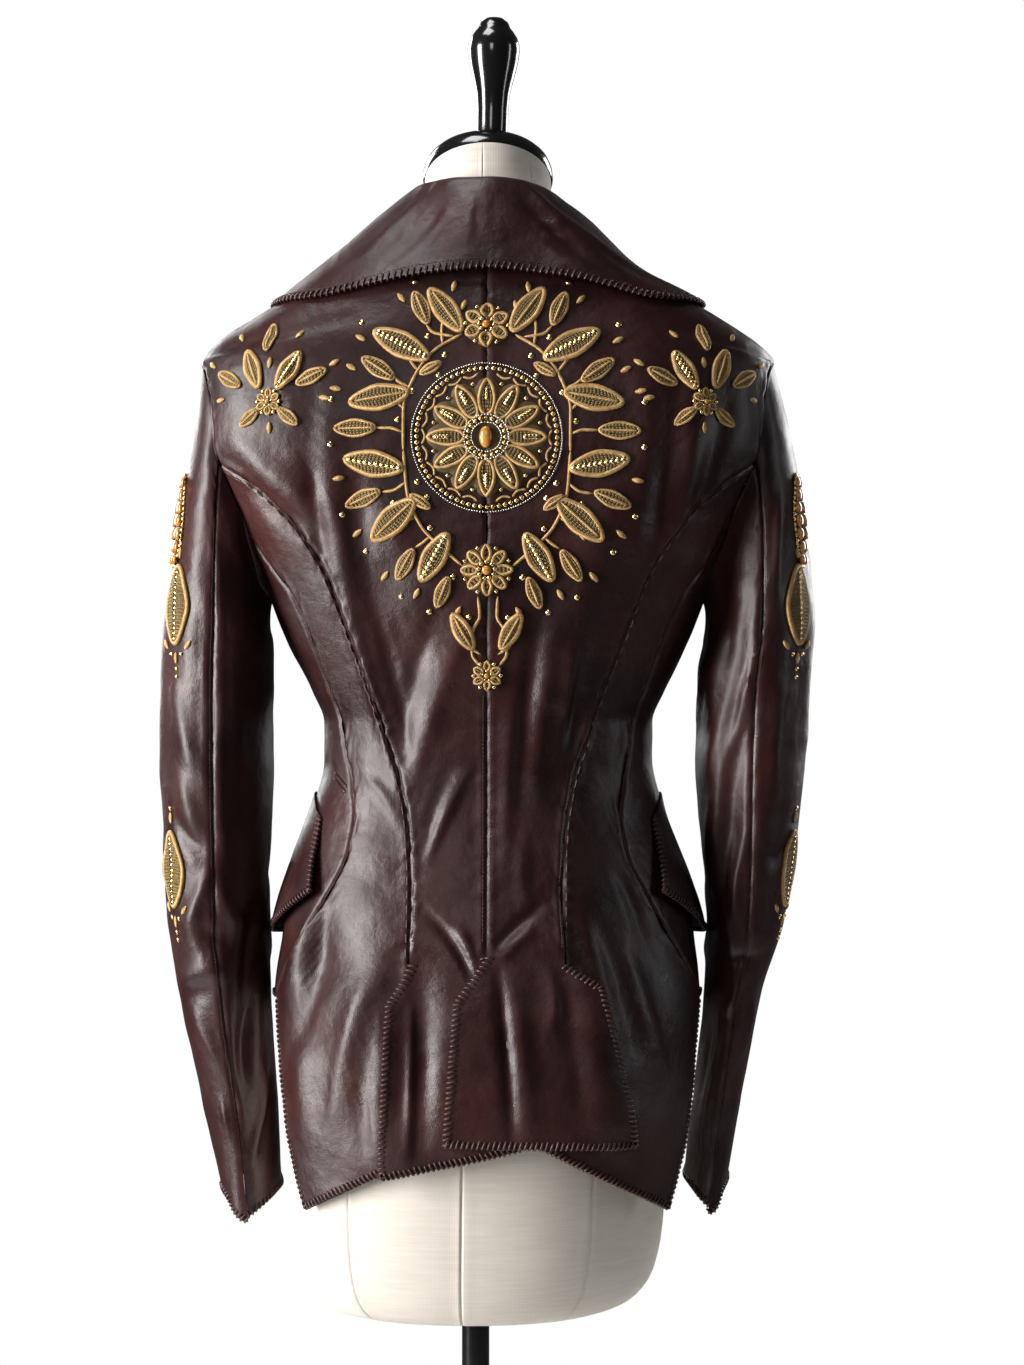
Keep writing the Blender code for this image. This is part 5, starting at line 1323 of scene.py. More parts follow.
def new_material(name):
    """An empty Principled material and a short way to add its nodes."""
    made = bpy.data.materials.new(name)
    made.use_nodes = True
    tree = made.node_tree
    shader = tree.nodes["Principled BSDF"]

    def add(kind, values=(), **settings):
        node = tree.nodes.new(kind)
        for key, value in settings.items():
            setattr(node, key, value)
        for key, value in values:
            node.inputs[key].default_value = value
        return node

    return made, shader, add, tree.links.new


def position(add, link, scale=(1.0, 1.0, 1.0)):
    """Object coordinates in metres, stretched by scale."""
    where = add("ShaderNodeTexCoord")
    mapped = add("ShaderNodeMapping", (("Scale", scale),))
    link(where.outputs["Object"], mapped.inputs["Vector"])
    return mapped.outputs["Vector"]


def noise(add, link, vector, scale, detail=3.0, rough=0.5):
    node = add("ShaderNodeTexNoise", (("Scale", scale), ("Detail", detail), ("Roughness", rough)))
    link(vector, node.inputs["Vector"])
    return node.outputs["Fac"]


def ranged(add, link, value, low, high, start=0.0, end=1.0):
    limits = (("From Min", low), ("From Max", high), ("To Min", start), ("To Max", end))
    node = add("ShaderNodeMapRange", limits)
    link(value, node.inputs["Value"])
    return node.outputs["Result"]


def two_colours(add, link, factor, first, second):
    mix = add("ShaderNodeMix", data_type="RGBA")
    link(factor, mix.inputs["Factor"])
    mix.inputs["A"].default_value = first
    mix.inputs["B"].default_value = second
    return mix.outputs["Result"]


def combined(add, link, operation, first, second):
    """One number worked out from two."""
    node = add("ShaderNodeMath", operation=operation)
    link(first, node.inputs[0])
    link(second, node.inputs[1])
    return node.outputs["Value"]


def bumped(add, link, shader, heights):
    """Chains bumps, each given as a height, its strength and its distance in metres."""
    before = None
    for height, strength, distance in heights:
        bump = add("ShaderNodeBump", (("Strength", strength), ("Distance", distance)))
        link(height, bump.inputs["Height"])
        if before:
            link(before, bump.inputs["Normal"])
        before = bump.outputs["Normal"]
    link(before, shader.inputs["Normal"])


LEATHER_DARK = (0.0120, 0.0026, 0.0023, 1)
LEATHER_LIGHT = (0.0430, 0.0110, 0.0094, 1)
LEATHER_RUBBED = (0.070, 0.030, 0.024, 1)
LACING_DARK = (0.0300, 0.0110, 0.0095, 1)
LACING_LIGHT = (0.0800, 0.0340, 0.0290, 1)
LACING_GLOSS = 0.04
# The leather's noise: scale, detail and roughness.
DYE_CLOUD = (9.0, 4.0, 0.6)
RUBBED_PATCHES = (140.0, 3.0, 0.6)
POLISH_CLOUD = (28.0, 3.0, 0.55)
WRINKLES = (130.0, 4.0, 0.55)
CRUMPLES = (42.0, 2.0, 0.5)
PEBBLES = (360.0, 2.0, 0.5)
# Dark and light of the brown thread. The step between them is partly painted shade between its strands and
# painted highlight on them, partly uneven tone.
BROWN_DARK = (0.035, 0.016, 0.012, 1)
BROWN_LIGHT = (0.120, 0.062, 0.048, 1)
HORN_DARK = (0.018, 0.009, 0.006, 1)
HORN_LIGHT = (0.075, 0.038, 0.020, 1)
PAINT = (0.006, 0.006, 0.0065, 1)
BLACK_WOOD = (0.005, 0.005, 0.005, 1)


def leather_material(name="nappa", dark=LEATHER_DARK, light=LEATHER_LIGHT, gloss=0.0):
    """Soft glossy lambskin: fine grain, small wrinkles, uneven dye, and edges rubbed a little lighter."""
    made, shader, add, link = new_material(name)
    where = position(add, link)
    cloud = noise(add, link, where, *DYE_CLOUD)
    dye = two_colours(add, link, ranged(add, link, cloud, 0.35, 0.70), dark, light)
    rim = add("ShaderNodeAttribute", attribute_name="mark")
    rubbed = add("ShaderNodeMix", data_type="RGBA", blend_type="MIX")
    patchy = noise(add, link, where, *RUBBED_PATCHES)
    patches = ranged(add, link, patchy, 0.40, 0.75, 0.0, 0.55)
    worn = combined(add, link, "MULTIPLY", rim.outputs["Fac"], patches)
    link(worn, rubbed.inputs["Factor"])
    link(dye, rubbed.inputs["A"])
    rubbed.inputs["B"].default_value = LEATHER_RUBBED
    link(rubbed.outputs["Result"], shader.inputs["Base Color"])
    polish = noise(add, link, where, *POLISH_CLOUD)
    link(ranged(add, link, polish, 0.30, 0.72, 0.33 - gloss, 0.50 - gloss), shader.inputs["Roughness"])
    shader.inputs["Specular IOR Level"].default_value = 0.40
    shader.inputs["Coat Weight"].default_value = 0.06
    shader.inputs["Coat Roughness"].default_value = 0.22
    grain = add("ShaderNodeTexVoronoi", (("Scale", 820.0), ("Randomness", 1.0)), feature="DISTANCE_TO_EDGE")
    link(where, grain.inputs["Vector"])
    pores = ranged(add, link, grain.outputs["Distance"], 0.0, 0.35)
    wrinkle = noise(add, link, where, *WRINKLES)
    crumple = noise(add, link, where, *CRUMPLES)
    pebble = noise(add, link, where, *PEBBLES)
    coarse = ((crumple, 0.60, 0.0024), (wrinkle, 0.42, 0.0010))
    bumped(add, link, shader, coarse + ((pebble, 0.30, 0.0004), (pores, 0.34, 0.00018)))
    return made


def simple_material(name, colour, rough, metallic=0.0, coat=0.0, second=None, scale=300.0, bump=0.0002):
    """A plain surface whose colour and roughness vary in soft clouds."""
    made, shader, add, link = new_material(name)
    where = position(add, link)
    cloud = noise(add, link, where, scale, 3.0, 0.6)
    other = second or tuple(min(1.0, part * 1.35) for part in colour[:3]) + (1,)
    tone = ranged(add, link, cloud, 0.35, 0.68)
    link(two_colours(add, link, tone, colour, other), shader.inputs["Base Color"])
    dull = ranged(add, link, cloud, 0.30, 0.70, rough * 0.85, min(1.0, rough * 1.2))
    link(dull, shader.inputs["Roughness"])
    shader.inputs["Metallic"].default_value = metallic
    shader.inputs["Coat Weight"].default_value = coat
    shader.inputs["Coat Roughness"].default_value = 0.08
    bumped(add, link, shader, ((cloud, 0.35, bump),))
    return made


LINEN_DARK = (0.64, 0.580, 0.510, 1)
LINEN_LIGHT = (0.76, 0.700, 0.630, 1)
LINEN_THREADS = (("Scale", 260.0), ("Distortion", 0.6), ("Detail", 1.0))


def linen_material():
    """Plain woven linen with slubs, drawn tight."""
    made, shader, add, link = new_material("linen_weave")
    where = position(add, link)
    warp, weft = (add("ShaderNodeTexWave", LINEN_THREADS, bands_direction=way) for way in "ZX")
    link(where, warp.inputs["Vector"])
    link(where, weft.inputs["Vector"])
    weave = combined(add, link, "MULTIPLY", warp.outputs["Fac"], weft.outputs["Fac"])
    slub = noise(add, link, position(add, link, (30.0, 30.0, 420.0)), 1.0, 3.0, 0.6)
    cloud = noise(add, link, where, 12.0, 3.0, 0.5)
    slubs = ranged(add, link, slub, 0.35, 0.70, 0.0, 0.5)
    clouds = ranged(add, link, cloud, 0.30, 0.70, 0.0, 0.5)
    tone = combined(add, link, "ADD", slubs, clouds)
    link(two_colours(add, link, tone, LINEN_DARK, LINEN_LIGHT), shader.inputs["Base Color"])
    link(ranged(add, link, cloud, 0.3, 0.7, 0.78, 0.92), shader.inputs["Roughness"])
    shader.inputs["Sheen Weight"].default_value = 0.12
    shader.inputs["Specular IOR Level"].default_value = 0.25
    bumped(add, link, shader, ((weave, 0.5, 0.00025), (slub, 0.25, 0.0002)))
    return made


# Distance between the threads of satin stitch.
SATIN_PITCH = 0.00062


def satin_material(name, dark, light, rough=0.40, metallic=0.30):
    """Satin stitch: fine threads laid side by side across a cord, told apart by the distance along it. Each
    thread is coloured lighter on its crest and darker in the groove to the next, a painted highlight and
    painted shade, over clouds of uneven tone.
    """
    made, shader, add, link = new_material(name)
    where = position(add, link)
    along = add("ShaderNodeAttribute", attribute_name="mark")
    phase = add("ShaderNodeMath", operation="MULTIPLY")
    phase.inputs[1].default_value = 2 * math.pi / SATIN_PITCH
    link(along.outputs["Fac"], phase.inputs[0])
    wave = add("ShaderNodeMath", operation="SINE")
    link(phase.outputs["Value"], wave.inputs[0])
    cloud = noise(add, link, where, 260.0, 3.0, 0.6)
    # The sine stripes added to the cloud colour each thread lighter on its crest and darker in the groove to
    # the next: painted highlight and painted shade. The cloud is uneven tone.
    mixed = add("ShaderNodeMath", operation="MULTIPLY_ADD")
    link(wave.outputs["Value"], mixed.inputs[0])
    mixed.inputs[1].default_value = 0.16
    link(cloud, mixed.inputs[2])
    tone = ranged(add, link, mixed.outputs["Value"], 0.28, 0.74)
    link(two_colours(add, link, tone, dark, light), shader.inputs["Base Color"])
    link(ranged(add, link, cloud, 0.3, 0.7, rough * 0.85, rough * 1.2), shader.inputs["Roughness"])
    shader.inputs["Metallic"].default_value = metallic
    bumped(add, link, shader, ((wave.outputs["Value"], 0.5, 0.00016), (cloud, 0.4, 0.0003)))
    return made


def thread_material(name, dark, light, rough=0.48, metallic=0.25):
    """Twisted metallic thread: fine slanting strands and uneven tone. Its colour is darker in the bands
    between strands and lighter on them, a painted shade and painted highlight.
    """
    made, shader, add, link = new_material(name)
    where = position(add, link)
    strand = (("Scale", 420.0), ("Distortion", 1.5), ("Detail", 2.0))
    strands = add("ShaderNodeTexWave", strand, bands_direction="DIAGONAL")
    link(where, strands.inputs["Vector"])
    cloud = noise(add, link, where, 190.0, 2.0, 0.5)
    # The strands' bands give painted shade between strands and painted highlight on them; the cloud gives
    # uneven tone.
    tone = combined(add, link, "MULTIPLY", strands.outputs["Fac"], cloud)
    tinted = two_colours(add, link, ranged(add, link, tone, 0.08, 0.42), dark, light)
    link(tinted, shader.inputs["Base Color"])
    link(ranged(add, link, cloud, 0.3, 0.7, rough * 0.85, rough * 1.15), shader.inputs["Roughness"])
    shader.inputs["Metallic"].default_value = metallic
    bumped(add, link, shader, ((strands.outputs["Fac"], 0.5, 0.0003),))
    return made


# Stones and beads: name, colour, roughness, metallic, coat, second colour and scale of the clouds.
BEAD_LOOKS = {
    "gold": ("gold_stones", (0.78, 0.50, 0.17, 1), 0.22, 1.0, 0.3, (0.95, 0.72, 0.36, 1), 500.0),
    "silver": ("silver_beads", (0.55, 0.50, 0.43, 1), 0.24, 1.0, 0.2, (0.80, 0.76, 0.68, 1), 600.0),
    "amber": ("amber_beads", (0.36, 0.125, 0.016, 1), 0.12, 0.0, 0.7, (0.62, 0.27, 0.05, 1), 220.0),
}


# The dark and the light of each gold thread. Part of the step between them is painted: shade between its
# threads or strands and highlight on them, with uneven tone for the rest.
BRONZE = ((0.055, 0.034, 0.012, 1), (0.13, 0.085, 0.028, 1))
GOLD = ((0.33, 0.185, 0.060, 1), (0.64, 0.41, 0.165, 1))
OLIVE_GOLD = ((0.105, 0.068, 0.021, 1), (0.30, 0.205, 0.075, 1))


def thread_finishes():
    threads = {
        "pad": thread_material("bronze_ground", *BRONZE, 0.6),
        "satin": satin_material("gold_satin", *GOLD),
        "chain": thread_material("olive_gold_chain", *OLIVE_GOLD),
    }
    return threads | {kind: simple_material(*look) for kind, look in BEAD_LOOKS.items()}


# Stitching along edges and seams.

PEPLUM_SPACING = 0.0037
COLLAR_SPACING = 0.0047
# A height above everything, for rows that run along a whole edge.
ANYWHERE = 9.0
# The hand lacing over the cut edges: panel, edge, the heights that it stays below and above, and its spacing.
LACED_EDGES = (
    ("collar", "top", ANYWHERE, 0.0, COLLAR_SPACING),
    ("collar", "left", 1.50, 0.0, COLLAR_SPACING),
    ("collar", "right", 1.50, 0.0, COLLAR_SPACING),
    ("back_{}", "left", VENT_Z + 0.004, 0.0, PEPLUM_SPACING),
    ("back_{}", "bottom", ANYWHERE, 0.0, PEPLUM_SPACING),
    ("back_{}", "right", VENT_Z - 0.002, 0.0, PEPLUM_SPACING),
    ("side_back_{}", "bottom", ANYWHERE, 0.0, PEPLUM_SPACING),
    ("side_back_{}", "right", 0.938, 0.0, PEPLUM_SPACING),
    ("side_{}", "bottom", ANYWHERE, 0.0, PEPLUM_SPACING),
    ("front_{}", "bottom", ANYWHERE, 0.0, PEPLUM_SPACING),
    ("front_{}", "right", BREAK_Z, 0.0, PEPLUM_SPACING),
    ("lapel_{}", "right", ANYWHERE, 0.0, COLLAR_SPACING),
    ("pocket_flap_{}", "bottom", ANYWHERE, 0.0, PEPLUM_SPACING),
    ("pocket_flap_{}", "left", ANYWHERE, 0.0, PEPLUM_SPACING),
    ("pocket_flap_{}", "right", ANYWHERE, 0.0, PEPLUM_SPACING),
    ("sleeve_upper_{}", "top", ANYWHERE, 0.0, PEPLUM_SPACING),
    ("sleeve_under_{}", "top", ANYWHERE, 0.0, PEPLUM_SPACING),
)
# One lacing stitch, from its hole in the leather, over the edge and down behind it: metres along, in and out.
LACE_PATH = (
    (0.0011, 0.0047, -0.0006),
    (0.0010, 0.0043, 0.0006),
    (0.0004, 0.0026, 0.0010),
    (-0.0003, 0.0006, 0.0008),
    (-0.0008, -0.0009, -0.0004),
    (-0.0010, -0.0006, -0.0018),
    (-0.0011, 0.0012, -0.0025),
    (-0.0011, 0.0026, -0.0012),
)
LACE_HALF = (0.00092, 0.00055)
STITCH_SIDES = 5
# How many rows in from an edge the leather has stopped rolling over.
RIM_ROWS = 5
# Rows of running stitches beside a seam: panel, edge, the heights that they stay below and above, distance in
# from the edge, length, spacing and radius.
RUNNING_ROWS = (
    ("side_back_{}", "left", 1.335, 0.975, 0.0031, 0.0052, 0.0104, 0.00058),
    ("back_{}", "right", 1.320, 0.985, 0.0022, 0.0016, 0.0026, 0.00020),
    ("back_{}", "left", 1.170, 0.990, 0.0028, 0.0019, 0.0029, 0.00022),
    ("sleeve_upper_{}", "right", 1.300, 0.880, 0.0020, 0.0017, 0.0028, 0.00018),
    ("collar", "top", ANYWHERE, 0.0, 0.0072, 0.0017, 0.0029, 0.00018),
)
# How many rows of a panel are searched for the line at a distance from its edge.
INSET_ROWS = 30
# One running stitch: share of its length along, and height in radii, with its ends just under the leather.
STITCH_PATH = ((-0.55, -0.0004), (-0.40, 0.6), (-0.15, 1.0), (0.15, 1.0), (0.40, 0.6), (0.55, -0.0004))


def edge_frames(name, edge, below, above):
    """Along one edge of a panel between two heights: places, ways in over the leather, and ways out of it."""
    outer, normal = (from_edge(rows, edge) for rows in PANELS[name])
    points = outer[0]
    kept = (points[:, 2] < below) & (points[:, 2] > above)
    return points[kept], (outer[RIM_ROWS] - points)[kept], normal[RIM_ROWS][kept]


def unit(ways):
    return ways / np.maximum(np.linalg.norm(ways, axis=-1, keepdims=True), 1e-9)


def spaced(points, spacing, *others):
    """The line and what goes with it, read at even steps of its length."""
    along = lengths_along(points)
    count = max(int(along[-1] / spacing), 2)
    even = (np.arange(count) + 0.5) * along[-1] / count
    tables = (points, *others)
    return [np.stack([np.interp(even, along, rows[:, k]) for k in range(3)], -1) for rows in tables]


def stitch_frames(points, inward, outward, spacing):
    points, inward, outward = spaced(points, spacing, inward, outward)
    along = unit(np.gradient(points, axis=0))
    outward = unit(outward - along * np.sum(outward * along, axis=-1, keepdims=True))
    inward = inward - along * np.sum(inward * along, axis=-1, keepdims=True)
    inward = unit(inward - outward * np.sum(inward * outward, axis=-1, keepdims=True))
    return points, along, inward, outward


def tubes(pile, lines, across, half_wide, half_high, sides=6):
    """A tube along each of many lines of points, flat or round, with its width along across."""
    count, steps = lines.shape[:2]
    way = unit(np.gradient(lines, axis=1))
    high = unit(np.cross(way, across))
    wide = np.cross(high, way)
    angle = 2 * math.pi * np.arange(sides) / sides
    ring = (
        wide[:, :, None] * (np.cos(angle)[:, None] * half_wide)
        + high[:, :, None] * (np.sin(angle)[:, None] * half_high)
    )
    points = lines[:, :, None] + ring
    quads = tube_faces(steps, sides)[None] + (np.arange(count) * steps * sides)[:, None, None]
    pile.add(points.reshape(-1, 3), quads.reshape(-1, 4))


def lace(pile, name, edge, below, above, spacing):
    points, along, inward, outward = stitch_frames(*edge_frames(name, edge, below, above), spacing)
    uneven = np.random.default_rng(len(name) * 7 + len(edge)).uniform(0.86, 1.14, (len(points), 3))
    path = np.array(LACE_PATH)[None] * uneven[:, None]
    lines = points[:, None] + along[:, None] * path[..., :1] + inward[:, None] * path[..., 1:2]
    lines = lines + outward[:, None] * path[..., 2:]
    tubes(pile, lines, along[:, None], *LACE_HALF, STITCH_SIDES)


def from_edge(rows, edge):
    """A panel's rows of points, turned so that the first row is the named edge."""
    rows = rows if edge in ("bottom", "top") else np.swapaxes(rows, 0, 1)
    return rows if edge in ("bottom", "left") else rows[::-1]


def inset_line(name, edge, distance):
    """The line over the leather at a distance in from one edge of a panel, and the ways out of it."""
    outer, normal = (from_edge(rows, edge)[:INSET_ROWS] for rows in PANELS[name])
    far = edge_distances(outer)["bottom"]
    columns = range(outer.shape[1])
    return [
        np.array([[np.interp(distance, far[:, i], rows[:, i, k]) for k in range(3)] for i in columns])
        for rows in (outer, normal)
    ]


def running_stitches(pile, name, edge, below, above, distance, length, spacing, radius):
    points, outward = inset_line(name, edge, distance)
    kept = (points[:, 2] < below) & (points[:, 2] > above)
    inward = inset_line(name, edge, distance + 0.001)[0] - points
    points, along, inward, outward = stitch_frames(points[kept], inward[kept], outward[kept], spacing)
    path = np.array(STITCH_PATH)
    lines = points[:, None] + along[:, None] * (path[:, :1] * length)
    lines = lines + outward[:, None] * (np.maximum(path[:, 1:] * radius * 0.8, -0.0006) + 0.0001)
    tubes(pile, lines, inward[:, None] + 0 * lines, radius, radius, STITCH_SIDES)


def build_stitching(lacing, thread):
    for word in ("left", "right"):
        pile, fine = Pile(), Pile()
        for name, *row in LACED_EDGES:
            if "{}" in name or word == "left":
                lace(pile, name.format(word), *row)
        for name, *row in RUNNING_ROWS:
            if "{}" in name or word == "left":
                running_stitches(fine, name.format(word), *row)
        pile.made(f"lacing_{word}", lacing)
        fine.made(f"running_stitches_{word}", thread)


# Raised thread work.


def template(outline, sides, wide=1.0, long=1.0):
    """A small turned shape as points and triangles. Its outline runs from its foot's middle to its top."""
    angle = 2 * math.pi * np.arange(sides) / sides
    points = [(0.0, 0.0, outline[0][1])]
    for radius, height in outline[1:-1]:
        points += [(radius * wide * math.cos(a), radius * long * math.sin(a), height) for a in angle]
    points.append((0.0, 0.0, outline[-1][1]))
    tris = []
    for k in range(sides):
        nxt = (k + 1) % sides
        tris.append((0, 1 + nxt, 1 + k))
        for ring in range(len(outline) - 3):
            a, b = 1 + ring * sides, 1 + (ring + 1) * sides
            tris += [(a + k, a + nxt, b + nxt), (a + k, b + nxt, b + k)]
        last = 1 + (len(outline) - 3) * sides
        tris.append((last + k, last + nxt, len(points) - 1))
    return np.array(points), np.array(tris)


def ball(radius, sides=8, rings=5, wide=1.0, long=1.0, tall=1.0):
    """A round or oval bead that is sunk a little at its foot."""
    outline = [
        (radius * math.cos(angle), radius * tall * (1 + math.sin(angle)) * 0.92 - 0.08 * radius)
        for angle in np.linspace(-QUARTER, QUARTER, rings + 2)
    ]
    return template(outline, sides, wide, long)


# Turned outlines of the small shapes, as radius and height in metres. A chain link's radii are shares of
# its size.
LINK_OUTLINE = ((0, -0.0002), (0.5, -0.0002), (0.38, 0.0006), (0, 0.0007))
STONE_OUTLINE = ((0, -0.0002), (0.0017, -0.0002), (0.0019, 0.0006), (0.0011, 0.0014), (0, 0.0014))
SEQUIN_OUTLINE = (
    (0, 0.0), (0.0019, 0.0003), (0.0020, 0.0006), (0.0008, 0.0003), (0.0003, 0.0008), (0, 0.0008),
)
CHAIN_LINK = template(LINK_OUTLINE, 8, 0.00165, 0.0031)
STONE = template(STONE_OUTLINE, 8)
SEQUIN = template(SEQUIN_OUTLINE, 12)
SMALL_BEAD = ball(0.0008, 6, 3)
AMBER_OVAL = ball(0.0048, 20, 9, 1.0, 1.66, 0.62)
AMBER_ROUND = ball(0.0042, 18, 8, 1.0, 1.0, 0.7)
LARGE_BEAD = ball(0.0044, 16, 8, 1.0, 1.12, 0.55)


def scatter(pile, shape, places, outs, ways, size=1.0):
    """Copies of a template. Its z stands out of the leather and its y points along ways."""
    points, tris = shape
    places, outs = np.atleast_2d(places), unit(np.atleast_2d(outs))
    ways = np.broadcast_to(ways, places.shape)
    long = unit(ways - outs * np.sum(ways * outs, axis=-1, keepdims=True))
    wide = np.cross(long, outs)
    size = np.broadcast_to(size, len(places))[:, None, None]
    axes = np.stack([wide, long, outs], axis=1)
    moved = places[:, None] + (points[None] * size) @ axes
    shift = (np.arange(len(places)) * len(points))[:, None, None]
    pile.add(moved.reshape(-1, 3), tris=(tris[None] + shift).reshape(-1, 3))


class Ground:
    """The leather that motifs lie on, turned to face one place at a time."""

    def __init__(self, *starts):
        points, faces, count = [], [], 0
        for name, (outer, _) in PANELS.items():
            if name.startswith(starts):
                rows, columns = outer.shape[:2]
                points += outer.reshape(-1, 3).tolist()
                faces += (grid_faces(rows, columns, False) + count).tolist()
                count += rows * columns
        self.tree = BVHTree.FromPolygons(points, faces)

    def aim(self, start, way, reach=0.010):
        """Faces the place that a line from start along way meets first."""
        way = Vector(way).normalized()
        centre = self.tree.ray_cast(Vector(start), way)[0]
        side = way.cross(Vector((0, 0, 1))).normalized()
        total = Vector((0, 0, 0))
        for a in (-reach, 0.0, reach):
            for b in (-reach, 0.0, reach):
                spot = Vector(start) + side * a + Vector((0, 0, b))
                normal = self.tree.ray_cast(spot, way)[1]
                if normal:
                    total += normal if normal.dot(way) < 0 else -normal
        self.normal = total.normalized()
        self.up = (Vector((0, 0, 1)) - self.normal * self.normal.z).normalized()
        self.across = self.up.cross(self.normal)
        self.centre = centre
        return self

    def from_behind(self, x, z, reach=0.010):
        """Faces the place x to the right of the jacket's middle at height z, seen from behind."""
        return self.aim((x + JACKET_X, -AIM_FROM, z), (0, 1, 0), reach)

    def moved(self, x, z):
        """The same leather seen from behind at another place, x in the frame."""
        return copy.copy(self).aim((x, -AIM_FROM, z), (0, 1, 0), 0.005)

    def lay(self, flat, rise=0.0):
        """Flat places, metres across and up, laid on the leather and out by rise, and the ways out there."""
        flat = np.atleast_2d(np.asarray(flat, float))
        hits, outs = [], []
        for aside, above in flat:
            spot = self.centre + self.across * aside + self.up * above
            hit, normal = self.tree.ray_cast(spot + self.normal * 0.03, -self.normal)[:2]
            if hit is None:
                hit, normal = self.tree.find_nearest(spot)[:2]
            normal = normal if normal.dot(self.normal) > 0 else -normal
            hits.append(hit)
            outs.append((normal + self.normal).normalized())
        hits, outs = np.array(hits), np.array(outs)
        return hits + outs * np.broadcast_to(rise, len(flat))[:, None], outs

    def ways(self, flat):
        """Flat directions as directions in space."""
        flat = np.atleast_2d(np.asarray(flat, float))
        return flat[:, :1] * np.array(self.across) + flat[:, 1:] * np.array(self.up)


class Threads:
    """The piles of one motif group, one for each material."""

    KINDS = ("pad", "satin", "chain", "gold", "silver", "amber")

    def __init__(self):
        self.piles = {kind: Pile() for kind in self.KINDS}

    def made(self, group, finishes, nodes):
        for kind, pile in self.piles.items():
            if pile.count:
                obj = pile.made(f"{kind}_{group}", finishes[kind], slot="gold_thread")
                if kind == "pad":
                    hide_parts(*nodes)


def evenly(flat, step, closed=False):
    """A flat line read at even steps."""
    flat = np.asarray(flat, float)
    if closed:
        flat = np.vstack([flat, flat[:1]])
    along = lengths_along(flat)
    count = max(int(round(along[-1] / step)), 3)
    even = np.linspace(0, along[-1], count + 1)
    return np.stack([np.interp(even, along, flat[:, k]) for k in (0, 1)], -1)


def cord(pile, ground, flat, half_wide, half_high, rise, closed=False, taper=0.0, step=0.0013, sides=7):
    """A satin stitched cord along a flat line. Its mark is the distance along it."""
    flat = evenly(flat, step, closed)
    if closed:
        flat = flat[:-1]
    points, outs = ground.lay(flat, rise)
    count = len(points)
    way = np.roll(points, -1, axis=0) - np.roll(points, 1, axis=0) if closed else np.gradient(points, axis=0)
    across = unit(np.cross(way, outs))
    high = unit(np.cross(across, way))
    along = np.arange(count) * step
    size = np.ones(count)
    if not closed:
        end = np.minimum(np.arange(count), np.arange(count)[::-1]) * step
        size = 0.15 + 0.85 * np.sqrt(np.clip(end / max(taper, step), 0, 1))
    angle = 2 * math.pi * np.arange(sides) / sides
    wide = across[:, None] * np.cos(angle)[:, None] * half_wide
    ring = wide + high[:, None] * np.sin(angle)[:, None] * half_high
    tube = points[:, None] + ring * size[:, None, None]
    at = np.arange(count * sides).reshape(count, sides)
    nxt = np.roll(at, -1, axis=1)
    if closed:
        ahead, ahead_nxt = np.roll(at, -1, axis=0), np.roll(nxt, -1, axis=0)
    else:
        at, nxt, ahead, ahead_nxt = at[:-1], nxt[:-1], at[1:], nxt[1:]
    quads = np.stack([at, ahead, ahead_nxt, nxt], -1).reshape(-1, 4)
    pile.add(tube, quads, mark=np.repeat(along, sides))


# The base under a motif, from its rim inwards: share of the outline and height.
PAD_RINGS = ((1.0, -0.0003), (0.985, 0.0009), (0.90, 0.0014), (0.70, 0.0018), (0.40, 0.0021))


def pad(pile, ground, outline, top=1.0):
    """A low domed base under a motif."""
    outline = np.asarray(outline, float)
    centre = outline.mean(axis=0)
    count = len(outline)
    for share, rise in PAD_RINGS:
        pile.points.append(ground.lay(centre + (outline - centre) * share, rise * top)[0])
    pile.points.append(ground.lay(centre, PAD_RINGS[-1][1] * top)[0])
    base = pile.count
    last = base + len(PAD_RINGS) * count
    top_ring = np.arange(last - count, last)
    pile.faces[4].append(tube_faces(len(PAD_RINGS), count) + base)
    pile.faces[3].append(np.stack([top_ring, np.roll(top_ring, -1), np.full(count, last)], -1))
    pile.marks.append(np.zeros(last + 1 - base))
    pile.count = last + 1


def chain_row(pile, ground, flat, rise, spacing=0.0026, size=1.0):
    """A row of chain stitches along a flat line."""
    flat = evenly(flat, spacing)
    middle = (flat[1:] + flat[:-1]) / 2
    points, outs = ground.lay(middle, rise)
    scatter(pile, CHAIN_LINK, points, outs, ground.ways(np.diff(flat, axis=0)), size)


def place(pile, shape, ground, flat, rise, size=1.0, way=(0.0, 1.0)):
    """Copies of a template at flat places on the leather."""
    points, outs = ground.lay(flat, rise)
    scatter(pile, shape, points, outs, ground.ways(way), size)


def stone_row(pile, shape, ground, flat, rise, spacing, closed=False, size=1.0):
    flat = evenly(flat, spacing, closed)
    place(pile, shape, ground, flat[:-1] if closed else flat, rise, size)


def leaf_half(along, width):
    """Half the width of a leaf, where along runs from -1 at its base to 1 at its tip."""
    return np.sqrt(np.maximum(1 - along**2, 0)) * width / 2 * (1 - 0.35 * np.sqrt(along**2 + 0.04))


# A leaf's rows of chain stitches: spacing and rise. Its sequins: rise and spacing. Its midrib: half width,
# half height and rise.
LEAF_ROW = 0.00175
LEAF_CHAIN_RISE = 0.0018
LEAF_SEQUINS = (0.0022, 0.0039)
MIDRIB = (0.0010, 0.0010, 0.0024)


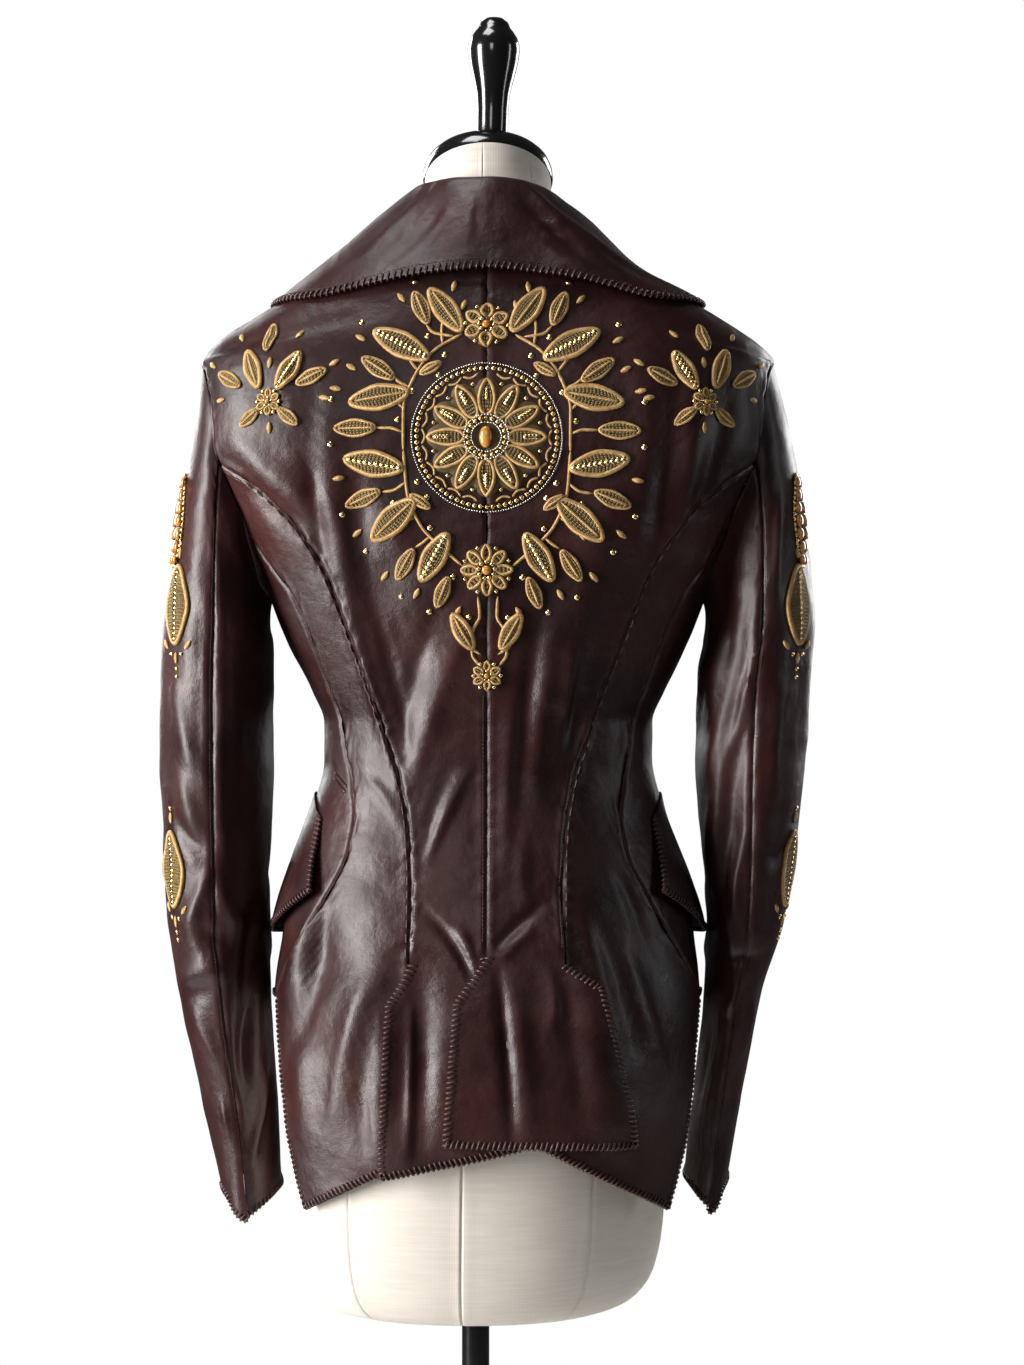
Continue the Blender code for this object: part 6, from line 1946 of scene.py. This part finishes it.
def leaf(threads, ground, length, width, lean, side, studded, rim=0.0021):
    """A leaf with a satin rim, a raised midrib and rows of chain stitches that follow its sides."""
    angle = math.radians(lean)
    cos, sin = math.cos(angle), math.sin(angle)

    def flat(aside, along):
        above = along * length / 2
        return np.stack([side * (above * sin + aside * cos), above * cos - aside * sin], -1)

    turn = turns(48)
    outline = flat(np.sign(np.sin(turn)) * leaf_half(np.cos(turn), width), np.cos(turn))
    pad(threads.piles["pad"], ground, outline)
    inside = 1 - 2 * rim / length
    edge = flat(np.sign(np.sin(turn)) * leaf_half(np.cos(turn), width - 2 * rim), np.cos(turn) * inside)
    cord(threads.piles["satin"], ground, edge, rim, rim * 0.72, 0.0012, closed=True)
    rows = int((width / 2 - 1.9 * rim) / LEAF_ROW)
    for row in range(rows):
        share = (row + 0.9) / (rows + 0.55)
        along = np.linspace(-0.86, 0.80 - 0.10 * share, 40)
        for way in (-1, 1):
            inner = flat(way * share * leaf_half(along, width - 3.2 * rim), along)
            chain_row(threads.piles["chain"], ground, inner, LEAF_CHAIN_RISE)
    middle = np.linspace(-0.82, 0.78, 30)
    if studded:
        stone_row(threads.piles["gold"], SEQUIN, ground, flat(0 * middle, middle), *LEAF_SEQUINS)
    else:
        cord(threads.piles["satin"], ground, flat(0 * middle, middle), *MIDRIB, taper=0.006)


# Shares of a flower's radius: the petals' foot and tip, the place where their width is worked out, the stones
# in the notches between them, and the stones round the centre.
PETAL_SPAN = (0.36, 0.965)
PETAL_MIDDLE = 0.66
NOTCH_REACH = 0.90
STONE_RING = 0.31
# Rings of beads round a large flower's centre: share of its radius and rise.
BEAD_RINGS = ((0.245, 0.0022), (0.365, 0.0024))
BEAD_SPACING = 0.0018
LARGE_FLOWER = 0.03
# How much of its room a petal takes, its widest rim, and the rows of chain stitches in it.
PETAL_SHARE = 0.90
PETAL_RIM = 0.0014
PETAL_ROW = 0.0017
PETAL_CHAINED = (0.10, 0.88)
PETAL_CHAIN_RISE = 0.0020
# Sequins along a petal that is wide enough for them: rise and spacing.
SEQUIN_PETAL_HALF = 0.006
PETAL_SEQUINS = (0.0026, 0.0037)
AMBER_RISE = 0.0018


def petal_swell(share):
    """A petal's width along it, as a share of its widest."""
    return np.sin(math.pi * share**0.8) ** 0.6


def petal(threads, ground, radius, half, rim, angle):
    """A satin rim round rows of chain stitches and, where there is room, a line of sequins."""
    inner, outer = (share * radius for share in PETAL_SPAN)
    sin, cos = math.sin(angle), math.cos(angle)

    def flat(aside, along):
        above = inner + (outer - inner) * along
        return np.stack([above * sin + aside * cos, above * cos - aside * sin], -1)

    share = np.linspace(0, 1, 16)
    swell = (half - rim) * petal_swell(share)
    sides = np.vstack([flat(swell, share), flat(-swell, share)[::-1][1:-1]])
    cord(threads.piles["satin"], ground, sides, rim, rim * 0.8, 0.0018, closed=True)
    rows = max(int((half - 2 * rim) / PETAL_ROW), 0)
    fill = np.linspace(*PETAL_CHAINED, 20)
    for row in range(-rows, rows + 1):
        aside = row / (rows + 0.6) * (half - 2 * rim) * petal_swell(fill)
        chain_row(threads.piles["chain"], ground, flat(aside, fill), PETAL_CHAIN_RISE, size=0.92)
    if half > SEQUIN_PETAL_HALF:
        line = flat(0 * fill[:8], fill[9:17])
        stone_row(threads.piles["gold"], SEQUIN, ground, line, *PETAL_SEQUINS, size=0.9)


def flower(threads, ground, radius, petals):
    """Petals round a centre of stones and beads, on a padded ground."""
    turn = turns(petals * 12)
    reach = radius * (0.84 + 0.16 * np.abs(np.cos(turn * petals / 2)))
    pad(threads.piles["pad"], ground, on_circle(turn) * reach[:, None])
    half = math.pi * PETAL_MIDDLE * radius / petals * PETAL_SHARE
    rim = min(PETAL_RIM, half * 0.3)
    for k in range(petals):
        angle = 2 * math.pi * k / petals
        petal(threads, ground, radius, half, rim, angle)
        notch = angle + math.pi / petals
        spot = (radius * NOTCH_REACH * math.sin(notch), radius * NOTCH_REACH * math.cos(notch))
        place(threads.piles["gold"], STONE, ground, spot, 0.0016, 0.8)
    circle = on_circle(turn) * radius
    size = min(1, radius / 0.02)
    stone_row(threads.piles["gold"], STONE, ground, circle * STONE_RING, 0.0022, 0.0042, True, size)
    if radius > LARGE_FLOWER:
        for share, rise in BEAD_RINGS:
            stone_row(threads.piles["silver"], SMALL_BEAD, ground, circle * share, rise, BEAD_SPACING, True)
        place(threads.piles["amber"], AMBER_OVAL, ground, (0, 0), AMBER_RISE)
    else:
        place(threads.piles["amber"], AMBER_ROUND, ground, (0, 0), AMBER_RISE, radius / 0.022)


def bud(threads, ground, x, z, lean, size=0.0085):
    """A small satin bud."""
    angle = math.radians(lean)
    along = np.array([math.sin(angle), math.cos(angle)])
    middle = np.linspace(-0.5, 0.5, 12)[:, None] * size * along + np.array([x, z])
    cord(threads.piles["satin"], ground, middle, 0.0022, 0.0013, 0.0006, taper=size * 0.5, step=0.0008)


# Stems between the motifs of one half of the back: points across and up from the middle of the large flower.
STEMS = (
    ((0.0060, -0.1570), (0.0150, -0.1500), (0.0170, -0.1440)),
    ((0.0060, -0.1660), (0.0125, -0.1560), (0.0115, -0.1400), (0.0062, -0.1290), (0.0070, -0.1150)),
    ((0.0180, -0.0930), (0.0330, -0.0800), (0.0480, -0.0640), (0.0575, -0.0400), (0.0600, -0.0100)),
    ((0.0600, -0.0100), (0.0600, 0.0200), (0.0520, 0.0450), (0.0380, 0.0640), (0.0190, 0.0760)),
    ((0.0330, -0.0800), (0.0300, -0.0850), (0.0330, -0.0900)),
    ((0.0520, -0.0580), (0.0600, -0.0620), (0.0700, -0.0740)),
    ((0.0600, -0.0200), (0.0660, -0.0200), (0.0720, -0.0185)),
    ((0.0600, 0.0200), (0.0660, 0.0260), (0.0700, 0.0280)),
    ((0.0500, 0.0480), (0.0560, 0.0560), (0.0600, 0.0640)),
    ((0.0330, 0.0680), (0.0340, 0.0800), (0.0330, 0.0880)),
    ((0.0250, 0.0740), (0.0400, 0.0770), (0.0455, 0.0830)),
    ((0.0560, 0.0360), (0.0640, 0.0400), (0.0680, 0.0440)),
    ((0.0605, 0.0030), (0.0700, 0.0060), (0.0800, 0.0060)),
    ((0.0585, -0.0330), (0.0680, -0.0390), (0.0760, -0.0400)),
    ((0.0410, -0.0720), (0.0470, -0.0770), (0.0520, -0.0800)),
)
# Buds beside the stems: place from the middle of the large flower, and lean in degrees.
BUDS = (
    (0.0520, -0.1130, 150), (0.0960, -0.0690, 130), (0.1080, -0.0300, 100), (0.1100, 0.0350, 80),
    (0.0990, 0.0510, 60), (0.0930, 0.0730, 60), (0.0650, 0.1040, 40), (0.0270, 0.1130, -10),
    (0.0190, 0.0980, -20), (0.0220, -0.1260, 150), (0.0760, -0.1000, 140),
)
# Small stones scattered between the stems, in the same measure.
SPRINKLED = (
    (0.0250, -0.1010), (0.0410, -0.0660), (0.0500, -0.0330), (0.0680, -0.0480), (0.0640, 0.0120),
    (0.0670, 0.0360), (0.0540, 0.0330), (0.0440, 0.0740), (0.0260, 0.0880), (0.0310, 0.0600),
    (0.0140, -0.1300), (0.0190, -0.1400), (0.1130, 0.0270), (0.1130, -0.0060), (0.0900, -0.0820),
    (0.1060, -0.0560), (0.0930, 0.0850), (0.0560, 0.1170), (0.0640, -0.1150), (0.0430, -0.1260),
    (0.0430, -0.0440), (0.0350, 0.0450),
)
# Small thread leaves, buds and a flower that fan out between the plates on each shoulder.
SHOULDER_LEAFLETS = (
    (0.1900, 1.4010, 0.0260, 0.0125, 64),
    (0.1280, 1.4010, 0.0260, 0.0125, -64),
    (0.1590, 1.4310, 0.0250, 0.0120, 0),
    (0.1740, 1.3720, 0.0210, 0.0105, 128),
    (0.1450, 1.3720, 0.0210, 0.0105, -128),
)
SHOULDER_BUDS = (
    (0.1820, 1.4330, 40), (0.1370, 1.4330, -40), (0.1590, 1.4120, 0), (0.2040, 1.4130, 60),
    (0.1110, 1.4110, -60), (0.1590, 1.3640, 180), (0.1970, 1.3860, 100), (0.1180, 1.3850, -100),
)
SHOULDER_FLOWER = (0.1595, 1.3830, 0.0100, 6)
# Radius of the circle of stones round the large flower.
STONE_CIRCLE = 0.0505
# Small leaves of thread alone between the large ones: place from the middle of the large flower, length,
# width and lean in degrees.
LEAFLETS = (
    (0.0500, 0.0960, 0.0300, 0.0140, 22),
    (0.0790, 0.0500, 0.0300, 0.0140, 56),
    (0.0950, 0.0060, 0.0320, 0.0150, 91),
    (0.0900, -0.0440, 0.0300, 0.0140, 112),
    (0.0600, -0.0920, 0.0280, 0.0130, 148),
    (0.0330, -0.1120, 0.0260, 0.0120, 158),
    (0.0410, 0.0500, 0.0190, 0.0090, -60),
    (0.0480, -0.0470, 0.0190, 0.0090, -125),
)
# Satin arcs inside the circle of stones.
SCALLOPS = 24
SCALLOP_REACH = 0.0052


def scallops(threads, ground):
    """A ring of small satin arcs round the circle of stones."""
    share = np.linspace(-0.5, 0.5, 9)
    for k in range(SCALLOPS):
        middle = 2 * math.pi * k / SCALLOPS
        if abs(math.cos(middle)) > 0.97:
            continue
        angle = middle + share * 2 * math.pi / SCALLOPS * 0.92
        reach = STONE_CIRCLE - 0.0034 - SCALLOP_REACH * 0.5 * np.cos(math.pi * share)
        arc = on_circle(angle) * reach[:, None]
        cord(threads.piles["satin"], ground, arc, 0.0009, 0.0008, 0.0003, taper=0.001, step=0.001)


def garland(threads, ground):
    """Stems, buds and stones between the motifs on the back."""
    circle = on_circle(turns(120))
    stone_row(threads.piles["gold"], STONE, ground, circle * STONE_CIRCLE, 0.0001, 0.0044, True)
    bead_circle = circle * (STONE_CIRCLE + 0.0036)
    stone_row(threads.piles["silver"], SMALL_BEAD, ground, bead_circle, 0.0001, 0.0019, True)
    scallops(threads, ground)
    for side in (1, -1):
        for stem in STEMS:
            points = np.array(stem) * [side, 1.0]
            along = lengths_along(points)
            even = np.linspace(0, along[-1], 40)
            smooth = np.stack([monotone_curve(along, points[:, k])(even) for k in (0, 1)], -1)
            cord(threads.piles["satin"], ground, smooth, 0.0012, 0.0010, 0.0004, taper=0.004)
        for x, z, lean in BUDS:
            bud(threads, ground, side * x, z, side * lean)
        for x, z, length, width, lean in LEAFLETS:
            centre = ground.lay([[side * x, z]])[0][0]
            ground_here = ground.moved(centre[0], centre[2])
            leaf(threads, ground_here, length, width, lean, side, False, 0.0013)
        place(threads.piles["gold"], SEQUIN, ground, np.array(SPRINKLED) * [side, 1.0], 0.0001)


def build_back_embroidery(finishes):
    ground = Ground("back_", "side_back_")
    back, shoulders = Threads(), Threads()
    nodes, shoulder_nodes = [], []
    for number, (height, radius, petals) in enumerate(BACK_FLOWERS, 1):
        flower(back, ground.from_behind(MOTIF_X, height), radius, petals)
        nodes.append(f"flower_{number}")
    for side, word in ((1, "right"), (-1, "left")):
        for number, (x, z, length, width, lean) in enumerate(BACK_LEAVES, 1):
            ground.from_behind(side * x, z)
            leaf(back, ground, length, width, lean, side, number % 2 == 0)
            nodes.append(f"leaf_{number}_{word}")
        for number, (x, z, length, width, lean) in enumerate(SHOULDER_LEAVES, 1):
            ground.from_behind(side * x, z)
            leaf(shoulders, ground, length, width, lean, side, number % 2 == 0)
            shoulder_nodes.append(f"shoulder_leaf_{number}_{word}")
        for x, z, length, width, lean in SHOULDER_LEAFLETS:
            ground.from_behind(side * x, z, 0.004)
            leaf(shoulders, ground, length, width, lean, side, False, 0.0013)
        for x, z, lean in SHOULDER_BUDS:
            ground.from_behind(side * x, z, 0.004)
            bud(shoulders, ground, 0.0, 0.0, side * lean)
        x, z, radius, petals = SHOULDER_FLOWER
        flower(shoulders, ground.from_behind(side * x, z, 0.004), radius, petals)
    garland(back, ground.from_behind(MOTIF_X, BACK_FLOWERS[0][0], 0.06))
    back.made("back", finishes, nodes)
    shoulders.made("shoulders", finishes, shoulder_nodes)


# Large beads of the strip on a sleeve: place across and up from its middle, and size.
STRIP_BEADS = [
    (side * 0.0046, 0.0290 - 0.0097 * row, 1.0 - 0.05 * abs(row - 3))
    for row in range(7)
    for side in (-1, 1)
]
# Buds and stones round each leaf of a sleeve: place across and up from its middle, and lean in degrees.
SLEEVE_BUDS = ((0.0130, -0.0300, 40), (-0.0130, -0.0300, -40), (0.0, -0.0400, 0), (0.0, 0.0390, 0))
SLEEVE_STONES = ((0.0060, -0.0370), (-0.0060, -0.0370), (0.0, -0.0480), (0.0, -0.0540), (0.0, 0.0460))


def bead_strip(threads, ground, length, width):
    """Two rows of large amber beads with small gold and silver beads round them."""
    turn = turns(48)
    half = np.sign(np.sin(turn)) * leaf_half(np.cos(turn), width)
    outline = np.stack([half, np.cos(turn) * length / 2], -1)
    pad(threads.piles["pad"], ground, outline, 0.7)
    for x, z, size in STRIP_BEADS:
        if abs(x) + 0.003 > leaf_half(np.array(z * 2 / length), width):
            x = x * 0.55
        place(threads.piles["amber"], LARGE_BEAD, ground, (x, z), 0.0008, size, (0.2, 1.0))
    stone_row(threads.piles["gold"], STONE, ground, outline * [0.93, 0.97], 0.0006, 0.0040, True)
    stone_row(threads.piles["silver"], SMALL_BEAD, ground, outline * [0.66, 0.90], 0.0014, 0.0030, True)


def build_sleeve_embroidery(finishes):
    for side, word in ((1, "right"), (-1, "left")):
        ground = Ground(f"sleeve_upper_{word}", f"sleeve_under_{word}")
        threads = Threads()
        rows = [row + (True,) for row in SLEEVE_LEAVES] + [BEAD_STRIP + (False,)]
        for degrees, height, length, width, leafy in rows:
            angle = math.radians(degrees)
            way = (-side * math.cos(angle), math.sin(angle), 0.0)
            start = (side * SLEEVE_MIDDLE_X - AIM_FROM * way[0] + JACKET_X, -AIM_FROM * way[1], height)
            ground.aim(start, way)
            if not leafy:
                bead_strip(threads, ground, length, width)
                continue
            leaf(threads, ground, length, width, 0, side, True)
            for x, z, lean in SLEEVE_BUDS:
                bud(threads, ground, x, z, lean)
            place(threads.piles["gold"], STONE, ground, SLEEVE_STONES, 0.0001)
        nodes = [f"sleeve_leaf_1_{word}", f"sleeve_leaf_2_{word}", f"sleeve_beads_1_{word}"]
        threads.made(f"sleeve_{word}", finishes, nodes)


# A horn button: radius and height of its turned outline, and the place of its four holes.
BUTTON_OUTLINE = (
    (0.0, 0.0), (0.0092, 0.0), (0.0099, 0.0008), (0.0100, 0.0020), (0.0095, 0.0031), (0.0085, 0.0035),
    (0.0076, 0.0031), (0.0068, 0.0023), (0.0040, 0.0021), (0.0, 0.0021),
)
BUTTON_HOLE = 0.0017
BUTTON_THREAD = 0.0004
HOLE_OUTLINE = ((0.0, 0.0020), (0.00085, 0.0020), (0.00085, 0.00225), (0.0006, 0.0022), (0.0, 0.00215))


def build_buttons(horn, thread):
    """Two horn buttons, each sewn on through its four holes with a cross of thread."""
    ground = Ground("front_")
    for number, height in enumerate(BUTTON_HEIGHTS, 1):
        ground.aim((BUTTON_X + JACKET_X, AIM_FROM, height), (0, -1, 0))
        disc, holes = Pile(), Pile()
        centre, outs = ground.lay([[0, 0]], 0.0012)
        outs = np.array([ground.normal])
        scatter(disc, template(BUTTON_OUTLINE, 48), centre, outs, ground.ways([[0, 1]]))
        for a, b in ((1, 1), (1, -1), (-1, 1), (-1, -1)):
            spot = centre + ground.ways([[a * BUTTON_HOLE, b * BUTTON_HOLE]])
            scatter(holes, template(HOLE_OUTLINE, 12), spot, outs, ground.ways([[0, 1]]))
        for way in (1, -1):
            ends = ground.ways([[-BUTTON_HOLE, -way * BUTTON_HOLE], [BUTTON_HOLE, way * BUTTON_HOLE]])
            share = np.linspace(0, 1, 9)[:, None]
            arch = 0.0018 + 0.0010 * np.sin(math.pi * share)
            line = centre + ends[:1] * (1 - share) + ends[1:] * share + outs * arch
            across = np.cross(outs, ends[1:] - ends[:1])[:, None] + 0 * line[None]
            tubes(holes, line[None], across, BUTTON_THREAD, BUTTON_THREAD)
        button = disc.made(f"horn_button_{number}", horn, slot="horn")
        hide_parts(f"button_{number}")
        holes.made(f"button_thread_{number}", thread, slot="horn")


# The double welts at the left of the waist: place across and up of both ends, and the middle between them.
WELTS = (((-0.1200, 1.1085), (-0.1010, 1.0985)), ((-0.1195, 1.1040), (-0.1015, 1.0945)))
WELTS_MIDDLE = (-0.1100, 1.1015)


def build_welts(finish):
    ground = Ground("side_back_left", "side_left", "back_left")
    pile = Pile()
    ground.from_behind(*WELTS_MIDDLE, 0.004)
    for start, end in WELTS:
        line = np.array([start, end]) - WELTS_MIDDLE
        cord(pile, ground, np.linspace(line[0], line[1], 20), 0.0014, 0.0011, 0.0002, taper=0.002)
    pile.made("waist_welts", finish)


# The form and its stand.

# Turns of the sewn lines of the form's cover, in degrees.
FORM_SEAMS = (48, 94, 134, 190, 230, 270, 310, 350)
# Fine columns beside each sewn line, how wide it is kept clear of others, and fine rings at the form's foot.
SEAM_STEPS = (-0.020, -0.011, -0.005, 0.0, 0.005, 0.011, 0.020)
SEAM_CLEAR = 0.022
FORM_FOOT_RINGS = (0.7000, 0.7008, 0.7020, 0.7035, 0.7060, 0.7085, 0.7120, 0.7165, 0.7220, 0.7300, 0.7400)


def build_form(finish):
    """The linen form, with the sewn lines of its cover as narrow grooves."""
    seams = np.radians(FORM_SEAMS)
    angles = list(turns(128))
    for seam in seams:
        angles = [turn for turn in angles if abs(turn - seam) > SEAM_CLEAR]
        angles += [seam + step for step in SEAM_STEPS]
    rings = np.concatenate([FORM_FOOT_RINGS, np.linspace(0.750, 1.462, 56), np.linspace(1.466, 1.560, 32)])
    ring, turn = np.meshgrid(rings, np.sort(np.array(angles)), indexing="ij")
    points = form_surface(turn, ring)
    normal = normals(form_surface, turn, ring, -1)
    groove = np.zeros_like(ring)
    for seam in seams:
        groove -= 0.0007 * np.exp(-(((turn - seam) / 0.007) ** 2))
        groove += 0.0003 * np.exp(-(((np.abs(turn - seam) - 0.018) / 0.010) ** 2))
    groove = groove * smooth_step(ring, 0.700, 0.708) * (1 - smooth_step(ring, 1.552, 1.560))
    points = points + normal * groove[..., None]
    points[..., 0] += JACKET_X
    columns = ring.shape[1]
    pile = Pile()
    pile.add(points, tube_faces(*ring.shape))
    fan = np.array([(k, (k + 1) % columns, columns) for k in range(columns)])
    for row, order in ((0, 1), (-1, -1)):
        pile.add(np.vstack([points[row], points[row].mean(axis=0)]), tris=fan[:, ::order])
    obj = pile.made("linen_form", finish, slot="linen")
    weld(obj)
    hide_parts("form_torso")


def weld(obj, distance=1e-6):
    """Joins points that lie on each other and turns the faces to point out."""
    mesh = bmesh.new()
    mesh.from_mesh(obj.data)
    bmesh.ops.remove_doubles(mesh, verts=mesh.verts, dist=distance)
    bmesh.ops.recalc_face_normals(mesh, faces=mesh.faces)
    mesh.to_mesh(obj.data)
    mesh.free()
    obj.data.set_sharp_from_angle(angle=math.radians(50))


def turned(name, node, outline, finish, slot, centre=(0.0, 0.0, 0.0), tip=0.0, lean=0.0, slant=0.0, steps=72):
    """A fine solid turned round an upright axis, set where the solid of the same outline stands."""
    angle = turns(steps)
    radius, height = np.array(outline, float).T
    cut = slant * np.maximum(0.0, 1.0 - height / SLANT_HEIGHT)
    y = radius[:, None] * np.sin(angle)
    x = radius[:, None] * np.cos(angle)
    z = height[:, None] - cut[:, None] * y
    cos_t, sin_t = math.cos(-tip), math.sin(-tip)
    y, z = y * cos_t - z * sin_t, y * sin_t + z * cos_t
    cos_l, sin_l = math.cos(lean), math.sin(lean)
    x, z = x * cos_l + z * sin_l, z * cos_l - x * sin_l
    points = np.stack([x, y, z], -1) + np.array(centre)
    pile = Pile()
    pile.add(points, tube_faces(*x.shape))
    obj = pile.made(name, finish, slot=slot)
    weld(obj)
    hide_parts(node)


def build_stand(paint, wood):
    low, high = POLE_SPAN
    pole = ((0.0, low), (POLE_RADIUS, low), (POLE_RADIUS, high), (0.0, high))
    painted, wooden = (paint, "black_paint"), (wood, "black_wood")
    turned("stand_plate", "base_plate", BASE_PLATE, *painted, steps=128)
    turned("stand_foot", "pole_foot", POLE_FOOT, *painted)
    turned("stand_pole", "pole", pole, *painted)
    turned("stand_socket", "pole_socket", POLE_SOCKET, *painted)
    turned("cap_wood", "neck_cap", NECK_CAP, *wooden, (JACKET_X, 0, NECK_CAP_Z), tip=NECK_TIP)
    top = (JACKET_X + FINIAL_X, 0.0, FINIAL_Z)
    turned("finial_wood", "finial", FINIAL, *wooden, top, lean=FINIAL_LEAN, slant=math.tan(NECK_TIP))


# Light and camera.

PHOTO_WIDTH, PHOTO_HEIGHT = 1024, 1365
SENSOR_MM = 24.0
LENS_MM = 43.39
LENS_SHIFT = -0.0458
CAMERA_PLACE = (0.028, -1.9, 1.2234)
# The white that the camera sees round the object, and the faint light that the same room gives.
ROOM_COLOUR = (0.93, 0.96, 1.0, 1)
ROOM_STRENGTH = 0.045
LAMP_TARGET = (0.0, 0.0, 1.15)
WHITE = (1.0, 1.0, 1.0)
# The lamps: place, width and height in metres, power in watts and colour.
LAMPS = {
    "window_left": ((-2.6, -1.1, 1.35), (0.9, 2.3), 185.0, (1.0, 0.985, 0.965)),
    "window_right": ((2.7, -0.6, 1.6), (0.28, 1.8), 9.0, (0.95, 0.98, 1.0)),
    "behind": ((-0.5, -2.9, 2.3), (0.6, 0.7), 7.0, WHITE),
    "top": ((-0.5, -0.4, 3.1), (0.8, 0.7), 16.0, WHITE),
    "front_left": ((-1.6, 2.2, 2.0), (1.2, 1.8), 60.0, WHITE),
    "front_right": ((1.8, 2.0, 1.8), (1.0, 1.6), 40.0, WHITE),
}


def area_light(name, place, size, power, colour):
    data = bpy.data.lights.new(name, "AREA")
    data.shape = "RECTANGLE"
    data.size, data.size_y = size
    data.energy = power
    data.color = colour
    lamp = bpy.data.objects.new(name, data)
    lamp.location = place
    way = Vector(LAMP_TARGET) - Vector(place)
    lamp.rotation_euler = way.to_track_quat("-Z", "Y").to_euler()
    bpy.context.scene.collection.objects.link(lamp)


def build_light():
    world = bpy.data.worlds.new("white_room")
    world.use_nodes = True
    tree = world.node_tree
    shown = tree.nodes["Background"]
    shown.inputs["Color"].default_value = (1, 1, 1, 1)
    shown.inputs["Strength"].default_value = 1.0
    room = tree.nodes.new("ShaderNodeBackground")
    room.inputs["Color"].default_value = ROOM_COLOUR
    room.inputs["Strength"].default_value = ROOM_STRENGTH
    path = tree.nodes.new("ShaderNodeLightPath")
    mix = tree.nodes.new("ShaderNodeMixShader")
    tree.links.new(path.outputs["Is Camera Ray"], mix.inputs["Fac"])
    tree.links.new(room.outputs["Background"], mix.inputs[1])
    tree.links.new(shown.outputs["Background"], mix.inputs[2])
    tree.links.new(mix.outputs["Shader"], tree.nodes["World Output"].inputs["Surface"])
    bpy.context.scene.world = world
    for name, lamp in LAMPS.items():
        area_light(name, *lamp)
    bpy.context.scene.view_settings.view_transform = "Standard"


def build_camera():
    data = bpy.data.cameras.new("camera")
    data.sensor_fit = "VERTICAL"
    data.sensor_height = SENSOR_MM
    data.sensor_width = SENSOR_MM * PHOTO_WIDTH / PHOTO_HEIGHT
    data.lens = LENS_MM
    data.shift_y = LENS_SHIFT
    camera = bpy.data.objects.new("camera", data)
    camera.location = CAMERA_PLACE
    camera.rotation_euler = (QUARTER, 0.0, 0.0)
    bpy.context.scene.collection.objects.link(camera)
    bpy.context.scene.camera = camera


FLOOR_RADIUS = 1.3
FLOOR_Z = -0.0004
FLOOR_SIDES = 96
FLOOR_COLOURS = ((0.80, 0.80, 0.79, 1), (0.84, 0.84, 0.83, 1))


def build_floor():
    colour, second = FLOOR_COLOURS
    finish = simple_material("pale_floor", colour, 0.6, second=second, scale=3.0)
    mesh = bpy.data.meshes.new("floor")
    disc = [(FLOOR_RADIUS * math.cos(a), FLOOR_RADIUS * math.sin(a), FLOOR_Z) for a in turns(FLOOR_SIDES)]
    mesh.from_pydata(disc, [], [tuple(range(FLOOR_SIDES))])
    mesh.materials.append(finish)
    floor = bpy.data.objects.new("floor", mesh)
    bpy.context.scene.collection.objects.link(floor)


def main():
    build_camera()
    build_light()
    build_floor()
    leather = leather_material()
    build_body(leather)
    build_sleeves(leather)
    build_collar(leather)
    lacing = leather_material("lacing", LACING_DARK, LACING_LIGHT, LACING_GLOSS)
    thread = thread_material("brown_thread", BROWN_DARK, BROWN_LIGHT, 0.50, 0.0)
    build_stitching(lacing, thread)
    build_welts(leather)
    finishes = thread_finishes()
    build_back_embroidery(finishes)
    build_sleeve_embroidery(finishes)
    horn = simple_material("horn", HORN_DARK, 0.20, coat=0.4, second=HORN_LIGHT, scale=240.0)
    build_buttons(horn, thread)
    build_form(linen_material())
    paint = simple_material("gloss_paint", PAINT, 0.22, coat=0.5, scale=30.0, bump=0.0001)
    wood = simple_material("gloss_wood", BLACK_WOOD, 0.16, coat=0.6, scale=60.0, bump=0.0001)
    build_stand(paint, wood)


main()
